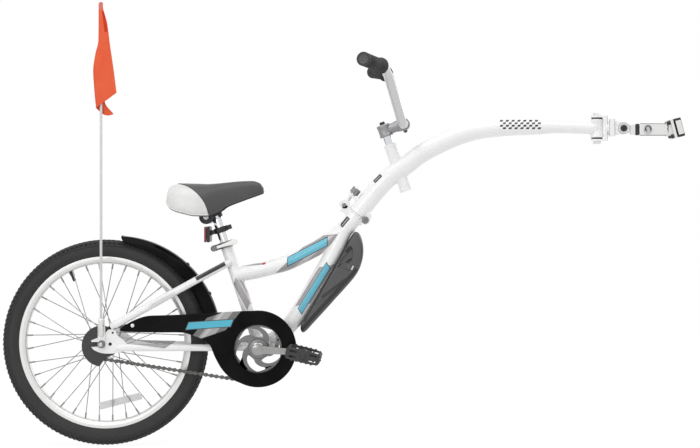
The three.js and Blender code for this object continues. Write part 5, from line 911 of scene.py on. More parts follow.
def smooth_round(mesh, angle):
    """Smooth faces, with the edges past an angle kept sharp."""
    bm = bmesh.new()
    bm.from_mesh(mesh)
    bmesh.ops.remove_doubles(bm, verts=bm.verts, dist=1e-6)
    for face in bm.faces:
        face.smooth = True
    for e in bm.edges:
        e.smooth = e.calc_face_angle(0.0) < math.radians(angle)
    bm.to_mesh(mesh)
    bm.free()


def grown(name, start_mesh, steps, finish, body, stands_for=(), smooth_angle=38.0):
    """What the trees make of a starting mesh, as one plain finished piece."""
    start = bpy.data.objects.new(f"{name}_start", start_mesh)
    bpy.context.scene.collection.objects.link(start)
    for tree, sizes in steps:
        step = start.modifiers.new(tree.name, "NODES")
        step.node_group = tree
        for item in tree.interface.items_tree:
            if item.item_type == "SOCKET" and item.in_out == "INPUT" and item.name in sizes:
                step[item.identifier] = sizes[item.name]
            if item.item_type == "SOCKET" and item.name == "Finish":
                step[item.identifier] = finish
    bpy.context.view_layer.update()
    mesh = bpy.data.meshes.new_from_object(start.evaluated_get(bpy.context.evaluated_depsgraph_get()))
    bpy.data.objects.remove(start)
    bpy.data.meshes.remove(start_mesh)
    mesh.name = name
    for label in ("along", "outward", "thick"):
        if label in mesh.attributes:
            mesh.attributes.remove(mesh.attributes[label])
    smooth_round(mesh, smooth_angle)
    obj = bpy.data.objects.new(name, mesh)
    bpy.context.scene.collection.objects.link(obj)
    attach(obj, body)
    if stands_for:
        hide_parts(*stands_for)
    return obj


def swept(name, line, radius_at, finish, body, stands_for=(), sides=48):
    """A frame tube along a line."""
    last = len(line) - 1
    thick = [radius_at(i / last) for i in range(len(line))]
    return grown(name, bare_line(name, line, thick=thick), [(SWEPT, {"Sides": sides})], finish, body, stands_for, 30)


def bead(name, points, finish, body, radius=1.6, pitch=2.4, depth=0.14, closed=True):
    """A weld bead, a seam's piping, or a thin dark line of painted shade, along points."""
    sizes = {"Bead Radius": radius * MM, "Ripple Pitch": pitch * MM, "Ripple Depth": depth}
    return grown(name, bare_line(name, points, closed), [(BEAD, sizes)], finish, body, (), 60)


def in_places(name, piece, places, finish, body, stands_for=(), size=(1.0, 1.0, 1.0), smooth_angle=38.0):
    """Copies of a small piece at (point, along, outward) places."""
    bmesh.ops.scale(piece, vec=(MM,) * 3, verts=piece.verts)
    pattern_mesh = bpy.data.meshes.new(f"{name}_pattern")
    piece.to_mesh(pattern_mesh)
    piece.free()
    pattern = bpy.data.objects.new(f"{name}_pattern", pattern_mesh)
    bpy.context.scene.collection.objects.link(pattern)
    points, along, outward = zip(*places)
    start = bare_line(name, points, along=along, outward=outward)
    obj = grown(name, start, [(PLACING, {"Piece": pattern, "Size": size})], finish, body, stands_for, smooth_angle)
    bpy.data.objects.remove(pattern)
    return obj


def meeting_line(start, direction, radius, other, count=48, back=0.0):
    """Where a round tube's surface meets another skin: a ring of points."""
    x, y, z = axes_for(direction)
    tree = BVHTree.FromBMesh(other)
    ring = []
    for k in range(count):
        a = TURN * k / count
        at = start - z * back + (x * math.cos(a) + y * math.sin(a)) * radius
        hit = tree.ray_cast(at, z)[0]
        if hit is not None:
            ring.append(hit)
    return ring


# ---------------------------------------------------------------------------------------------------------------
# Rear frame


def run(start, end, shares):
    """Points between two ends, as shares of the way along and of the way up."""
    return [Vector((start.x + (end.x - start.x) * sx, 0, start.z + (end.z - start.z) * sz)) for sx, sz in shares]


def stepped(pairs, s):
    """A value between those given at shares of a length, along straight lines."""
    for (s0, v0), (s1, v1) in zip(pairs, pairs[1:]):
        if s <= s1:
            t = (s - s0) / (s1 - s0)
            return v0 + (v1 - v0) * t
    return pairs[-1][1]


def eased_outline(outline, times=3):
    """A closed outline with its corners cut round."""
    for _ in range(times):
        cut = []
        for (ax, az), (bx, bz) in zip(outline, outline[1:] + outline[:1]):
            cut += [(ax * 0.75 + bx * 0.25, az * 0.75 + bz * 0.25), (ax * 0.25 + bx * 0.75, az * 0.25 + bz * 0.75)]
        outline = cut
    return outline


def inset_outline(outline, distance):
    """The outline moved inwards by a distance, corner by corner."""
    area = sum(ax * bz - bx * az for (ax, az), (bx, bz) in zip(outline, outline[1:] + outline[:1]))
    turn = 1 if area > 0 else -1
    moved = []
    for i, (x, z) in enumerate(outline):
        ax, az = outline[i - 1]
        bx, bz = outline[(i + 1) % len(outline)]
        n1 = Vector((-(z - az), x - ax)).normalized() * turn
        n2 = Vector((-(bz - z), bx - x)).normalized() * turn
        n = (n1 + n2).normalized()
        reach = distance / max(n.dot(n1), 0.35)
        moved.append((x + n.x * reach, z + n.y * reach))
    return moved


def placed_outline(outline, centre):
    return [(centre.x + x, centre.z + z) for x, z in outline]


def neck_block(up_low, up_high, front_low, front_high, half):
    """A block in the neck's own directions."""
    corners = [
        neck_point(u, f, s) for u in (up_low, up_high) for f in (front_low, front_high) for s in (-half, half)
    ]
    faces = [(0, 1, 3, 2), (4, 6, 7, 5), (0, 4, 5, 1), (2, 3, 7, 6), (0, 2, 6, 4), (1, 5, 7, 3)]
    return skin(corners, faces)


def across_rod(centre, low, high, radius, edge=0.8, sides=40):
    return rod(centre + ACROSS * low, centre + ACROSS * high, radius, edge, sides)


TOP_TUBE_RUN = [(0, 0), (0.2475, 0.115), (0.468, 0.257), (0.587, 0.385), (0.789, 0.635), (1, 1)]
DOWN_TUBE_RUN = [(0, 0), (0.147, 0.221), (0.3075, 0.424), (0.465, 0.62), (0.626, 0.794), (0.82, 0.93), (1, 1)]
TOP_LINE = smooth_line(run(CRANK + SEAT_UP * 183.3, neck_point(-33, 0), TOP_TUBE_RUN), 56)
DOWN_LINE = smooth_line(run(neck_point(-44, 0), CRANK, DOWN_TUBE_RUN), 72)
swept("top_tube_swept", TOP_LINE, lambda s: 18.5, TOP_TUBE_PAINT, "rear_frame", ("top_tube",))
swept("down_tube_swept", DOWN_LINE, lambda s: 20.3, DOWN_TUBE_PAINT, "rear_frame", ("down_tube",))

seat_pipe = turned([(12.9, 20), (14.5, 20), (14.5, 267.4), (14.1, 268), (13.2, 268), (12.9, 267.6)], CRANK, SEAT_UP)
finished("seat_tube_pipe", seat_pipe, SEAT_TUBE_PAINT, "rear_frame", ("seat_tube",))
shell_profile = [
    (24.4, -34), (26.2, -34), (27, -33.2), (27, -29), (26.7, -28.5), (26.7, 28.5), (27, 29), (27, 33.2), (26.2, 34),
    (24.4, 34),
]
finished("bottom_shell", turned(shell_profile, CRANK, ACROSS, 64), FRAME_PAINT, "rear_frame", ("bottom_bracket_shell",))

neck_parts = together(
    rod(neck_point(-56, 0), neck_point(7.7, 0), 20.5, 0.8, 64),
    neck_block(-11, 7.6, 6, 24.6, 9.9),
    across_rod(neck_point(8, 24.6), -9.9, 9.9, 11, 1.0),
    neck_block(-12.4, 7.6, -38, -6, 9),
    across_rod(neck_point(6, -38), -9, 9, 12.5, 1.6),
    across_rod(neck_point(6, -38), -11, 11, 5, 0.8, 24),
    turned(
        [(20.3, 3.4), (22.2, 4.2), (22.6, 5.2), (22.6, 6.9), (21.8, 7.8), (20.3, 7.8)], neck_point(0, 0), NECK_UP, 64,
    ),
)
finished("neck_made", neck_parts, NECK_PAINT, "rear_frame", ("neck",), 0.7, 2)

STAY_WIDTHS = {
    "chainstay": [(0, 1), (0.55, 0.62), (0.68, 0.56), (0.8, 0.46), (1, 0.36)],
    "seatstay": [(0, 1), (0.42, 0.78), (0.72, 0.65), (0.88, 0.5), (1, 0.3)],
}
STAY_ENDS = {
    "chainstay": (AXLE + Vector((34, 0, -8)), CRANK, 9.0),
    "seatstay": (AXLE + Vector((21, 0, 41)), CRANK + SEAT_UP * 218.4, 9.5),
}
DROPOUT = [
    (-25, 9), (-14, 14), (6, 20), (12, 32), (20, 36), (32, 34), (36, 20), (58, 5), (61, -12), (38, -22), (4, -23),
    (-14, -17), (-25, -9),
]


def stay_line(kind, side):
    rear, front, _ = STAY_ENDS[kind]
    points = [rear.lerp(front, s) + ACROSS * side * 61 * wide for s, wide in STAY_WIDTHS[kind]]
    return smooth_line(points, 60)


def dropout_plate(side):
    """A plate end with an open slot, an eyelet and a stop hole."""
    outer = [(-25, 9)] + eased_outline(DROPOUT, 2)[4:-4] + [(-25, -9)]
    round_end = [math.radians(-90 + 15 * k) for k in range(13)]
    slot = [(-25, -5.2), *((5.2 * math.cos(a), 5.2 * math.sin(a)) for a in round_end), (-25, 5.2)]
    outline = placed_outline(outer + slot, AXLE)
    holes = [circle((AXLE.x + 20, AXLE.z), 4.2, 20), circle((AXLE.x + 26, AXLE.z + 27), 2.6, 16)]
    low, high = sorted((side * 55.5, side * 60.5))
    return slab(outline, low, high, holes)


for side in (-1, 1):
    for kind, paint in (("chainstay", CHAINSTAY_PAINT), ("seatstay", SEATSTAY_PAINT)):
        full = STAY_ENDS[kind][2]
        node = f"{kind}_{SIDE_NAMES[side]}"
        swept(
            f"{node}_swept", stay_line(kind, side),
            lambda s, full=full: full * min(1.0, 0.55 + 12 * s) * (1.0 - 0.12 * s), paint, "rear_frame", (node,), 36,
        )
    node = f"dropout_{SIDE_NAMES[side]}"
    finished(f"{node}_plate", dropout_plate(side), FRAME_PAINT, "rear_frame", (node,), 0.9, 2)
rounded("seatstay_bridge", FRAME_PAINT, 0.6)

# For each weld: where the ray starts, its way, the tube's radius, the node it meets and how far back it starts
FRAME_JOINTS = {
    "top_tube_to_seat_tube": (TOP_LINE[6], TOP_LINE[0] - TOP_LINE[6], 18.5, "seat_tube", 0),
    "top_tube_to_neck": (TOP_LINE[-9], TOP_LINE[-1] - TOP_LINE[-9], 18.5, "neck", 0),
    "down_tube_to_shell": (DOWN_LINE[-8], DOWN_LINE[-1] - DOWN_LINE[-8], 20.3, "bottom_bracket_shell", 20),
    "seat_tube_to_shell": (CRANK + SEAT_UP * 60, -SEAT_UP, 14.5, "bottom_bracket_shell", 0),
}
for name, (start, direction, radius, other, back) in FRAME_JOINTS.items():
    ring = meeting_line(start, direction, radius, node_skin(other), 60, back)
    if len(ring) > 40:
        bead(f"weld_{name}", ring, FRAME_PAINT, "rear_frame", 1.7)
for side in (-1, 1):
    for kind, other in (("chainstay", "bottom_bracket_shell"), ("seatstay", "seat_tube")):
        line = stay_line(kind, side)
        full = STAY_ENDS[kind][2] * 0.88
        ring = meeting_line(line[-12], line[-1] - line[-12], full, node_skin(other), 40)
        if len(ring) > 20:
            bead(f"weld_{kind}_{SIDE_NAMES[side]}", ring, FRAME_PAINT, "rear_frame", 1.3, closed=len(ring) == 40)

# ---------------------------------------------------------------------------------------------------------------
# Wheel


def tyre_section():
    """The tyre's wall, half width by radius: grooves in the tread, a rib and two fine lines on each sidewall."""
    outer = []
    for degrees in range(-126, 127, 3):
        a = math.radians(degrees)
        pinch = 1.0 if degrees in range(-90, 91) else 0.985
        r, y = 224.6 + 22.2 * math.cos(a) * pinch, 21.7 * math.sin(a)
        rise = 0.0
        for groove in (-54, -39, -18, -6, 6, 18, 39, 54):
            if abs(degrees - groove) < 2:
                rise = -1.3
        for line in (-81, 81, -105, 105):
            if abs(degrees - line) < 2:
                rise = 0.5
        outer.append((r + rise * math.cos(a), y + rise * math.sin(a)))
    bead_foot = [(203.4, 10.6), (202.6, 9.4), (204.5, 7.6)]
    inner = [
        (224.0 + 19.2 * math.cos(math.radians(d)), 18.8 * math.sin(math.radians(d))) for d in range(120, -121, -10)
    ]
    return outer + bead_foot + inner + [(r, -y) for r, y in reversed(bead_foot)]


finished("tyre_casing", turned(tyre_section(), AXLE, ACROSS, 160), RUBBER, "wheel", ("tyre",), smooth_angle=50)

# Rings of tread blocks: count, radius, offset, start angle, size, tilt and skew
TREAD_RINGS = [
    (132, 239.6, 16.0, 0.0, (1.4, 6.4, 5.0), -0.78, 0.45), (132, 245.7, 4.6, 0.02, (1.2, 5.2, 6.0), -0.2, -0.5),
    (264, 231.0, 20.7, 0.0, (1.0, 9.0, 1.5), -1.28, 0.5), (264, 231.0, 20.75, 0.0, (0.9, 9.0, 1.2), -1.28, -0.5),
]
tread_steps = []
for side in (-1, 1):
    for count, radius, offset, start, size, tilt, skew in TREAD_RINGS:
        sizes = {
            "Count": count, "Axle": AXLE * MM, "Radius": radius * MM, "Offset": side * offset * MM,
            "Start Angle": start,
            "Size": tuple(length * MM for length in size), "Tilt": side * tilt, "Skew": side * skew,
        }
        tread_steps.append((BLOCK_RING, sizes))
grown("tyre_tread_blocks", bpy.data.meshes.new("tread"), tread_steps, RUBBER, "wheel")

RIM_SECTION = [
    (208, -13), (208, -11.4), (204, -11), (200, -8.6), (198.5, -4.4), (198.5, 4.4), (200, 8.6), (204, 11), (208, 11.4),
    (208, 13), (206.8, 13.2), (199.4, 13.0), (198.6, 12.4), (195, 11.3), (190.9, 8.2), (189.2, 4.6), (189, 0),
    (189.2, -4.6), (190.9, -8.2), (195, -11.3), (198.6, -12.4), (199.4, -13.0), (206.8, -13.2),
]
finished("rim_hoop", turned(RIM_SECTION, AXLE, ACROSS, 160), ALLOY, "wheel", ("rim",), smooth_angle=32)

spoke_steps = []
for side in (-1, 1):
    for trailing in (-1, 1):
        start = math.radians((20 if trailing < 0 else 0) + side * 5)
        spoke_steps.append((
            SPOKE_SET,
            {
                "Count": 9, "Start Angle": start, "Axle": AXLE * MM, "Trail Angle": math.radians(60) * trailing,
                "Hub Radius": 24.4 * MM, "Hub Offset": side * (33 + trailing * 2.7) * MM, "Rim Radius": 189.6 * MM,
                "Rim Offset": side * 2.5 * MM, "Elbow Length": -side * trailing * 4.2 * MM, "Wire Radius": 1.05 * MM,
                "Nipple Radius": 2.0 * MM, "Nipple Length": 14.0 * MM,
            },
        ))
grown("spokes_and_nipples", bpy.data.meshes.new("spokes_start"), spoke_steps, SPOKE_STEEL, "wheel", ("spokes",))
hub_half = [
    (4.9, -47), (11.4, -47), (12, -46.4), (12, -37), (13.5, -35), (26.2, -34.6), (27, -33.9), (27, -32.1),
    (26.2, -31.4), (18, -30.6), (15.4, -27), (14.4, -18), (14, 0),
]
hub_profile = hub_half + [(r, -y) for r, y in reversed(hub_half[:-1])]
finished("hub_body", turned(hub_profile, AXLE, ACROSS, 64), ALLOY, "wheel", ("hub_shell",))


def threaded(radius, low, high, pitch=1.1, deep=0.35):
    rows, y = [], low
    while y < high - pitch:
        rows += [(radius, y), (radius, y + pitch * 0.25), (radius - deep, y + pitch * 0.6)]
        y += pitch
    return rows


axle_profile = [
    (0, -80), (4.2, -80), *threaded(4.75, -79.4, -46), (4.75, -46), (4.75, 46), *threaded(4.75, 46.4, 79.4),
    (4.2, 80), (0, 80),
]
CONE_ROWS = [(4.8, 38), (10.6, 38), (10.8, 40), (9, 43), (9, 46.4), (8.4, 47), (4.8, 47)]
cones = [turned([(r, side * y) for r, y in CONE_ROWS], AXLE, ACROSS, 40) for side in (-1, 1)]
finished(
    "threaded_axle", together(turned(axle_profile, AXLE, ACROSS, 24), *cones), ZINC, BODY_OF["wheel_axle"],
    ("wheel_axle",),
)
HEX_COLUMNS = 24


def hex_head(corner_radius, height, chamfer=0.9, bore=0.0):
    """A hexagon nut or bolt head that stands up +Z, with its corners turned off."""
    flat_radius = corner_radius * 0.86
    around = [TURN * k / HEX_COLUMNS for k in range(HEX_COLUMNS)]
    verts = []
    for z, reach in ((0, corner_radius), (height - chamfer, corner_radius), (height, flat_radius * 0.97)):
        for a in around:
            radius = min(flat_radius / math.cos(a % (TURN / 6) - TURN / 12), reach)
            verts.append((radius * math.cos(a), radius * math.sin(a), z))
    if bore:
        verts += [(bore * math.cos(a), bore * math.sin(a), z) for z in (height, 0) for a in around]
        return skin(verts, grid_faces(5, HEX_COLUMNS, close_rows=True))
    ends = [tuple(range(HEX_COLUMNS)), tuple(range(2 * HEX_COLUMNS, 3 * HEX_COLUMNS))]
    return skin(verts, grid_faces(3, HEX_COLUMNS) + ends)


nut_places = [(AXLE + ACROSS * -65.6, AHEAD, -ACROSS), (AXLE + ACROSS * 62.3, AHEAD, ACROSS)]
nut_collar = turned([(4.9, -1.5), (9.4, -1.5), (9.4, -0.2), (8.8, 0), (4.9, 0)], ORIGIN, UP, 32)
axle_nut = together(hex_head(9.5, 7.4, bore=4.9), nut_collar)
in_places("axle_nuts_hex", axle_nut, nut_places, DARK_ZINC, BODY_OF["axle_nut"], ("axle_nut",))

tube_ring = circle((222, 0), 12.3, 24)
valve_way = Vector((math.cos(math.radians(117)), 0, math.sin(math.radians(117))))
valve = turned(
    [
        (0, 165), (2.9, 165), (4.0, 166.2), *threaded(4.0, 166.4, 174.6, 1.0, 0.3), (4.0, 175), (3.2, 175.4),
        (3.2, 178), (4.0, 186), (4.0, 212), (0, 212),
    ],
    AXLE, valve_way, 24,
)
finished(
    "inner_tube_and_valve", together(turned(tube_ring, AXLE, ACROSS, 120), valve), GRIP_RUBBER, "wheel",
    ("inner_tube",),
)
rounded("spoke_reflector", CLEAR_LENS, 0.9)
REFLECTOR_WAY = Vector((math.cos(math.radians(-76)), 0, math.sin(math.radians(-76))))
prism = skin(
    [(-1.6, -1.6, 0), (1.6, -1.6, 0), (1.6, 1.6, 0), (-1.6, 1.6, 0), (0, 0, 0.9)],
    [(0, 1, 2, 3), (0, 1, 4), (1, 2, 4), (2, 3, 4), (3, 0, 4)],
)
prism_places = []
reflector_along = Vector((-REFLECTOR_WAY.z, 0, REFLECTOR_WAY.x))
for i in range(-14, 15):
    for j in (-1.5, -0.5, 0.5, 1.5):
        at = AXLE + REFLECTOR_WAY * (146 + j * 3.3) + reflector_along * (i * 3.35) + ACROSS * -5.2
        prism_places.append((at, reflector_along, -ACROSS))
in_places("spoke_reflector_prisms", prism, prism_places, CLEAR_LENS, "wheel", smooth_angle=5)

# ---------------------------------------------------------------------------------------------------------------
# Fender, chain guard, sprocket cover and fairing


def shell_of(outer, inner, columns):
    """A closed shell from an outer and an inner grid of the same rows and columns."""
    rows = len(outer) // columns
    count = rows * columns
    faces = grid_faces(rows, columns, close_columns=False)
    faces += [tuple(i + count for i in reversed(face)) for face in faces]
    border = (
        [(0, c) for c in range(columns)] + [(r, columns - 1) for r in range(1, rows)]
        + [(rows - 1, c) for c in range(columns - 2, -1, -1)] + [(r, 0) for r in range(rows - 2, 0, -1)]
    )
    for (r, c), (r2, c2) in zip(border, border[1:] + border[:1]):
        a, b = r * columns + c, r2 * columns + c2
        faces.append((a, b, b + count, a + count))
    return skin([*outer, *inner], faces), [outer[r * columns + c] for r, c in border]


TYRE_RADIUS = 247.0
FENDER_CENTRE = AXLE + Vector((24, 0, 2))
FENDER_FROM, FENDER_TO = math.radians(15), math.radians(86.3)
FENDER_HALF, FENDER_RADIUS = 27.3, 254.4


def smooth_share(share):
    share = max(0.0, min(1.0, share))
    return share * share * (3 - 2 * share)


def fender_edge_radius(angle):
    """How far from the fender's centre its lower edge runs: just over the tyre, a little clear of it low down."""
    ahead = FENDER_CENTRE - AXLE
    along = ahead.x * math.cos(angle) + ahead.z * math.sin(angle)
    tyre = -along + math.sqrt(along**2 + TYRE_RADIUS**2 - ahead.length_squared)
    return tyre + 3.2 - 4.6 * smooth_share((math.degrees(angle) - 38) / 12)


def fender_row(angle, distance_to_tip, columns, inwards):
    """The fender's section at an angle, with a raised rib each side and the corners of its ends rounded."""
    narrow = min(1.0, distance_to_tip / 14.0)
    half = FENDER_HALF * (0.55 + 0.45 * math.sqrt(1.0 - (1.0 - narrow) ** 2))
    edge_drop = 1 - fender_edge_radius(angle) / FENDER_RADIUS
    row = []
    for c in range(columns):
        w = -1 + 2 * c / (columns - 1)
        share = abs(w) * half / FENDER_HALF
        drop = edge_drop * share**3.6
        rib = 1.1 * math.exp(-(((abs(w) * half - 14.5) / 1.7) ** 2)) * smooth_share(distance_to_tip / 30)
        r = FENDER_RADIUS * (1 - drop) + rib - inwards
        row.append(FENDER_CENTRE + Vector((r * math.cos(angle), w * half, r * math.sin(angle))))
    return row


FENDER_ROWS, FENDER_COLUMNS = 120, 41
fender_outer, fender_inner = [], []
for r in range(FENDER_ROWS + 1):
    angle = FENDER_FROM + (FENDER_TO - FENDER_FROM) * (0.5 - 0.5 * math.cos(math.pi * r / FENDER_ROWS))
    tip = min(angle - FENDER_FROM, FENDER_TO - angle) * FENDER_RADIUS
    fender_outer += fender_row(angle, tip, FENDER_COLUMNS, 0.0)
    fender_inner += fender_row(angle, tip, FENDER_COLUMNS, 1.8)
fender_skin, fender_edge = shell_of(fender_outer, fender_inner, FENDER_COLUMNS)
finished("fender_blade", fender_skin, GLOSS_BLACK, BODY_OF["fender"], ("fender",), smooth_angle=50)
bead("fender_rolled_edge", fender_edge, GLOSS_BLACK, BODY_OF["fender"], 1.35, 6.0, 0.0)
pan_head = turned(
    [(0, -1), (4.6, -1), (4.6, 0.4), (4.0, 1.6), (2.6, 2.5), (1.3, 2.7), (1.3, 1.4), (0, 1.4)], ORIGIN, UP, 24,
)
fender_bolts = []
for degrees in (27, 47):
    way = Vector((math.cos(math.radians(degrees)), 0, math.sin(math.radians(degrees))))
    fender_bolts.append((FENDER_CENTRE + way * 254.6, ACROSS, way))
in_places("fender_bolts", pan_head, fender_bolts, BLACK_STEEL, BODY_OF["fender"])

ARC_FROM, ARC_TO = math.radians(-115), math.radians(96)
TAIL_POINTS = [
    (-40, 90), (-100, 86.6), (-174, 82), (-230, 80), (-266, 78.2), (-290, 71), (-312, 60), (-327, 50), (-331, 45.5),
    (-326, 42), (-300, 40.2), (-240, 39.2), (-176, 38.2), (-157, 32.5), (-130, 22), (-115, 9), (-103, -19),
    (-85, -50), (-62, -72),
]
guard_arc = circle((0, 0), 91.5, 110, ARC_FROM, ARC_TO)
tail_line = smooth_line([Vector((x, 0, z)) for x, z in [guard_arc[-1], *TAIL_POINTS, guard_arc[0]]], 150)
guard_flat = guard_arc + [(p.x, p.z) for p in tail_line[1:-1]]
GUARD_OUTLINE = placed_outline(guard_flat, CRANK)
window = circle((CRANK.x, CRANK.z), 58, 96)


def sealed(*parts):
    """Shapes whose borders meet, as one skin that faces out."""
    whole = together(*parts)
    bmesh.ops.remove_doubles(whole, verts=whole.verts, dist=0.005)
    bmesh.ops.recalc_face_normals(whole, faces=whole.faces)
    return whole


def guard_face():
    """The guard's face with rounded shoulders, its window and its skirt behind."""
    skirt_y, inner_y, face_y = -46.5, -52.0, -55.0
    steps = [(skirt_y, 0.0), (-52.6, 0.0), (-54.0, 0.5), (-54.8, 1.5), (face_y, 2.8)]
    count = len(GUARD_OUTLINE)
    verts = []
    for y, inwards in steps:
        verts += [(x, y, z) for x, z in (inset_outline(GUARD_OUTLINE, inwards) if inwards else GUARD_OUTLINE)]
    side = skin(verts, grid_faces(len(steps), count))
    front = flat_face(face_y, inset_outline(GUARD_OUTLINE, 2.8), window)
    skirt = inset_outline(GUARD_OUTLINE, 2.0)
    rings = [(GUARD_OUTLINE, skirt_y), (skirt, skirt_y), (skirt, inner_y)]
    inside = skin([(x, y, z) for outline, y in rings for x, z in outline], grid_faces(3, count))
    behind = flat_face(inner_y, skirt, window)
    hole_wall = skin([(x, y, z) for y in (face_y, inner_y) for x, z in window], grid_faces(2, len(window)))
    return sealed(side, front, inside, behind, hole_wall)


finished("chain_guard_face", guard_face(), GUARD_BLACK, BODY_OF["chain_guard"], ("chain_guard",), smooth_angle=34)
window_lip = turned(
    [(57.2, -52.4), (57.2, -55.4), (58.0, -56.2), (59.8, -56.2), (60.6, -55.6), (61.0, -54.6), (61.0, -52.4)],
    CRANK, ACROSS, 96,
)
finished("guard_window_lip", window_lip, GUARD_BLACK, BODY_OF["chain_guard"])
guard_screw = turned(
    [(0, -1), (4.2, -1), (5.0, -0.2), (5.0, 0.8), (4.2, 2.0), (2.4, 2.7), (1.4, 2.7), (1.4, 1.2), (0, 1.2)],
    ORIGIN, UP, 32,
)
guard_screws = [(CRANK + Vector((-299, -55.2, 56)), AHEAD, -ACROSS)]
in_places("guard_screw_head", guard_screw, guard_screws, CHROME, BODY_OF["chain_guard"])

cover_arc = circle((0, -5), 49, 64, math.radians(84), math.radians(263))
cover_flat = [*cover_arc, (3, -40), (9, -33), (17, -29), (30, -24), (33, -14), (32, 12), (27, 30), (16, 40)]
cover_slab = slab(placed_outline(cover_flat, AXLE), -55.1, -52.6, [circle((AXLE.x, AXLE.z), 6.5, 24)])
finished("sprocket_cover_disc", cover_slab, CHARCOAL, BODY_OF["sprocket_cover"], ("sprocket_cover",), 1.1, 3)

FAIRING_FRONT = [
    (-3, 38), (6, 40), (14, 54), (18.5, 83), (14.5, 112), (3, 139), (-50, 201), (-100, 256), (-120, 277),
    (-126, 279.5), (-130.5, 274),
]
FAIRING_REAR = [(-131, 262), (-127, 252), (-94, 194), (-48, 118), (-10, 48)]
fairing_line = [Vector((x, 0, -z)) for x, z in FAIRING_FRONT + FAIRING_REAR]
fairing_loop = [(p.x, p.z) for p in smooth_line([*fairing_line, fairing_line[0]], 150)[:-1]]
FAIRING_OUTLINE = [(FOLD.x + x, FOLD.z + z) for x, z in fairing_loop]
POCKET = [
    (-787, -281), (-776, -284), (-773.5, -296), (-773.5, -311), (-785, -317), (-812, -334), (-819, -336),
    (-812, -322),
]
PANEL_OUTLINE = [
    (-815, -341), (-785, -321.5), (-776, -324), (-771, -332), (-773, -345), (-794, -366), (-850, -412), (-868, -428),
    (-857, -408),
]

# Painted shade in the fairing's hollows and along its edges, as panels a little darker than the moulding
FAIRING_PAINTED_SHADE = [
    (grey(0.022), 47.5, -834.5, -413.8, 104, 4.6, 0.0), (grey(0.020), 60.9, -832, -358, 122, 2.4, 0.0),
    (grey(0.022), 38, -783.5, -291.5, 9, 4.0, 0.0), (grey(0.018), 33, -782.8, -317.5, 8, 3.2, 0.0),
    (grey(0.030), 37.5, -820, -383.5, 36, 3.4, 0.0), (grey(0.030), 88, -752.6, -300, 34, 2.0, 0.0),
    # A painted highlight: the lighter line just inside the sunk pocket's lower edge
    (grey(0.16), 30, -800, -322.5, 15, 0.8, 0.0),
]
FAIRING_GREY = finish(
    "fairing_moulding_grey", grey(0.075), grey(0.125), (12.0, 350.0, 0.5), (0.38, 0.50),
    grain=(1100.0, 0.5, 0.35, 0.15), panels=FAIRING_PAINTED_SHADE,
)


def fairing_body():
    """The fairing's moulding: rounded shoulders, and in each side a sunk pocket beside the tube."""
    steps = [(-25.0, 6.6), (-24.4, 4.4), (-22.8, 2.2), (-20.4, 0.7), (-17.0, 0.0)]
    steps += [(-y, inwards) for y, inwards in reversed(steps)]
    count = len(FAIRING_OUTLINE)
    verts = []
    for y, inwards in steps:
        verts += [(x, y, z) for x, z in inset_outline(FAIRING_OUTLINE, inwards)]
    parts = [skin(verts, grid_faces(len(steps), count))]
    pocket = eased_outline(POCKET, 2)
    sunk = inset_outline(pocket, 1.6)
    for side in (-1, 1):
        face = flat_face(side * 25.0, inset_outline(FAIRING_OUTLINE, 6.6), pocket)
        n = len(pocket)
        wall = [(x, side * 25.0, z) for x, z in pocket] + [(x, side * 20.5, z) for x, z in sunk]
        parts += [face, skin(wall, [*grid_faces(2, n), tuple(range(n, 2 * n))])]
    return sealed(*parts)


finished(
    "side_fairing_moulding", fairing_body(), FAIRING_GREY, BODY_OF["side_fairing"], ("side_fairing",),
    smooth_angle=32,
)
panel_outline = eased_outline(PANEL_OUTLINE, 3)
for side in (-1, 1):
    low, high = sorted((side * 24.2, side * 26.2))
    raised = slab(panel_outline, low, high)
    boss_at = Vector((-783.8, side * 24.6, -333.8))
    boss = turned([(0, 0), (7.6, 0), (7.6, 1.6), (6.6, 2.9), (4.2, 3.7), (0, 3.9)], boss_at, ACROSS * side, 40)
    slit = slab([(-779, -338.5), (-775.6, -340), (-771.2, -330.6), (-774.4, -329)], *sorted((side * 24.6, side * 27.8)))
    ridge = slab([(-822, -330), (-786, -291), (-783, -294), (-818, -333)], *sorted((side * 20.6, side * 24.2)))
    for name, shape, coating, edge, rounds in (
        ("panel", raised, FAIRING_GREY, 0.9, 3), ("boss", together(boss, ridge), FAIRING_GREY, 0.4, 2),
        ("slit", slit, GLASS_FIBRE, 0.4, 2),
    ):
        finished(f"fairing_{name}_{SIDE_NAMES[side]}", shape, coating, BODY_OF["side_fairing"], (), edge, rounds)

# ---------------------------------------------------------------------------------------------------------------
# Crank, chainring, chain, rear sprocket and pedals

CHAIN_Y, CHAIN_PITCH = -42.0, 12.7
RING_R, SPROCKET_R = 80.93, 36.57
CRANK_TILT = math.radians(3.6)
ARM_LENGTH = 114
ARM_WAY = Vector((math.cos(CRANK_TILT), 0, -math.sin(CRANK_TILT)))
ARM_UP = Vector((math.sin(CRANK_TILT), 0, math.cos(CRANK_TILT)))


def chain_line():
    """The closed line of the chain's pins round the chainring and the sprocket."""
    local = CRANK - AXLE
    reach = math.hypot(local.x, local.z)
    lean = math.atan2(local.z, local.x)
    opening = math.acos((RING_R - SPROCKET_R) / reach)
    front = circle((CRANK.x, CRANK.z), RING_R, 200, lean - (math.pi - opening), lean + (math.pi - opening))
    back = circle((AXLE.x, AXLE.z), SPROCKET_R, 120, lean + (math.pi - opening), lean + (math.pi + opening))
    loop = [Vector((x, CHAIN_Y, z)) for x, z in front + back]
    return loop + [loop[0]]


loop = chain_line()
links = 2 * round(sum((b - a).length for a, b in zip(loop, loop[1:])) / CHAIN_PITCH / 2)
pins = evenly(loop, links)[:-1]
LINK_PITCH = (pins[1] - pins[0]).length


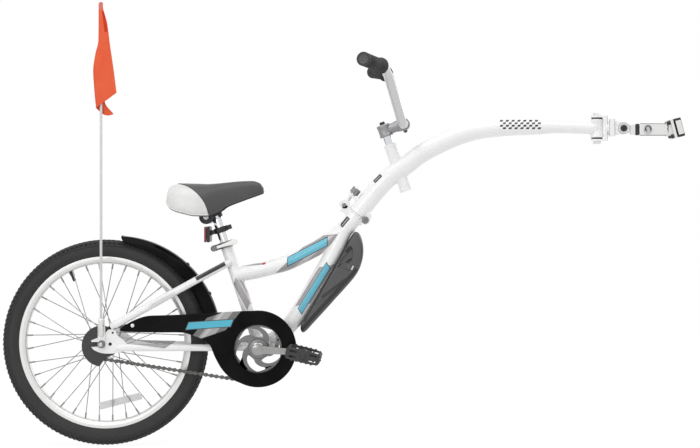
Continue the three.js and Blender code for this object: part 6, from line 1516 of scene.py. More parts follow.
def link_pair(gap, thick, tall, waist, sleeve):
    """Two waisted link plates with what joins them: pins, or rollers."""
    half = LINK_PITCH / 2
    outline = []
    for centre, first, middle in ((half, -120, waist), (-half, 60, -waist)):
        for degrees in range(first, first + 241, 40):
            a = math.radians(degrees)
            outline.append((centre + tall * math.cos(a), tall * math.sin(a)))
        outline.append((0, middle))
    plates = [slab(outline, low, low + thick) for low in (-gap - thick, gap)]
    joints = [
        rod(Vector((x, -gap - sleeve[1], 0)), Vector((x, gap + sleeve[1], 0)), sleeve[0], 0, 8) for x in (-half, half)
    ]
    return together(*plates, *joints)


for name, parity, piece, stands_for in (
    ("chain_outer_links", 0, link_pair(2.7, 1.0, 4.7, 2.2, (1.7, 1.3)), ("chain",)),
    ("chain_inner_links", 1, link_pair(1.6, 1.0, 4.4, 1.9, (3.6, 0.0)), ()),
):
    places = []
    for k in range(parity, links, 2):
        a, b = pins[k], pins[(k + 1) % links]
        way = (b - a).normalized()
        places.append(((a + b) / 2, way, way.cross(ACROSS)))
    in_places(name, piece, places, CHAIN_STEEL, BODY_OF["chain"], stands_for, smooth_angle=30)


# One tooth: shares of its pitch with the height of its outline over the pitch circle
TOOTH = [(0.0, -3.9), (0.14, -3.0), (0.27, 0.2), (0.40, 3.6), (0.5, 4.6), (0.60, 3.6), (0.73, 0.2), (0.86, -3.0)]


def toothed(teeth, centre):
    """The outline of a chain wheel."""
    pitch_r = CHAIN_PITCH / (2 * math.sin(math.pi / teeth))
    outline = []
    for k in range(teeth):
        for share, rise in TOOTH:
            a = TURN * (k + share) / teeth
            outline.append((centre.x + (pitch_r + rise) * math.cos(a), centre.z + (pitch_r + rise) * math.sin(a)))
    return outline


def swirl_windows(centre):
    """Five comma-shaped windows between the ring's swirling arms."""
    windows = []
    for k in range(5):
        start = TURN * k / 5 - CRANK_TILT
        lead, trail = [], []
        for i in range(9):
            s = i / 8
            r = RING_R * (0.345 + 0.355 * s)
            wide = 0.50 + 0.20 * s
            a = start + TURN / 5 * (0.80 * s**1.6)
            lead.append((r * math.cos(a), r * math.sin(a)))
            trail.append((r * math.cos(a + TURN / 5 * wide), r * math.sin(a + TURN / 5 * wide)))
        windows.append(placed_outline(eased_outline(lead + trail[::-1], 2), centre))
    return windows


ring_plate = slab(toothed(40, CRANK), CHAIN_Y - 1.4, CHAIN_Y + 1.4, swirl_windows(CRANK))
finished("swirl_chainring", ring_plate, DISC_STEEL, BODY_OF["chainring"], ("chainring",), 0.45, 2)
spider = turned(
    [(9.9, -47.6), (16, -47.6), (17.5, -46.8), (23.2, -46.4), (24, -45.6), (24, -43.0), (9.9, -43.0)], CRANK, ACROSS, 64
)
finished("chainring_spider", spider, DISC_STEEL, BODY_OF["chainring"])
lock_nut = hex_head(15.5, 5.5, 0.8, 9.8)
in_places("crank_lock_nut", lock_nut, [(CRANK + ACROSS * -47.6, AHEAD, -ACROSS)], CHROME, BODY_OF["chainring"])
finished(
    "rear_sprocket_disc",
    together(
        slab(toothed(18, AXLE), CHAIN_Y - 1.3, CHAIN_Y + 1.3, [circle((AXLE.x, AXLE.z), 14.5, 40)]),
        turned([(12.6, -45.6), (22, -45.6), (23, -44.6), (23, -37.6), (12.6, -37.6)], AXLE, ACROSS, 48),
    ),
    ZINC, BODY_OF["rear_sprocket"], ("rear_sprocket",), 0.3, 2,
)

arms = []
for side in (-1, 1):
    way = ARM_WAY * -side
    flat = circle((ARM_LENGTH, 0), 11.8, 24, -1.9, 1.9) + [(96, 8.2), (60, 7.6), (28, 8.6)]
    flat += circle((0, 0), 13.6, 28, 0.75, TURN - 0.75) + [(28, -8.6), (60, -7.6), (96, -8.2)]
    outline = [(CRANK.x + way.x * x + ARM_UP.x * z, CRANK.z + way.z * x + ARM_UP.z * z) for x, z in flat]
    arms.append(slab(outline, *sorted((side * 62, side * 74))))
    eye = CRANK + way * ARM_LENGTH
    arms.append(across_rod(eye, *sorted((side * 61.4, side * 75.4)), 9.6, 1.0, 36))
    arms.append(
        turned([(0, 60.5), (13.4, 60.5), (13.4, 62), (12, 75.2), (9, 76.4), (0, 76.4)], CRANK, ACROSS * side, 48)
    )
    spindle_rows = [(0, 68), (8, 68), (8, 79), (7.2, 80.6), (5.5, 81.2), (5.5, 164.5), (4.8, 165.8), (0, 165.8)]
    arms.append(turned(spindle_rows, eye, ACROSS * side, 32))
axle_bar = across_rod(CRANK, -70, 70, 9.5, 0.6, 48)
finished("one_piece_crank", together(axle_bar, *arms), CRANK_CHROME, BODY_OF["crank"], ("crank",), 1.4, 3)
CUP_ROWS = [
    (10.2, 30), (24, 30), (26.6, 34.4), (26.8, 36.4), (25.6, 37.6), (21, 38.2), (19.5, 37.2), (13, 37.4),
    (10.2, 37.0),
]
cups = [turned(CUP_ROWS, CRANK, ACROSS * side, 56) for side in (-1, 1)]
finished("bearing_cups", together(*cups), ZINC, BODY_OF["crank_bearings"], ("crank_bearings",))

PEDAL_TILT = math.radians(14)
PEDAL_WAY = Vector((math.cos(PEDAL_TILT), 0, -math.sin(PEDAL_TILT)))
PEDAL_UP = Vector((math.sin(PEDAL_TILT), 0, math.cos(PEDAL_TILT)))
PEDAL_CHEEK = [(-40, -9.6), (-30, -14.6), (30, -14.6), (40, -9.6), (40, 9.6), (30, 14.6), (-30, 14.6), (-40, 9.6)]


def pedal_frame(side):
    """The pedal's two cheeks, its bars, its core and the ribs between them."""
    centre = CRANK + ARM_WAY * (-side * ARM_LENGTH) + ACROSS * side * 81

    def local(x, z):
        spot = centre + PEDAL_WAY * x + PEDAL_UP * z
        return spot.x, spot.z

    def cheek(low, high, holes):
        outline = [local(x, z) for x, z in eased_outline(PEDAL_CHEEK, 2)]
        cut = [[local(x, z) for x, z in hole] for hole in holes]
        return slab(outline, *sorted((centre.y + side * low, centre.y + side * high)), cut)

    slots = []
    for x in (-24, 24):
        for z in (-6.2, 6.2):
            slots.append([(x - 8.5, z - 2.3), (x + 8.5, z - 2.3), (x + 8.5, z + 2.3), (x - 8.5, z + 2.3)])
    parts = [cheek(0.4, 7.4, slots), cheek(79, 85.8, slots)]
    for x in (-36.4, 36.4):
        outline = [local(x + dx, dz) for dx, dz in ((-3.4, -11.4), (3.4, -11.4), (3.4, 11.4), (-3.4, 11.4))]
        parts.append(slab(outline, *sorted((centre.y + side * 5, centre.y + side * 81))))
    for y in (28, 54):
        outline = [local(dx, dz) for dx, dz in ((-35, -8), (35, -8), (35, 8), (-35, 8))]
        parts.append(slab(outline, *sorted((centre.y + side * (y - 1.8), centre.y + side * (y + 1.8)))))
    core = CRANK + ARM_WAY * (-side * ARM_LENGTH)
    low, high = sorted((side * 82, side * 166))
    parts.append(across_rod(core, low, high, 11, 1.0, 40))
    parts.append(across_rod(core, *sorted((side * 165, side * 168.4)), 7.6, 1.4, 32))
    places = []
    for face in (-1, 1):
        for x in (-35.2, -23.5, -11.8, 0, 11.8, 23.5, 35.2):
            for y in (3.9, 82.4):
                rise = 14.4 if abs(x) < 30 else 11.8
                at = centre + PEDAL_WAY * x + PEDAL_UP * face * rise + ACROSS * side * y
                places.append((at, PEDAL_WAY, PEDAL_UP * face))
        for x in (-36.4, 36.4):
            for y in (15, 28, 41, 54, 67):
                at = centre + PEDAL_WAY * x + PEDAL_UP * face * 11.2 + ACROSS * side * y
                places.append((at, PEDAL_WAY, PEDAL_UP * face))
    for end in (-1, 1):
        for z in (-7, 0, 7):
            for y in (4, 22, 43, 64, 82):
                at = centre + PEDAL_WAY * end * 39.4 + PEDAL_UP * z + ACROSS * side * y
                places.append((at, PEDAL_UP, PEDAL_WAY * end))
    return together(*parts), places


for side in (-1, 1):
    node = f"pedal_{SIDE_NAMES[side]}"
    frame_parts, knob_places = pedal_frame(side)
    finished(f"{node}_frame", frame_parts, PEDAL_BLACK, BODY_OF[node], (node,), 0.8, 2)
    knob = turned([(0, -1), (2.5, -1), (2.3, 0.9), (1.5, 1.9), (0, 2.0)], ORIGIN, UP, 10)
    in_places(f"{node}_knobs", knob, knob_places, PEDAL_BLACK, BODY_OF[node], smooth_angle=50)

# ---------------------------------------------------------------------------------------------------------------
# Seat collar, seatpost, rear reflector and saddle


def placed(bm, origin, along, up):
    """A piece built on its own axes, put where its origin and its two main directions say."""
    side = up.cross(along)
    for v in bm.verts:
        v.co = origin + along * v.co.x + side * v.co.y + up * v.co.z
    return bm


def seat_placed(bm):
    return placed(bm, SEAT_TOP, SEAT_FRONT, SEAT_UP)


def seat_point(x, y, z):
    return SEAT_TOP + SEAT_FRONT * x + ACROSS * y + SEAT_UP * z


def upright_slab(outline, low, high, holes=()):
    """A slab lying flat: its outline in plan, its faces at two heights."""
    bm = slab(outline, low, high, holes)
    for v in bm.verts:
        v.co = Vector((v.co.x, v.co.z, v.co.y))
    bmesh.ops.recalc_face_normals(bm, faces=bm.faces)
    return bm


SKEWER_AT = seat_point(-28, 0, -7.5)


def knurled(radius, bumps, depth, low, high):
    """A knurled disc on the collar's skewer."""
    outline = []
    for k in range(bumps):
        a, swell = TURN * k / bumps, 1 + depth * (k % 2)
        outline.append((radius * math.cos(a) * swell, radius * math.sin(a) * swell))
    return placed(slab(outline, low, high), SKEWER_AT, SEAT_FRONT, SEAT_UP)


collar_ring = turned(
    [
        (14.9, -14.6), (18.6, -14.6), (19.4, -13.6), (19.4, -9.6), (18.9, -9.2), (18.9, -5.4), (19.4, -5.0),
        (19.4, -1.4), (18.5, -0.3), (14.9, -0.3),
    ],
    SEAT_TOP, SEAT_UP, 72,
)
ears = [
    seat_placed(
        upright_slab([(-32.8, s * 1.6), (-32.8, s * 8.8), (-15.2, s * 8.8), (-13.4, s * 1.6)], -14.4, -0.6)
    ) for s in (-1, 1)
]
finished(
    "seat_collar_clamp", together(collar_ring, *ears), DISC_STEEL, BODY_OF["seat_collar"], ("seat_collar",), 0.7, 2,
)
collar_skewer = rod(seat_point(-28, -21.5, -7.5), seat_point(-28, 16.2, -7.5), 2.9, 0.5, 24)
lever_body = BODY_OF["seat_lever"]
cam_head = across_rod(SKEWER_AT, -28.4, -27.0, 5.0, 0.5, 36)
lever_line = [
    (-2, 3.2), (12, 3.4), (30, 4.0), (47, 6.4), (55, 6.8), (59, 3.0), (59, -3.0), (55, -6.8), (47, -6.4), (30, -4.0),
    (12, -3.4), (-2, -3.2),
]
lever_plate = placed(slab(eased_outline(lever_line, 2), -24.8, -20.4), SKEWER_AT, SEAT_FRONT, SEAT_UP)
finished("seat_lever_handle", lever_plate, ALLOY, lever_body, ("seat_lever",), 1.0, 3)
finished(
    "collar_thumb_nut",
    together(collar_skewer, cam_head, knurled(7.2, 40, 0.07, -27.6, -20.2), knurled(7.4, 48, 0.05, 9.2, 14.8)),
    DISC_STEEL, lever_body, (), 0.4, 2,
)

POST_RINGS = [(-134.8, 11.6), (-134.0, 12.6), (57.0, 12.6), (58.4, 12.2), (64.6, 12.0), (64.9, 10.6)]
post_tube = turned([*[(r, z) for z, r in POST_RINGS], (10.5, 64.9), (10.5, -134.8)], SEAT_TOP, SEAT_UP, 64)
head_line = [
    (-21, 58.6), (10, 58.6), (14.2, 62), (14.2, 70), (10, 73.6), (-14, 75.5), (-20, 78.4), (-27, 76.4), (-30.4, 70),
    (-28.5, 63.5),
]
head_block = seat_placed(slab(eased_outline(head_line, 2), -11, 11))
barrel = across_rod(seat_point(-21.8, 0, 69.8), -13, 13, 9, 0.8, 40)
finished("seatpost_tube", post_tube, CHROME, BODY_OF["seatpost"], ("seatpost",))
finished("seatpost_head", together(head_block, barrel), BLACK_STEEL, BODY_OF["seatpost"], (), 1.2, 3)

clamp_band = turned(
    [(12.9, 23.4), (16.2, 23.4), (16.9, 24.4), (16.9, 35.6), (16.2, 36.6), (12.9, 36.6)], SEAT_TOP, SEAT_UP, 64
)
clamp_lugs = [
    seat_placed(
        upright_slab([(14.5, s * 1.0), (14.5, s * 7.6), (22.0, s * 7.6), (26.4, s * 5.6), (26.4, s * 1.0)], 24.6, 35.4)
    ) for s in (-1, 1)
]
clamp_screw = across_rod(seat_point(20.5, 0, 30), -10.4, 10.4, 3.6, 0.8, 24)
arm_line = [(-14.2, 24.8), (-14.2, 35.2), (-20, 35.4), (-30.2, 37.4), (-30.2, 23.6), (-21, 25.0)]
arm_block = seat_placed(slab(arm_line, -7.8, 7.8))
REFLECTOR_AT = seat_point(-35, 0, 30)
base_line = eased_outline([(0.6, 19), (7.2, 19), (9, 15.5), (9, -15.5), (7.2, -19), (0.6, -19)], 1)
backing = placed(slab(base_line, -22.8, 22.8), REFLECTOR_AT, AHEAD, UP)
bracket_parts = together(clamp_band, *clamp_lugs, clamp_screw, arm_block, backing)
finished("reflector_holder", bracket_parts, BLACK_STEEL, BODY_OF["reflector_bracket"], ("reflector_bracket",), 0.8, 2)
lens_flat = [(-5.1, -17.4), (-3.9, -18.8), (-0.4, -18.8), (-0.4, 18.8), (-3.9, 18.8), (-5.1, 17.4)]
lens_block = placed(slab(lens_flat, -22.6, 22.6), REFLECTOR_AT, AHEAD, UP)
finished("rear_red_lens", lens_block, RED_LENS, BODY_OF["reflector_lens"], ("reflector_lens",), 0.7, 2)
prism = turned([(0, -0.2), (2.3, -0.2), (1.2, 0.42), (0, 1.0)], ORIGIN, UP, 6)
facets = []
for row in range(-8, 9):
    for column in range(-5, 6):
        y, z = row * 2.45, column * 3.1 + (row % 2) * 1.55
        if abs(z) < 16.6:
            facets.append((REFLECTOR_AT + Vector((-5.0, y, z)), ACROSS, -AHEAD))
in_places(
    "rear_lens_prisms", prism, facets, RED_LENS, BODY_OF["reflector_lens"], size=(0.6, 0.6, 0.35), smooth_angle=10,
)

SADDLE_AT = Vector((-1126.01, 0, -212.95))
# Shares of the length, then of the width, of the height along the middle and of the height at the edge
SADDLE_ROWS = [
    (0, 0.52, 0.68, 0.43), (0.02, 0.68, 0.82, 0.34), (0.058, 0.82, 0.893, 0.26), (0.11, 0.915, 0.922, 0.20),
    (0.186, 0.98, 0.935, 0.15), (0.3, 1, 0.935, 0.085), (0.42, 0.88, 0.925, 0.075), (0.525, 0.64, 0.935, 0.16),
    (0.62, 0.44, 0.955, 0.325), (0.683, 0.37, 0.97, 0.395), (0.75, 0.31, 0.985, 0.46),
    (0.88, 0.255, 0.995, 0.585), (0.96, 0.19, 0.935, 0.66), (1, 0.09, 0.80, 0.70),
]


def eased(pairs, s):
    """A value along given shares, on a curve that never swings past the values given."""
    k = max(1, next((i for i, (at, _) in enumerate(pairs) if at >= s), len(pairs) - 1))
    (s0, v0), (s1, v1) = pairs[k - 1], pairs[k]
    t = (s - s0) / (s1 - s0)

    def rise_after(i):
        return (pairs[i + 1][1] - pairs[i][1]) / (pairs[i + 1][0] - pairs[i][0])

    def slope(i):
        if i in (0, len(pairs) - 1):
            return rise_after(0 if i == 0 else i - 1)
        left, right = rise_after(i - 1), rise_after(i)
        return 0.0 if left * right <= 0 else 2 * left * right / (left + right)

    m0, m1 = slope(k - 1) * (s1 - s0), slope(k) * (s1 - s0)
    return (2 * t**3 - 3 * t**2 + 1) * v0 + (t**3 - 2 * t**2 + t) * m0 + (3 * t**2 - 2 * t**3) * v1 + (t**3 - t**2) * m1


SADDLE_RUNS = [[(row[0], row[c]) for row in SADDLE_ROWS] for c in (1, 2, 3)]


def saddle_point(s, a, wide_share, high_share, drop=0.0):
    """A point of the saddle's arch: s along its length, a round the arch from one edge over the top to the other."""
    wide, top, edge = (eased(pairs, s) for pairs in SADDLE_RUNS)
    c, n = math.cos(a), abs(math.sin(a))
    across = math.copysign(abs(c) ** 0.72, c)
    up = n**0.72
    dip = 1.6 * math.exp(-((s - 0.35) / 0.18) ** 2) * math.exp(-((c / 0.25) ** 2))
    height = 86 * (edge + (top - edge) * high_share * up) + 1 - dip * (high_share > 0.9) - drop
    return SADDLE_AT + Vector((228.5 * s - 93, 76.0 * wide * wide_share * across, height))


def saddle_skin(sections, rows, columns):
    """A closed shell: for each share of the length, one loop over the top and back underneath."""
    verts = []
    for r in range(rows + 1):
        s = 0.5 - 0.5 * math.cos(math.pi * r / rows)
        loop = []
        for wide_share, high_share, drop, backwards in sections:
            arch = [saddle_point(s, math.pi * i / columns, wide_share, high_share, drop) for i in range(columns + 1)]
            loop += arch[::-1] if backwards else arch
        verts += loop
    count = len(loop)
    faces = grid_faces(rows + 1, count)
    first, last = list(range(count)), list(range(rows * count, (rows + 1) * count))
    half = columns + 1
    for ring, turned_round in ((first, True), (last, False)):
        for i in range(half - 1):
            face = (ring[i], ring[i + 1], ring[count - 2 - i], ring[count - 1 - i])
            faces.append(tuple(reversed(face)) if turned_round else face)
    bm = skin(verts, faces)
    bmesh.ops.remove_doubles(bm, verts=bm.verts, dist=0.01)
    bmesh.ops.recalc_face_normals(bm, faces=bm.faces)
    return bm


def disc_patch(material, centre, radius, colour, rough):
    """Gives a finish a second colour and roughness inside a circle seen from the side."""
    tree = material.node_tree
    shader = tree.nodes["Principled BSDF"]
    spot = put(tree, "ShaderNodeSeparateXYZ", {0: put(tree, "ShaderNodeTexCoord").outputs["Object"]})
    x = maths(tree, "SUBTRACT", spot.outputs[0], centre[0] * MM)
    z = maths(tree, "SUBTRACT", spot.outputs[2], centre[1] * MM)
    reach = maths(tree, "SQRT", maths(tree, "ADD", maths(tree, "MULTIPLY", x, x), maths(tree, "MULTIPLY", z, z)))
    inside = put(tree, "ShaderNodeMapRange", {0: reach, 1: (radius + 0.4) * MM, 2: (radius - 0.4) * MM}).outputs[0]
    worn = put(tree, "ShaderNodeTexNoise", {"Scale": 26.0, "Detail": 3.0}).outputs[0]
    toned = mixed(tree, worn, colour, tuple(c * 0.80 for c in colour[:3]) + (1,))
    tree.links.new(
        mixed(tree, inside, shader.inputs["Base Color"].links[0].from_socket, toned), shader.inputs["Base Color"],
    )
    old_rough = shader.inputs["Roughness"].links[0].from_socket
    level = maths(tree, "MULTIPLY_ADD", inside, maths(tree, "SUBTRACT", rough, old_rough), old_rough)
    tree.links.new(level, shader.inputs["Roughness"])


PANEL_CENTRE, PANEL_RADIUS = (-1199.0, -217.0), 84.0
SADDLE_COVER = finish(
    "black_and_silver_vinyl", grey(0.060), grey(0.078), (14.0, 400.0, 0.5), (0.40, 0.50),
    grain=(1500.0, 0.5, 0.35, 0.12),
)
disc_patch(SADDLE_COVER, PANEL_CENTRE, PANEL_RADIUS, (0.84, 0.84, 0.83, 1), 0.27)
cushion = saddle_skin([(1.0, 1.0, 0.0, False), (0.93, 0.72, 3.2, True)], 96, 64)
cushion_obj = finished(
    "padded_saddle_top", cushion, SADDLE_COVER, BODY_OF["saddle_cushion"], ("saddle_cushion",), smooth_angle=60,
)
seam = []
for k in range(121):
    a = math.pi * k / 120
    low, high = 0.0, 1.0
    for _ in range(24):
        mid = (low + high) / 2
        p = saddle_point(mid, a, 1.0, 1.0)
        if math.hypot(p.x - PANEL_CENTRE[0], p.z - PANEL_CENTRE[1]) < PANEL_RADIUS or p.x < PANEL_CENTRE[0]:
            low = mid
        else:
            high = mid
    seam.append(saddle_point(low, a, 1.0, 1.0))
for name, part in (
    ("saddle_seam_right", [p for p in seam if p.y < -16]), ("saddle_seam_left", [p for p in seam if p.y > 16]),
):
    bead(name, part, VINYL, BODY_OF["saddle_cushion"], 1.1, 3.2, 0.25, False)
rim_points = []
for way, around in ((-1, 0.0), (1, math.pi)):
    for k in range(91):
        share = 0.5 + way * 0.5 * math.cos(math.pi * k / 90)
        rim_points.append(saddle_point(share, around, 0.985, 1.0) - UP * 0.6)
bead("saddle_edge_piping", rim_points, SADDLE_COVER, BODY_OF["saddle_cushion"], 1.7, 6.0, 0.0)
base = saddle_skin([(0.905, 0.66, 3.6, False), (0.82, 0.58, 5.4, True)], 72, 40)
finished("moulded_saddle_base", base, CHARCOAL, BODY_OF["saddle_base"], ("saddle_base",), smooth_angle=60)


def under_base(share):
    _, top, edge = (stepped(pairs, share) for pairs in SADDLE_RUNS)
    return 86 * (edge + (top - edge) * 0.59) + 1


def rail_side(side):
    spots = [
        (-52, side * 21, under_base(0.2) - 7), (-30, side * 21, 9), (-20, side * 21, 9), (20, side * 21, 9),
        ((20 + 77.25) / 2, side * 14.7, (9 + under_base(0.75)) / 2),
    ]
    return [SADDLE_AT + Vector(spot) for spot in spots]


rail_line = smooth_line(
    [*rail_side(-1), SADDLE_AT + Vector((77.25, 0, under_base(0.75) - 3.8)), *rail_side(1)[::-1]], 140,
)
swept("saddle_rail_wire", rail_line, lambda s: 3.5, BLACK_STEEL, BODY_OF["saddle_rails"], ("saddle_rails",), 16)
drum = across_rod(SADDLE_AT, -27, 27, 16.9, 1.6, 64)
drum_bolts = [across_rod(SADDLE_AT, *sorted((side * 26, side * 30.6)), 6.4, 1.0, 24) for side in (-1, 1)]
washers = [across_rod(SADDLE_AT, *sorted((side * 26.4, side * 28.4)), 12.2, 0.6, 36) for side in (-1, 1)]
finished("saddle_clamp_drum", together(drum, *washers), BLACK_STEEL, BODY_OF["saddle_clamp"], ("saddle_clamp",), 0.8, 2)
finished("saddle_clamp_bolts", together(*drum_bolts), ZINC, BODY_OF["saddle_clamp"], (), 0.4, 2)

# ---------------------------------------------------------------------------------------------------------------
# Flag: bracket, pole, and the orange cloth folded round the pole

POLE_Y = -69.8
POLE_FOOT = Vector((AXLE.x, POLE_Y, AXLE.z))
POLE_TOP = AXLE.z + 812.3
strap_line = circle((0, 0), 9, 17, math.pi, TURN)
strap_line += [(9, 40), (7.4, 46), (7.4, 58), (5, 61.6), (-5, 61.6), (-7.4, 58), (-7.4, 46), (-9, 40)]
strap = slab(placed_outline(strap_line, AXLE), -63.6, -60.9, [circle((AXLE.x, AXLE.z), 5.4, 28)])
socket = turned(
    [(3.6, 20), (5.2, 20), (5.9, 21), (5.9, 54), (6.3, 55), (6.3, 60.5), (5.6, 61.6), (3.6, 61.6)], POLE_FOOT, UP, 32
)
finished("flag_pole_bracket", together(strap, socket), ALLOY, BODY_OF["flag_bracket"], ("flag_bracket",), 0.5, 2)
pole = turned([(0, 22.6), (2.9, 22.6), (3.15, 23.4), (3.15, 811.2), (2.4, 812.1), (0, 812.3)], POLE_FOOT, UP, 24)
finished("glass_fibre_pole", pole, GLASS_FIBRE, BODY_OF["flag_pole"], ("flag_pole",))

# Shares down the flag with, at each, the place across and the drop of: back edge, fold, front edge
FLAG_BACK = [
    (0, 1.0, 5), (0.2, 6, 42), (0.4, 9, 92), (0.65, 10, 160), (0.85, 4.5, 222), (0.92, 8, 240), (1, 27.4, 264.5),
]
FLAG_FOLD = [
    (0, -5.3, 2), (0.2, -5.4, 46), (0.4, -6.0, 90), (0.55, -13.5, 124), (0.7, -18.3, 162), (0.85, -15.8, 206),
    (1, -11.6, 250),
]
FLAG_FRONT = [(0, 3.4, 3), (0.06, 5.6, 16), (0.2, 15.0, 50), (0.4, 21.6, 100), (0.7, 31.0, 162), (1, 38.2, 214.5)]


def cloth_point(u, v):
    """A point of the flag: u from its back edge, round the fold, to its front edge, and v downwards."""
    back, fold, front = (
        Vector((eased([(s, x) for s, x, _ in edge], v), eased([(s, z) for s, _, z in edge], v)))
        for edge in (FLAG_BACK, FLAG_FOLD, FLAG_FRONT)
    )
    wave = math.sin(TURN * (1.15 * u + 0.25 * v)) * 2.2 * v + math.sin(TURN * (3.1 * u - 0.9 * v) + 0.7) * 1.5 * v
    if u < 0.5:
        t = u / 0.5
        spot = back.lerp(fold, t)
        spot.y += 9.0 * math.sin(math.pi * t) * max(0, v - 0.8) / 0.2
        away = math.sqrt(max(0.0, 1 - t**6))
        y = POLE_Y + (4.6 + 2.2 * v) * away + 0.6 * wave * (1 - t)
    else:
        t = (u - 0.5) / 0.5
        spot = fold.lerp(front, t)
        away = math.sqrt(max(0.0, 1 - (1 - t) ** 6))
        y = POLE_Y - (5.0 + 3.2 * v) * away - (wave + 1.6 * v) * min(1, t * 1.5) * (0.4 + 0.6 * t)
    return Vector((AXLE.x + spot.x, y, POLE_TOP - spot.y))


cloth_rows, cloth_columns = 110, 64
cloth = [
    [cloth_point(c / cloth_columns, r / cloth_rows) for c in range(cloth_columns + 1)] for r in range(cloth_rows + 1)
]


def thin_sheet(grid, thick):
    """A thin closed sheet through a grid of points, and the area of its middle surface."""
    rows, columns = len(grid), len(grid[0])
    area = 0.0
    outer, inner = [], []
    for r, row in enumerate(grid):
        for c, p in enumerate(row):
            down = grid[min(r + 1, rows - 1)][c] - grid[max(r - 1, 0)][c]
            side = row[min(c + 1, columns - 1)] - row[max(c - 1, 0)]
            n = side.cross(down).normalized() * thick / 2
            outer.append(p + n)
            inner.append(p - n)
            if r and c:
                area += (grid[r - 1][c - 1] - p).cross(grid[r][c - 1] - grid[r - 1][c]).length / 2
    return shell_of(outer, inner, columns)[0], area


cloth_skin, cloth_area = thin_sheet(cloth, 0.9)
FLAG_CLOTH = finish(
    "orange_flag_cloth", (0.83, 0.125, 0.045, 1), (0.74, 0.095, 0.034, 1), (24.0, 600.0, 0.5), (0.62, 0.74),
    grain=(1700.0, 0.6, 0.3, 0.10),
    panels=[
        # Painted shade: the darker red band down the folded corner near the top. The paler patch covers the top of the
        # sleeve.
        ((0.60, 0.035, 0.008, 1), -82, -1360.5, 252, 25, 3.2, 0.0),
        ((0.70, 0.19, 0.15, 1), 90, -1370.5, 289, 9, 5.2, 0.0),
    ],
    specular=0.3,
)
flag_obj = finished("orange_flag", cloth_skin, FLAG_CLOTH, BODY_OF["flag"], ("flag",), smooth_angle=70)
hem_points = [row[-1] for row in cloth] + cloth[-1][-2::-1] + [row[0] for row in cloth[-2::-1]]
hem = bead("flag_rolled_hem", hem_points, FLAG_CLOTH, BODY_OF["flag"], 0.85, 3.0, 0.22, False)
stitch_line = [row[cloth_columns - 4] - ACROSS * 0.5 for row in cloth[3:-2]]
stitches = bead("flag_hem_stitching", stitch_line, FLAG_CLOTH, BODY_OF["flag"], 0.42, 2.0, 0.6, False)
sleeve_rows = [
    (3.35, 662), (4.4, 662), (4.5, 664), (4.5, 808), (4.2, 812.5), (2.6, 813.3), (0, 813.4), (0, 812.6), (3.3, 811.8),
]
sleeve = finished("flag_sleeve", turned(sleeve_rows, POLE_FOOT, UP, 28), FLAG_CLOTH, BODY_OF["flag"])

# ---------------------------------------------------------------------------------------------------------------
# Boom with its half of the fold joint, head tube, hinge bolt and latch knob

BOOM_RUN = [
    (0.102, 0.339), (0.147, 0.458), (0.203, 0.567), (0.27, 0.706), (0.355, 0.831), (0.439, 0.927), (0.524, 0.979),
    (0.608, 1.004), (0.693, 1.015), (0.768, 1.015), (0.841, 1.015), (0.904, 1.011), (1, 1),
]
BOOM_THICK = [(0, 0), (0.5, 0.14), (0.577, 0.353), (0.73, 0.41), (0.86, 1), (1, 1)]
BOOM_LINE = smooth_line([neck_point(8.2, 0), neck_point(40, 0), *run(FOLD, YAW, BOOM_RUN)], 130)
HEAD_TOP = Vector((-686.31, 0, -38.23))
HEAD_FOOT = HEAD_TOP - HEAD_UP * 119.4


def bored(obj, cutter):
    """Cuts a solid out of a finished piece."""
    bmesh.ops.scale(cutter, vec=(MM,) * 3, verts=cutter.verts)
    cutter_mesh = bpy.data.meshes.new("cutter")
    cutter.to_mesh(cutter_mesh)
    cutter.free()
    tool = bpy.data.objects.new("cutter", cutter_mesh)
    bpy.context.scene.collection.objects.link(tool)
    cut = obj.modifiers.new("bore", "BOOLEAN")
    cut.operation, cut.object, cut.solver = "DIFFERENCE", tool, "EXACT"
    bpy.context.view_layer.update()
    mesh = bpy.data.meshes.new_from_object(obj.evaluated_get(bpy.context.evaluated_depsgraph_get()))
    obj.modifiers.remove(cut)
    obj.data = mesh
    bpy.data.objects.remove(tool)
    smooth_round(mesh, 30)


def boom_radius(s):
    return 23.5 - 8.5 * eased(BOOM_THICK, s)


boom_obj = swept("boom_tube_bent", BOOM_LINE, boom_radius, BOOM_PAINT, BODY_OF["boom_tube"], ("boom_tube",), 64)
bored(boom_obj, rod(HEAD_FOOT - HEAD_UP * 20, HEAD_TOP + HEAD_UP * 20, 14.2, 0.2, 48))
HINGE_SPOT = (24.6, 8)
ear_flat = [(0, 8.2), (0, 30), (20, 30), (30, 23), (35.4, 10)]
ear_flat += circle(HINGE_SPOT, 11, 15, 0.0, -math.pi)
boom_parts = []
for side in (-1, 1):
    low, high = sorted((side * 10.5, side * 16.3))
    ear = slab(ear_flat, low, high, [circle(HINGE_SPOT, 4.9, 24)])
    boom_parts.append(placed(ear, FOLD, NECK_FRONT, NECK_UP))
plate_end = [(-40 - 9.8 * math.sin(math.pi * k / 14), 9.8 * math.cos(math.pi * k / 14)) for k in range(1, 14)]
plate_flat = [(0, -9.8), (0, 9.8), (-40, 9.8), *plate_end, (-40, -9.8)]
draw_plate = upright_slab(plate_flat, 30.1, 34.9, [circle((-38, 0), 4.5, 24)])
boom_parts.append(placed(draw_plate, FOLD, NECK_FRONT, NECK_UP))
finished("fold_joint_upper_half", together(*boom_parts), FRAME_PAINT, BODY_OF["boom_tube"], (), 1.0, 3)
barrel_rows = [
    (6.6, -22.2), (14.6, -22.2), (15.9, -21.2), (15.9, -15.5), (15.2, -14.6), (15.2, 14.6), (15.9, 15.5),
    (15.9, 21.2), (14.6, 22.2), (6.6, 22.2),
]
finished("yaw_barrel", turned(barrel_rows, YAW, UP, 64), FRAME_PAINT, BODY_OF["boom_tube"])
head_rows = [
    (11.5, 0), (14.6, 0), (15.4, 0.8), (15.4, 6.0), (14.9, 6.6), (14.9, 112.8), (15.4, 113.4), (15.4, 118.6),
    (14.6, 119.4), (11.5, 119.4),
]
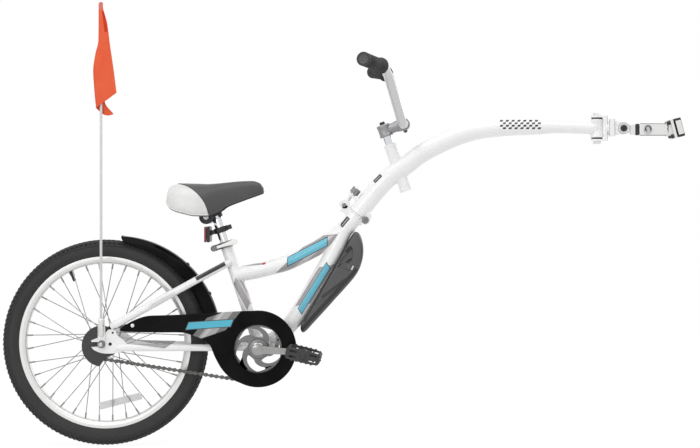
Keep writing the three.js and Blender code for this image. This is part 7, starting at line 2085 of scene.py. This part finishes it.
finished(
    "head_tube_sleeve", turned(head_rows, HEAD_FOOT, HEAD_UP, 64), FRAME_PAINT, BODY_OF["head_tube"], ("head_tube",),
)
boom_skin, barrel_skin = node_skin("boom_tube"), turned(barrel_rows, YAW, UP, 48)
for name, start, way, radius, other in (
    ("head_tube_above", HEAD_TOP, -HEAD_UP, 15.3, boom_skin),
    ("head_tube_below", HEAD_FOOT, HEAD_UP, 15.3, boom_skin),
    ("boom_to_yaw_barrel", YAW - AHEAD * 40, AHEAD, 15.2, barrel_skin),
):
    ring = meeting_line(start, way, radius, other, 60)
    if len(ring) > 50:
        bead(f"weld_{name}", ring, FRAME_PAINT, BODY_OF["boom_tube"], 1.5)

HINGE = neck_point(8, 24.6)
pan_rows = [
    (0, 16.6), (8.3, 16.6), (8.5, 17.2), (8.5, 20.4), (7.4, 22.2), (4.4, 22.8), (3.4, 22.6), (3.0, 20.6), (0, 20.6),
]
hinge_parts = [turned(pan_rows, HINGE, -ACROSS, 48), across_rod(HINGE, -17, 17, 4.5, 0.2, 32)]
hinge_nut = hex_head(8.5, 6.0, 0.7)
finished("hinge_bolt_round_head", together(*hinge_parts), DARK_ZINC, BODY_OF["hinge_bolt"], ("hinge_bolt",))
in_places("hinge_bolt_nut", hinge_nut, [(HINGE + ACROSS * 16.7, AHEAD, ACROSS)], ZINC, BODY_OF["hinge_bolt"])

knob_seat = neck_point(35.3, -38)
lobes = []
for k in range(72):
    a = TURN * k / 72
    reach = 11.4 - 1.5 * abs(math.sin(3.5 * a)) ** 6
    lobes.append((reach * math.cos(a), reach * math.sin(a)))
knob_grip = placed(upright_slab(lobes, 3.4, 18.2), knob_seat, NECK_FRONT, NECK_UP)
knob_cap = turned([(0, 18), (8.6, 18), (8.2, 19.6), (6.4, 21.2), (3.0, 22), (0, 22)], knob_seat, NECK_UP, 40)
knob_foot = turned([(0, 0), (7.3, 0), (7.5, 0.6), (7.5, 2.4), (6.4, 3.4), (0, 3.6)], knob_seat, NECK_UP, 40)
knob_bolt = turned([(0, -22.5), *threaded(4.0, -22.4, 0.6), (0, 0.8)], knob_seat, NECK_UP, 28)
finished("latch_knob_grip", knob_grip, DARK_ZINC, BODY_OF["latch_knob"], ("latch_knob",), 1.2, 3)
finished("latch_knob_metal", together(knob_cap, knob_foot, knob_bolt), CHROME, BODY_OF["latch_knob"])

# ---------------------------------------------------------------------------------------------------------------
# Hitch: yoke, bolts, tongue, arm, pull pin and seatpost clamp


def hitch_box(x_low, x_high, y_half, z_low, z_high, c, origin=YAW):
    """A block with its corners cut by c in its side view."""
    flat = [
        (x_low + c, z_low), (x_high - c, z_low), (x_high, z_low + c), (x_high, z_high - c), (x_high - c, z_high),
        (x_low + c, z_high), (x_low, z_high - c), (x_low, z_low + c),
    ]
    return placed(slab(flat, -y_half, y_half), origin, AHEAD, UP)


yoke = []
for low, high in ((26.0, 30.8), (-30.8, -26.0)):
    plan = [(15.9 * math.cos(a), 15.9 * math.sin(a)) for a in (math.pi / 2 + math.pi * k / 20 for k in range(21))]
    plan += [(23.8, -14.8), (23.8, 14.8)]
    yoke.append(placed(upright_slab(plan, low, high, [circle((0, 0), 6.4, 28)]), YAW, AHEAD, UP))
yoke.append(hitch_box(19.2, 23.8, 14.8, -30.7, 30.7, 1.6))
yoke.append(
    turned([(0, 19.4), (16.2, 19.4), (17, 20.4), (17, 27.6), (18.6, 29.2), (18.6, 30), (0, 30)], YAW, AHEAD, 56)
)
yoke.append(hitch_box(29.1, 41.3, 18.8, -19.8, 22.3, 0.8))
PITCH_AT = YAW + AHEAD * 63.3
cheek_round = [
    (63.3 + 13.9 * math.cos(a), 13.9 * math.sin(a)) for a in (-math.pi / 2 + math.pi * k / 20 for k in range(21))
]
cheek_flat = [(31, -17), (44, -16.4), *cheek_round, (44, 16.4), (31, 17)]
for side in (-1, 1):
    low, high = sorted((side * 9.1, side * 15.9))
    yoke.append(placed(slab(cheek_flat, low, high, [circle((63.3, 0), 5.5, 28)]), YAW, AHEAD, UP))
finished("forged_hitch_yoke", together(*yoke), FRAME_PAINT, BODY_OF["hitch_yoke"], ("hitch_yoke",), 1.0, 3)
BOSS_ROWS = [
    (6.2, 15.6), (13.6, 15.6), (13.9, 16.2), (12.4, 16.6), (11.6, 16.2), (10.6, 16.2), (9.8, 16.4), (6.2, 16.2),
]
boss_rings = [turned(BOSS_ROWS, PITCH_AT, ACROSS * side, 56) for side in (-1, 1)]
finished("pitch_boss_rings", together(*boss_rings), ALLOY, BODY_OF["hitch_yoke"])
# Painted shade: thin dark rings on the sloping faces of each boss's ridges, standing in for their shade
for label, ring_r, thick in (("outer", 13.4, 0.55), ("inner", 9.4, 0.45)):
    for side in (-1, 1):
        ring = [
            PITCH_AT + Vector((ring_r * math.cos(a), side * 16.3, ring_r * math.sin(a)))
            for a in (TURN * k / 60 for k in range(60))
        ]
        bead(f"pitch_boss_{label}_groove_{SIDE_NAMES[side]}", ring, DARK_ZINC, BODY_OF["hitch_yoke"], thick, 20.0, 0.0)
# Painted shade: thin dark lines along the yoke's edges, standing in for the shade where its faces meet
for label, x, low, high in (("rear", 29.0, -19.4, 21.8), ("front", 41.2, -19.4, 21.8), ("wall", 23.9, -29.6, 29.6)):
    edge_shade_points = [YAW + Vector((x, -18.7 if x > 25 else -14.7, z)) for z in (low, (low + high) / 2, high)]
    bead(f"yoke_{label}_edge_seam", edge_shade_points, DARK_ZINC, BODY_OF["hitch_yoke"], 0.4, 20.0, 0.0, False)

bolt_rod = rod(YAW - UP * 37.6, YAW + UP * 37.6, 5.9, 0.9, 32)
WASHER_ROWS = [(6.2, 22.6), (13.6, 22.6), (14, 23.0), (14, 25.1), (13.6, 25.6), (6.2, 25.6)]
thick_washers = [turned(WASHER_ROWS, YAW, UP * side, 48) for side in (-1, 1)]
finished("yaw_bolt_and_washers", together(bolt_rod, *thick_washers), BLACK_STEEL, BODY_OF["yaw_bolt"], ("yaw_bolt",))
in_places(
    "yaw_bolt_hexes", hex_head(10, 6.8, 0.9), [(YAW + UP * side * 31.1, AHEAD, UP * side) for side in (-1, 1)], ALLOY,
    BODY_OF["yaw_bolt"],
)
pitch_rows = [
    (0, 16.3), (7.8, 16.3), (8, 16.8), (8, 18.6), (6.8, 20.6), (4.2, 21.3), (3.2, 21.2), (2.9, 19.2), (0, 19.2),
]
finished(
    "pitch_bolt_round_head",
    together(turned(pitch_rows, PITCH_AT, -ACROSS, 44), across_rod(PITCH_AT, -17, 20, 4.9, 0.6, 28)), BLACK_STEEL,
    BODY_OF["pitch_bolt"], ("pitch_bolt",),
)
in_places(
    "pitch_bolt_nut", hex_head(8, 5.0, 0.7), [(PITCH_AT + ACROSS * 16.4, AHEAD, ACROSS)], ZINC, BODY_OF["pitch_bolt"],
)

tongue_neck = []
eye = circle((-123.5, 0.5), 12.4, 40, math.radians(40), math.radians(320))
neck_flat = [*eye, (-108, -12.0), (-96, -12.0), (-96, 10.4), (-108, 10.4)]
tongue_neck.append(placed(slab(neck_flat, -8.6, 8.6, [circle((-123.5, 0.5), 5.4, 28)]), ORIGIN, AHEAD, UP))
tongue_neck.append(hitch_box(-106.4, -95.2, 13.4, -15.4, 10.4, 2.6, ORIGIN))
tongue_neck.append(hitch_box(-80.8, -40.2, 11.6, -13.6, 8.6, 1.5, ORIGIN))
finished("hitch_tongue_neck", together(*tongue_neck), ALLOY, BODY_OF["hitch_tongue"], ("hitch_tongue",), 1.0, 3)
band = hitch_box(-94.7, -86.5, 14.4, -16.4, 11.4, 2.2, ORIGIN)
finished("tongue_black_band", band, BLACK_STEEL, BODY_OF["hitch_tongue"], (), 0.8, 2)

arm_flat = [(-85.8, -16.9), (-14.2, -16.9), (-14.2, 11.9), (-85.8, 11.9)]
arm_tube = placed(slab(arm_flat, -14.9, 14.9, [circle((-65.7, -4), 4.6, 28)]), ORIGIN, AHEAD, UP)
finished("coupler_arm_bar", arm_tube, ALLOY, BODY_OF["coupler_arm"], ("coupler_arm",), 3.0, 4)
# Painted shade: thin dark lines along the arm's rounded upper and lower edges
for name, height in (("upper", 11.2), ("lower", -16.2)):
    for side in (-1, 1):
        arm_edge_shade_points = [Vector((x, side * 14.2, height)) for x in (-84, -60, -40, -20)]
        bead(f"arm_{name}_edge_{SIDE_NAMES[side]}", arm_edge_shade_points, DARK_ZINC, BODY_OF["coupler_arm"], 0.95, 8.0, 0.0, False)
weld_places = [(-15.2, z) for z in (-15, -8, 0, 8)] + [(y, 12.2) for y in (-12, -4, 4, 12)]
weld_places += [(15.2, z) for z in (8, 0, -8, -15)] + [(y, -17.2) for y in (12, 4, -4, -12)]
weld_ring = [Vector((-20.5, y, z)) for y, z in weld_places]
bead("weld_arm_to_jaw", weld_ring, ALLOY, BODY_OF["coupler_arm"], 1.5, 3.0, 0.12)

CLAMP_UP = leaning(15)
CLAMP_FRONT = ahead_of(CLAMP_UP)
SHIM_BORE = 15.35


def half_clamp(near, far, half_wide, half_tall, corner=4.0):
    """A block of the seatpost clamp, in plan, with its half of the bore left open."""
    turn = math.asin(abs(near) / SHIM_BORE)
    sign = 1 if far > 0 else -1
    angles = [turn + (math.pi - 2 * turn) * k / 24 for k in range(25)]
    arc = [(sign * SHIM_BORE * math.sin(a), SHIM_BORE * math.cos(a)) for a in angles]
    plan = [
        (near, half_wide), *arc, (near, -half_wide), (far - sign * corner, -half_wide), (far, -half_wide + corner),
        (far, half_wide - corner), (far - sign * corner, half_wide),
    ]
    return placed(upright_slab(plan, -half_tall, half_tall), ORIGIN, CLAMP_FRONT, CLAMP_UP)


jaw = half_clamp(-1.3, -20.8, 14.9, 13.9, 2.0)
flange = half_clamp(-1.3, -8.1, 27.8, 22.8, 1.0)
finished("clamp_jaw", together(jaw, flange), ALLOY, BODY_OF["coupler_arm"], (), 1.0, 3)
cap_block = half_clamp(1.3, 18.3, 27.8, 22.8)
finished("clamp_cap_block", cap_block, BLACK_STEEL, BODY_OF["clamp_cap"], ("clamp_cap",), 2.2, 4)
PAD_FLAT = [(3.4, -17), (15.4, -17), (16.6, -15), (16.6, 15), (15.4, 17), (3.4, 17)]
cap_plates = [
    placed(slab(PAD_FLAT, *sorted((side * 27.2, side * 28.4))), ORIGIN, CLAMP_FRONT, CLAMP_UP) for side in (-1, 1)
]
finished("clamp_cap_side_pads", together(*cap_plates), ALLOY, BODY_OF["clamp_cap"], (), 0.5, 2)
cap_bolts, bolt_shafts = [], []
for side in (-1, 1):
    for level in (-17, 17):
        at = CLAMP_FRONT * -8.6 + ACROSS * side * 21.5 + CLAMP_UP * level
        cap_bolts.append((at, ACROSS, -CLAMP_FRONT))
        bolt_shafts.append(rod(at + CLAMP_FRONT * -9, at + CLAMP_FRONT * 22, 2.9, 0.4, 20))
finished("clamp_bolt_shafts", together(*bolt_shafts), BLACK_STEEL, BODY_OF["clamp_cap"])
socket_head = turned(
    [(0, 0), (4.9, 0), (4.9, 5.6), (4.4, 6.4), (2.9, 6.6), (2.6, 6.4), (2.5, 3.6), (0, 3.6)], ORIGIN, UP, 32,
)
in_places("clamp_socket_bolts", socket_head, cap_bolts, BLACK_STEEL, BODY_OF["clamp_cap"])
shim_rows = [(13.65, -21.4), (15.0, -21.4), (15.0, 21.4), (13.65, 21.4)]
finished(
    "clamp_shim_ring", turned(shim_rows, ORIGIN, CLAMP_UP, 64), CHARCOAL, BODY_OF["clamp_shim"], ("clamp_shim",),
    0.25, 2,
)

PIN_AT = Vector((-65.7, 0, -4))
pin_rows = [
    (0, -21), (3.2, -21), (4, -20), (4, 15.2), (9.6, 15.2), (10, 15.8), (10, 18.6), (9.4, 19.3), (5.2, 19.6),
    (5, 20.4), (4.6, 29.8), (3.4, 31.3), (0, 31.3),
]
finished("pull_pin_turned", turned(pin_rows, PIN_AT, -ACROSS, 44), ZINC, BODY_OF["coupler_pin"], ("coupler_pin",))
ring_points = [
    PIN_AT + Vector((7.2 * math.cos(a), -24.6 - 0.8 * math.sin(a), 3.4 + 7.2 * math.sin(a)))
    for a in (TURN * k / 48 for k in range(48))
]
bead("pull_pin_ring", ring_points, BLACK_STEEL, BODY_OF["coupler_pin"], 1.15, 20.0, 0.0)

# ---------------------------------------------------------------------------------------------------------------
# Quill stem, handlebar and grips

FORGED_GREY = finish(
    "forged_grey_alloy", (0.36, 0.36, 0.37, 1), (0.24, 0.24, 0.25, 1), (30.0, 900.0, 0.6), (0.30, 0.44), metal=0.8,
    marks=(30.0, 10.0, 0.15), grain=(700.0, 0.7, 0.12, 0.15),
)


def stem_point(up, ahead=0.0):
    return HEAD_TOP + HEAD_UP * up + HEAD_FRONT * ahead


BAR_CENTRE = stem_point(34, 47.7)
quill = turned([(5, -61.8), (10.6, -61.8), (11.1, -61.0), (11.1, 24), (5, 24)], HEAD_TOP, HEAD_UP, 64)
lug_bolt = turned(
    [(0, 10), (4.8, 10), (5.2, 10.8), (5.0, 12.4), (3.4, 13.4), (0, 13.6)], neck_point(4, -38), -ACROSS, 36,
)
finished("joint_lug_bolt", lug_bolt, DARK_ZINC, BODY_OF["neck"])
finished("chrome_quill", quill, CHROME, BODY_OF["quill_stem"])
stem_rows = [
    (5, 20.2), (15.2, 20.2), (16.4, 21.2), (16.4, 24.5), (15.7, 25.3), (15.7, 43.4), (16.4, 44.2), (16.4, 47.8),
    (15.2, 49.6), (13.2, 50), (5, 50),
]
stem_parts = [turned(stem_rows, HEAD_TOP, HEAD_UP, 64)]
stem_line = smooth_line(
    [stem_point(33.5, 3), stem_point(34.5, 16), stem_point(35, 30), BAR_CENTRE - HEAD_FRONT * 6], 30,
)
stem_parts.append(tube(stem_line, lambda s: 13.2 - 1.6 * math.sin(math.pi * min(1, s * 1.2)) + 1.2 * s, 48))
clamp_rows = [(11.9, -19.8), (14.8, -19.8), (15.4, -19.0), (15.4, 19.0), (14.8, 19.8), (11.9, 19.8)]
stem_parts.append(turned(clamp_rows, BAR_CENTRE, ACROSS, 64))
finished(
    "forged_quill_stem", together(*stem_parts), FORGED_GREY, BODY_OF["quill_stem"], ("quill_stem",), smooth_angle=42,
)
lug_flat = eased_outline([(-4, -8), (6, -8), (6, 3), (-4, 3)], 1)
lug_at = BAR_CENTRE - HEAD_UP * 13 + HEAD_FRONT * -2
slit_lugs = [
    placed(slab(lug_flat, *sorted((side * 1.2, side * 8.5))), lug_at, HEAD_FRONT, HEAD_UP) for side in (-1, 1)
]
finished("stem_clamp_lugs", together(*slit_lugs), FORGED_GREY, BODY_OF["quill_stem"], (), 0.9, 3)
clamp_screw_line = across_rod(BAR_CENTRE - HEAD_UP * 16 + HEAD_FRONT * -1, -11.4, 11.4, 3.4, 0.7, 24)
finished("stem_clamp_screw", clamp_screw_line, BLACK_STEEL, BODY_OF["quill_stem"])
wedge = turned([(0, -86), (9.8, -86), (11, -84.6), (11, -62.4), (0, -62.4)], HEAD_TOP, HEAD_UP, 40)
stem_screw = turned(
    [(0, 49), (6.5, 50.3), (6.5, 55.6), (5.6, 57), (3.6, 57), (3.2, 53.8), (0, 53.8)], HEAD_TOP, HEAD_UP, 36,
)
finished(
    "stem_bolt_and_wedge", together(wedge, stem_screw, rod(stem_point(-66), stem_point(51), 4, 0.3, 24)), BLACK_STEEL,
    BODY_OF["stem_bolt"], ("stem_bolt",),
)

# The right or left half of the bar's line: across, back from its clamp, and up
BAR_HALF = [
    (0, 0, 0), (45, 0, 0), (60, 2, 3), (82, 12, 36), (125, 29, 96), (140, 34, 113), (156, 39.5, 125),
    (190, 48.5, 131), (300, 84, 141),
]
# A lighter grey rubber for the grips' end caps
LIGHT_CAP_RUBBER = finish(
    "light_grey_cap_rubber", grey(0.13), grey(0.08), (60.0, 500.0, 0.6), (0.50, 0.62), grain=(1600.0, 0.5, 0.35, 0.12),
)


def bar_spot(spot, side):
    across, back, up = spot
    return Vector((BAR_CENTRE.x - back, side * across, BAR_CENTRE.z + up))


bar_points = []
for side in (-1, 1):
    start, tip = Vector(BAR_HALF[-2]), Vector(BAR_HALF[-1])
    half_bar = [bar_spot(p, side) for p in BAR_HALF[1:-1]]
    half_bar += [bar_spot(start.lerp(tip, k / 3), side) for k in (1, 2)] + [bar_spot(tip, side)]
    bar_points += half_bar[::-1] + [BAR_CENTRE] if side < 0 else half_bar
swept(
    "riser_handlebar", smooth_line(bar_points, 190), lambda s: 11.1, BAR_SILVER, BODY_OF["handlebar"], ("handlebar",),
    40,
)
for side in (-1, 1):
    start, tip = bar_spot(BAR_HALF[-2], side), bar_spot(BAR_HALF[-1], side)
    way = (tip - start).normalized()
    long = (tip - start).length
    name = f"grip_{SIDE_NAMES[side]}"
    grip_rows = [
        (11.7, 0), (18.6, 0), (19.4, 0.8), (19.4, 3.2), (18.4, 4.1), (16.2, 5.0), (14.9, 7.5), (14.9, 20), (15.4, 40),
        (15.4, 66), (14.9, 90), (15.0, long - 6), (16.2, long - 3.5), (16.3, long + 1.6), (15.2, long + 2.8),
        (11, long + 2.9), (11.7, long + 2.0),
    ]
    cap_rows = [
        (0, 0.3), (11.6, 0.3), (11.6, 2.2), (10.4, 2.4), (9.6, 1.8), (4.8, 1.8), (4.2, 2.6), (3.2, 2.6), (2.8, 0.9),
        (0, 0.9),
    ]
    cap = turned([(r, long + z) for r, z in cap_rows], start, way, 48)
    grip = turned(grip_rows, start, way, 56)
    finished(f"{name}_sleeve", grip, GRIP_RUBBER, BODY_OF[name], (name,), smooth_angle=45)
    finished(f"{name}_end_cap", cap, LIGHT_CAP_RUBBER, BODY_OF[name], (), smooth_angle=45)
    line = bare_line(name, [start + way * 11, start + way * (long - 8)])
    ridge_sizes = {"Ridge Count": 26, "Radius": 14.9 * MM, "Ridge Radius": 1.15 * MM}
    grown(f"{name}_ridges", line, [(RIDGES, ridge_sizes)], GRIP_RUBBER, BODY_OF[name], (), 60)
    x, y, _ = axes_for(way)
    end = start + way * (long + 1.6)
    fins = []
    for k in range(18):
        a = TURN * k / 18
        axis = x * math.cos(a) + y * math.sin(a)
        fins.append(rod(end + axis * 4.6, end + axis * 9.8, 0.5, 0.1, 8))
    finished(f"{name}_end_fins", together(*fins), GRIP_RUBBER, BODY_OF[name])
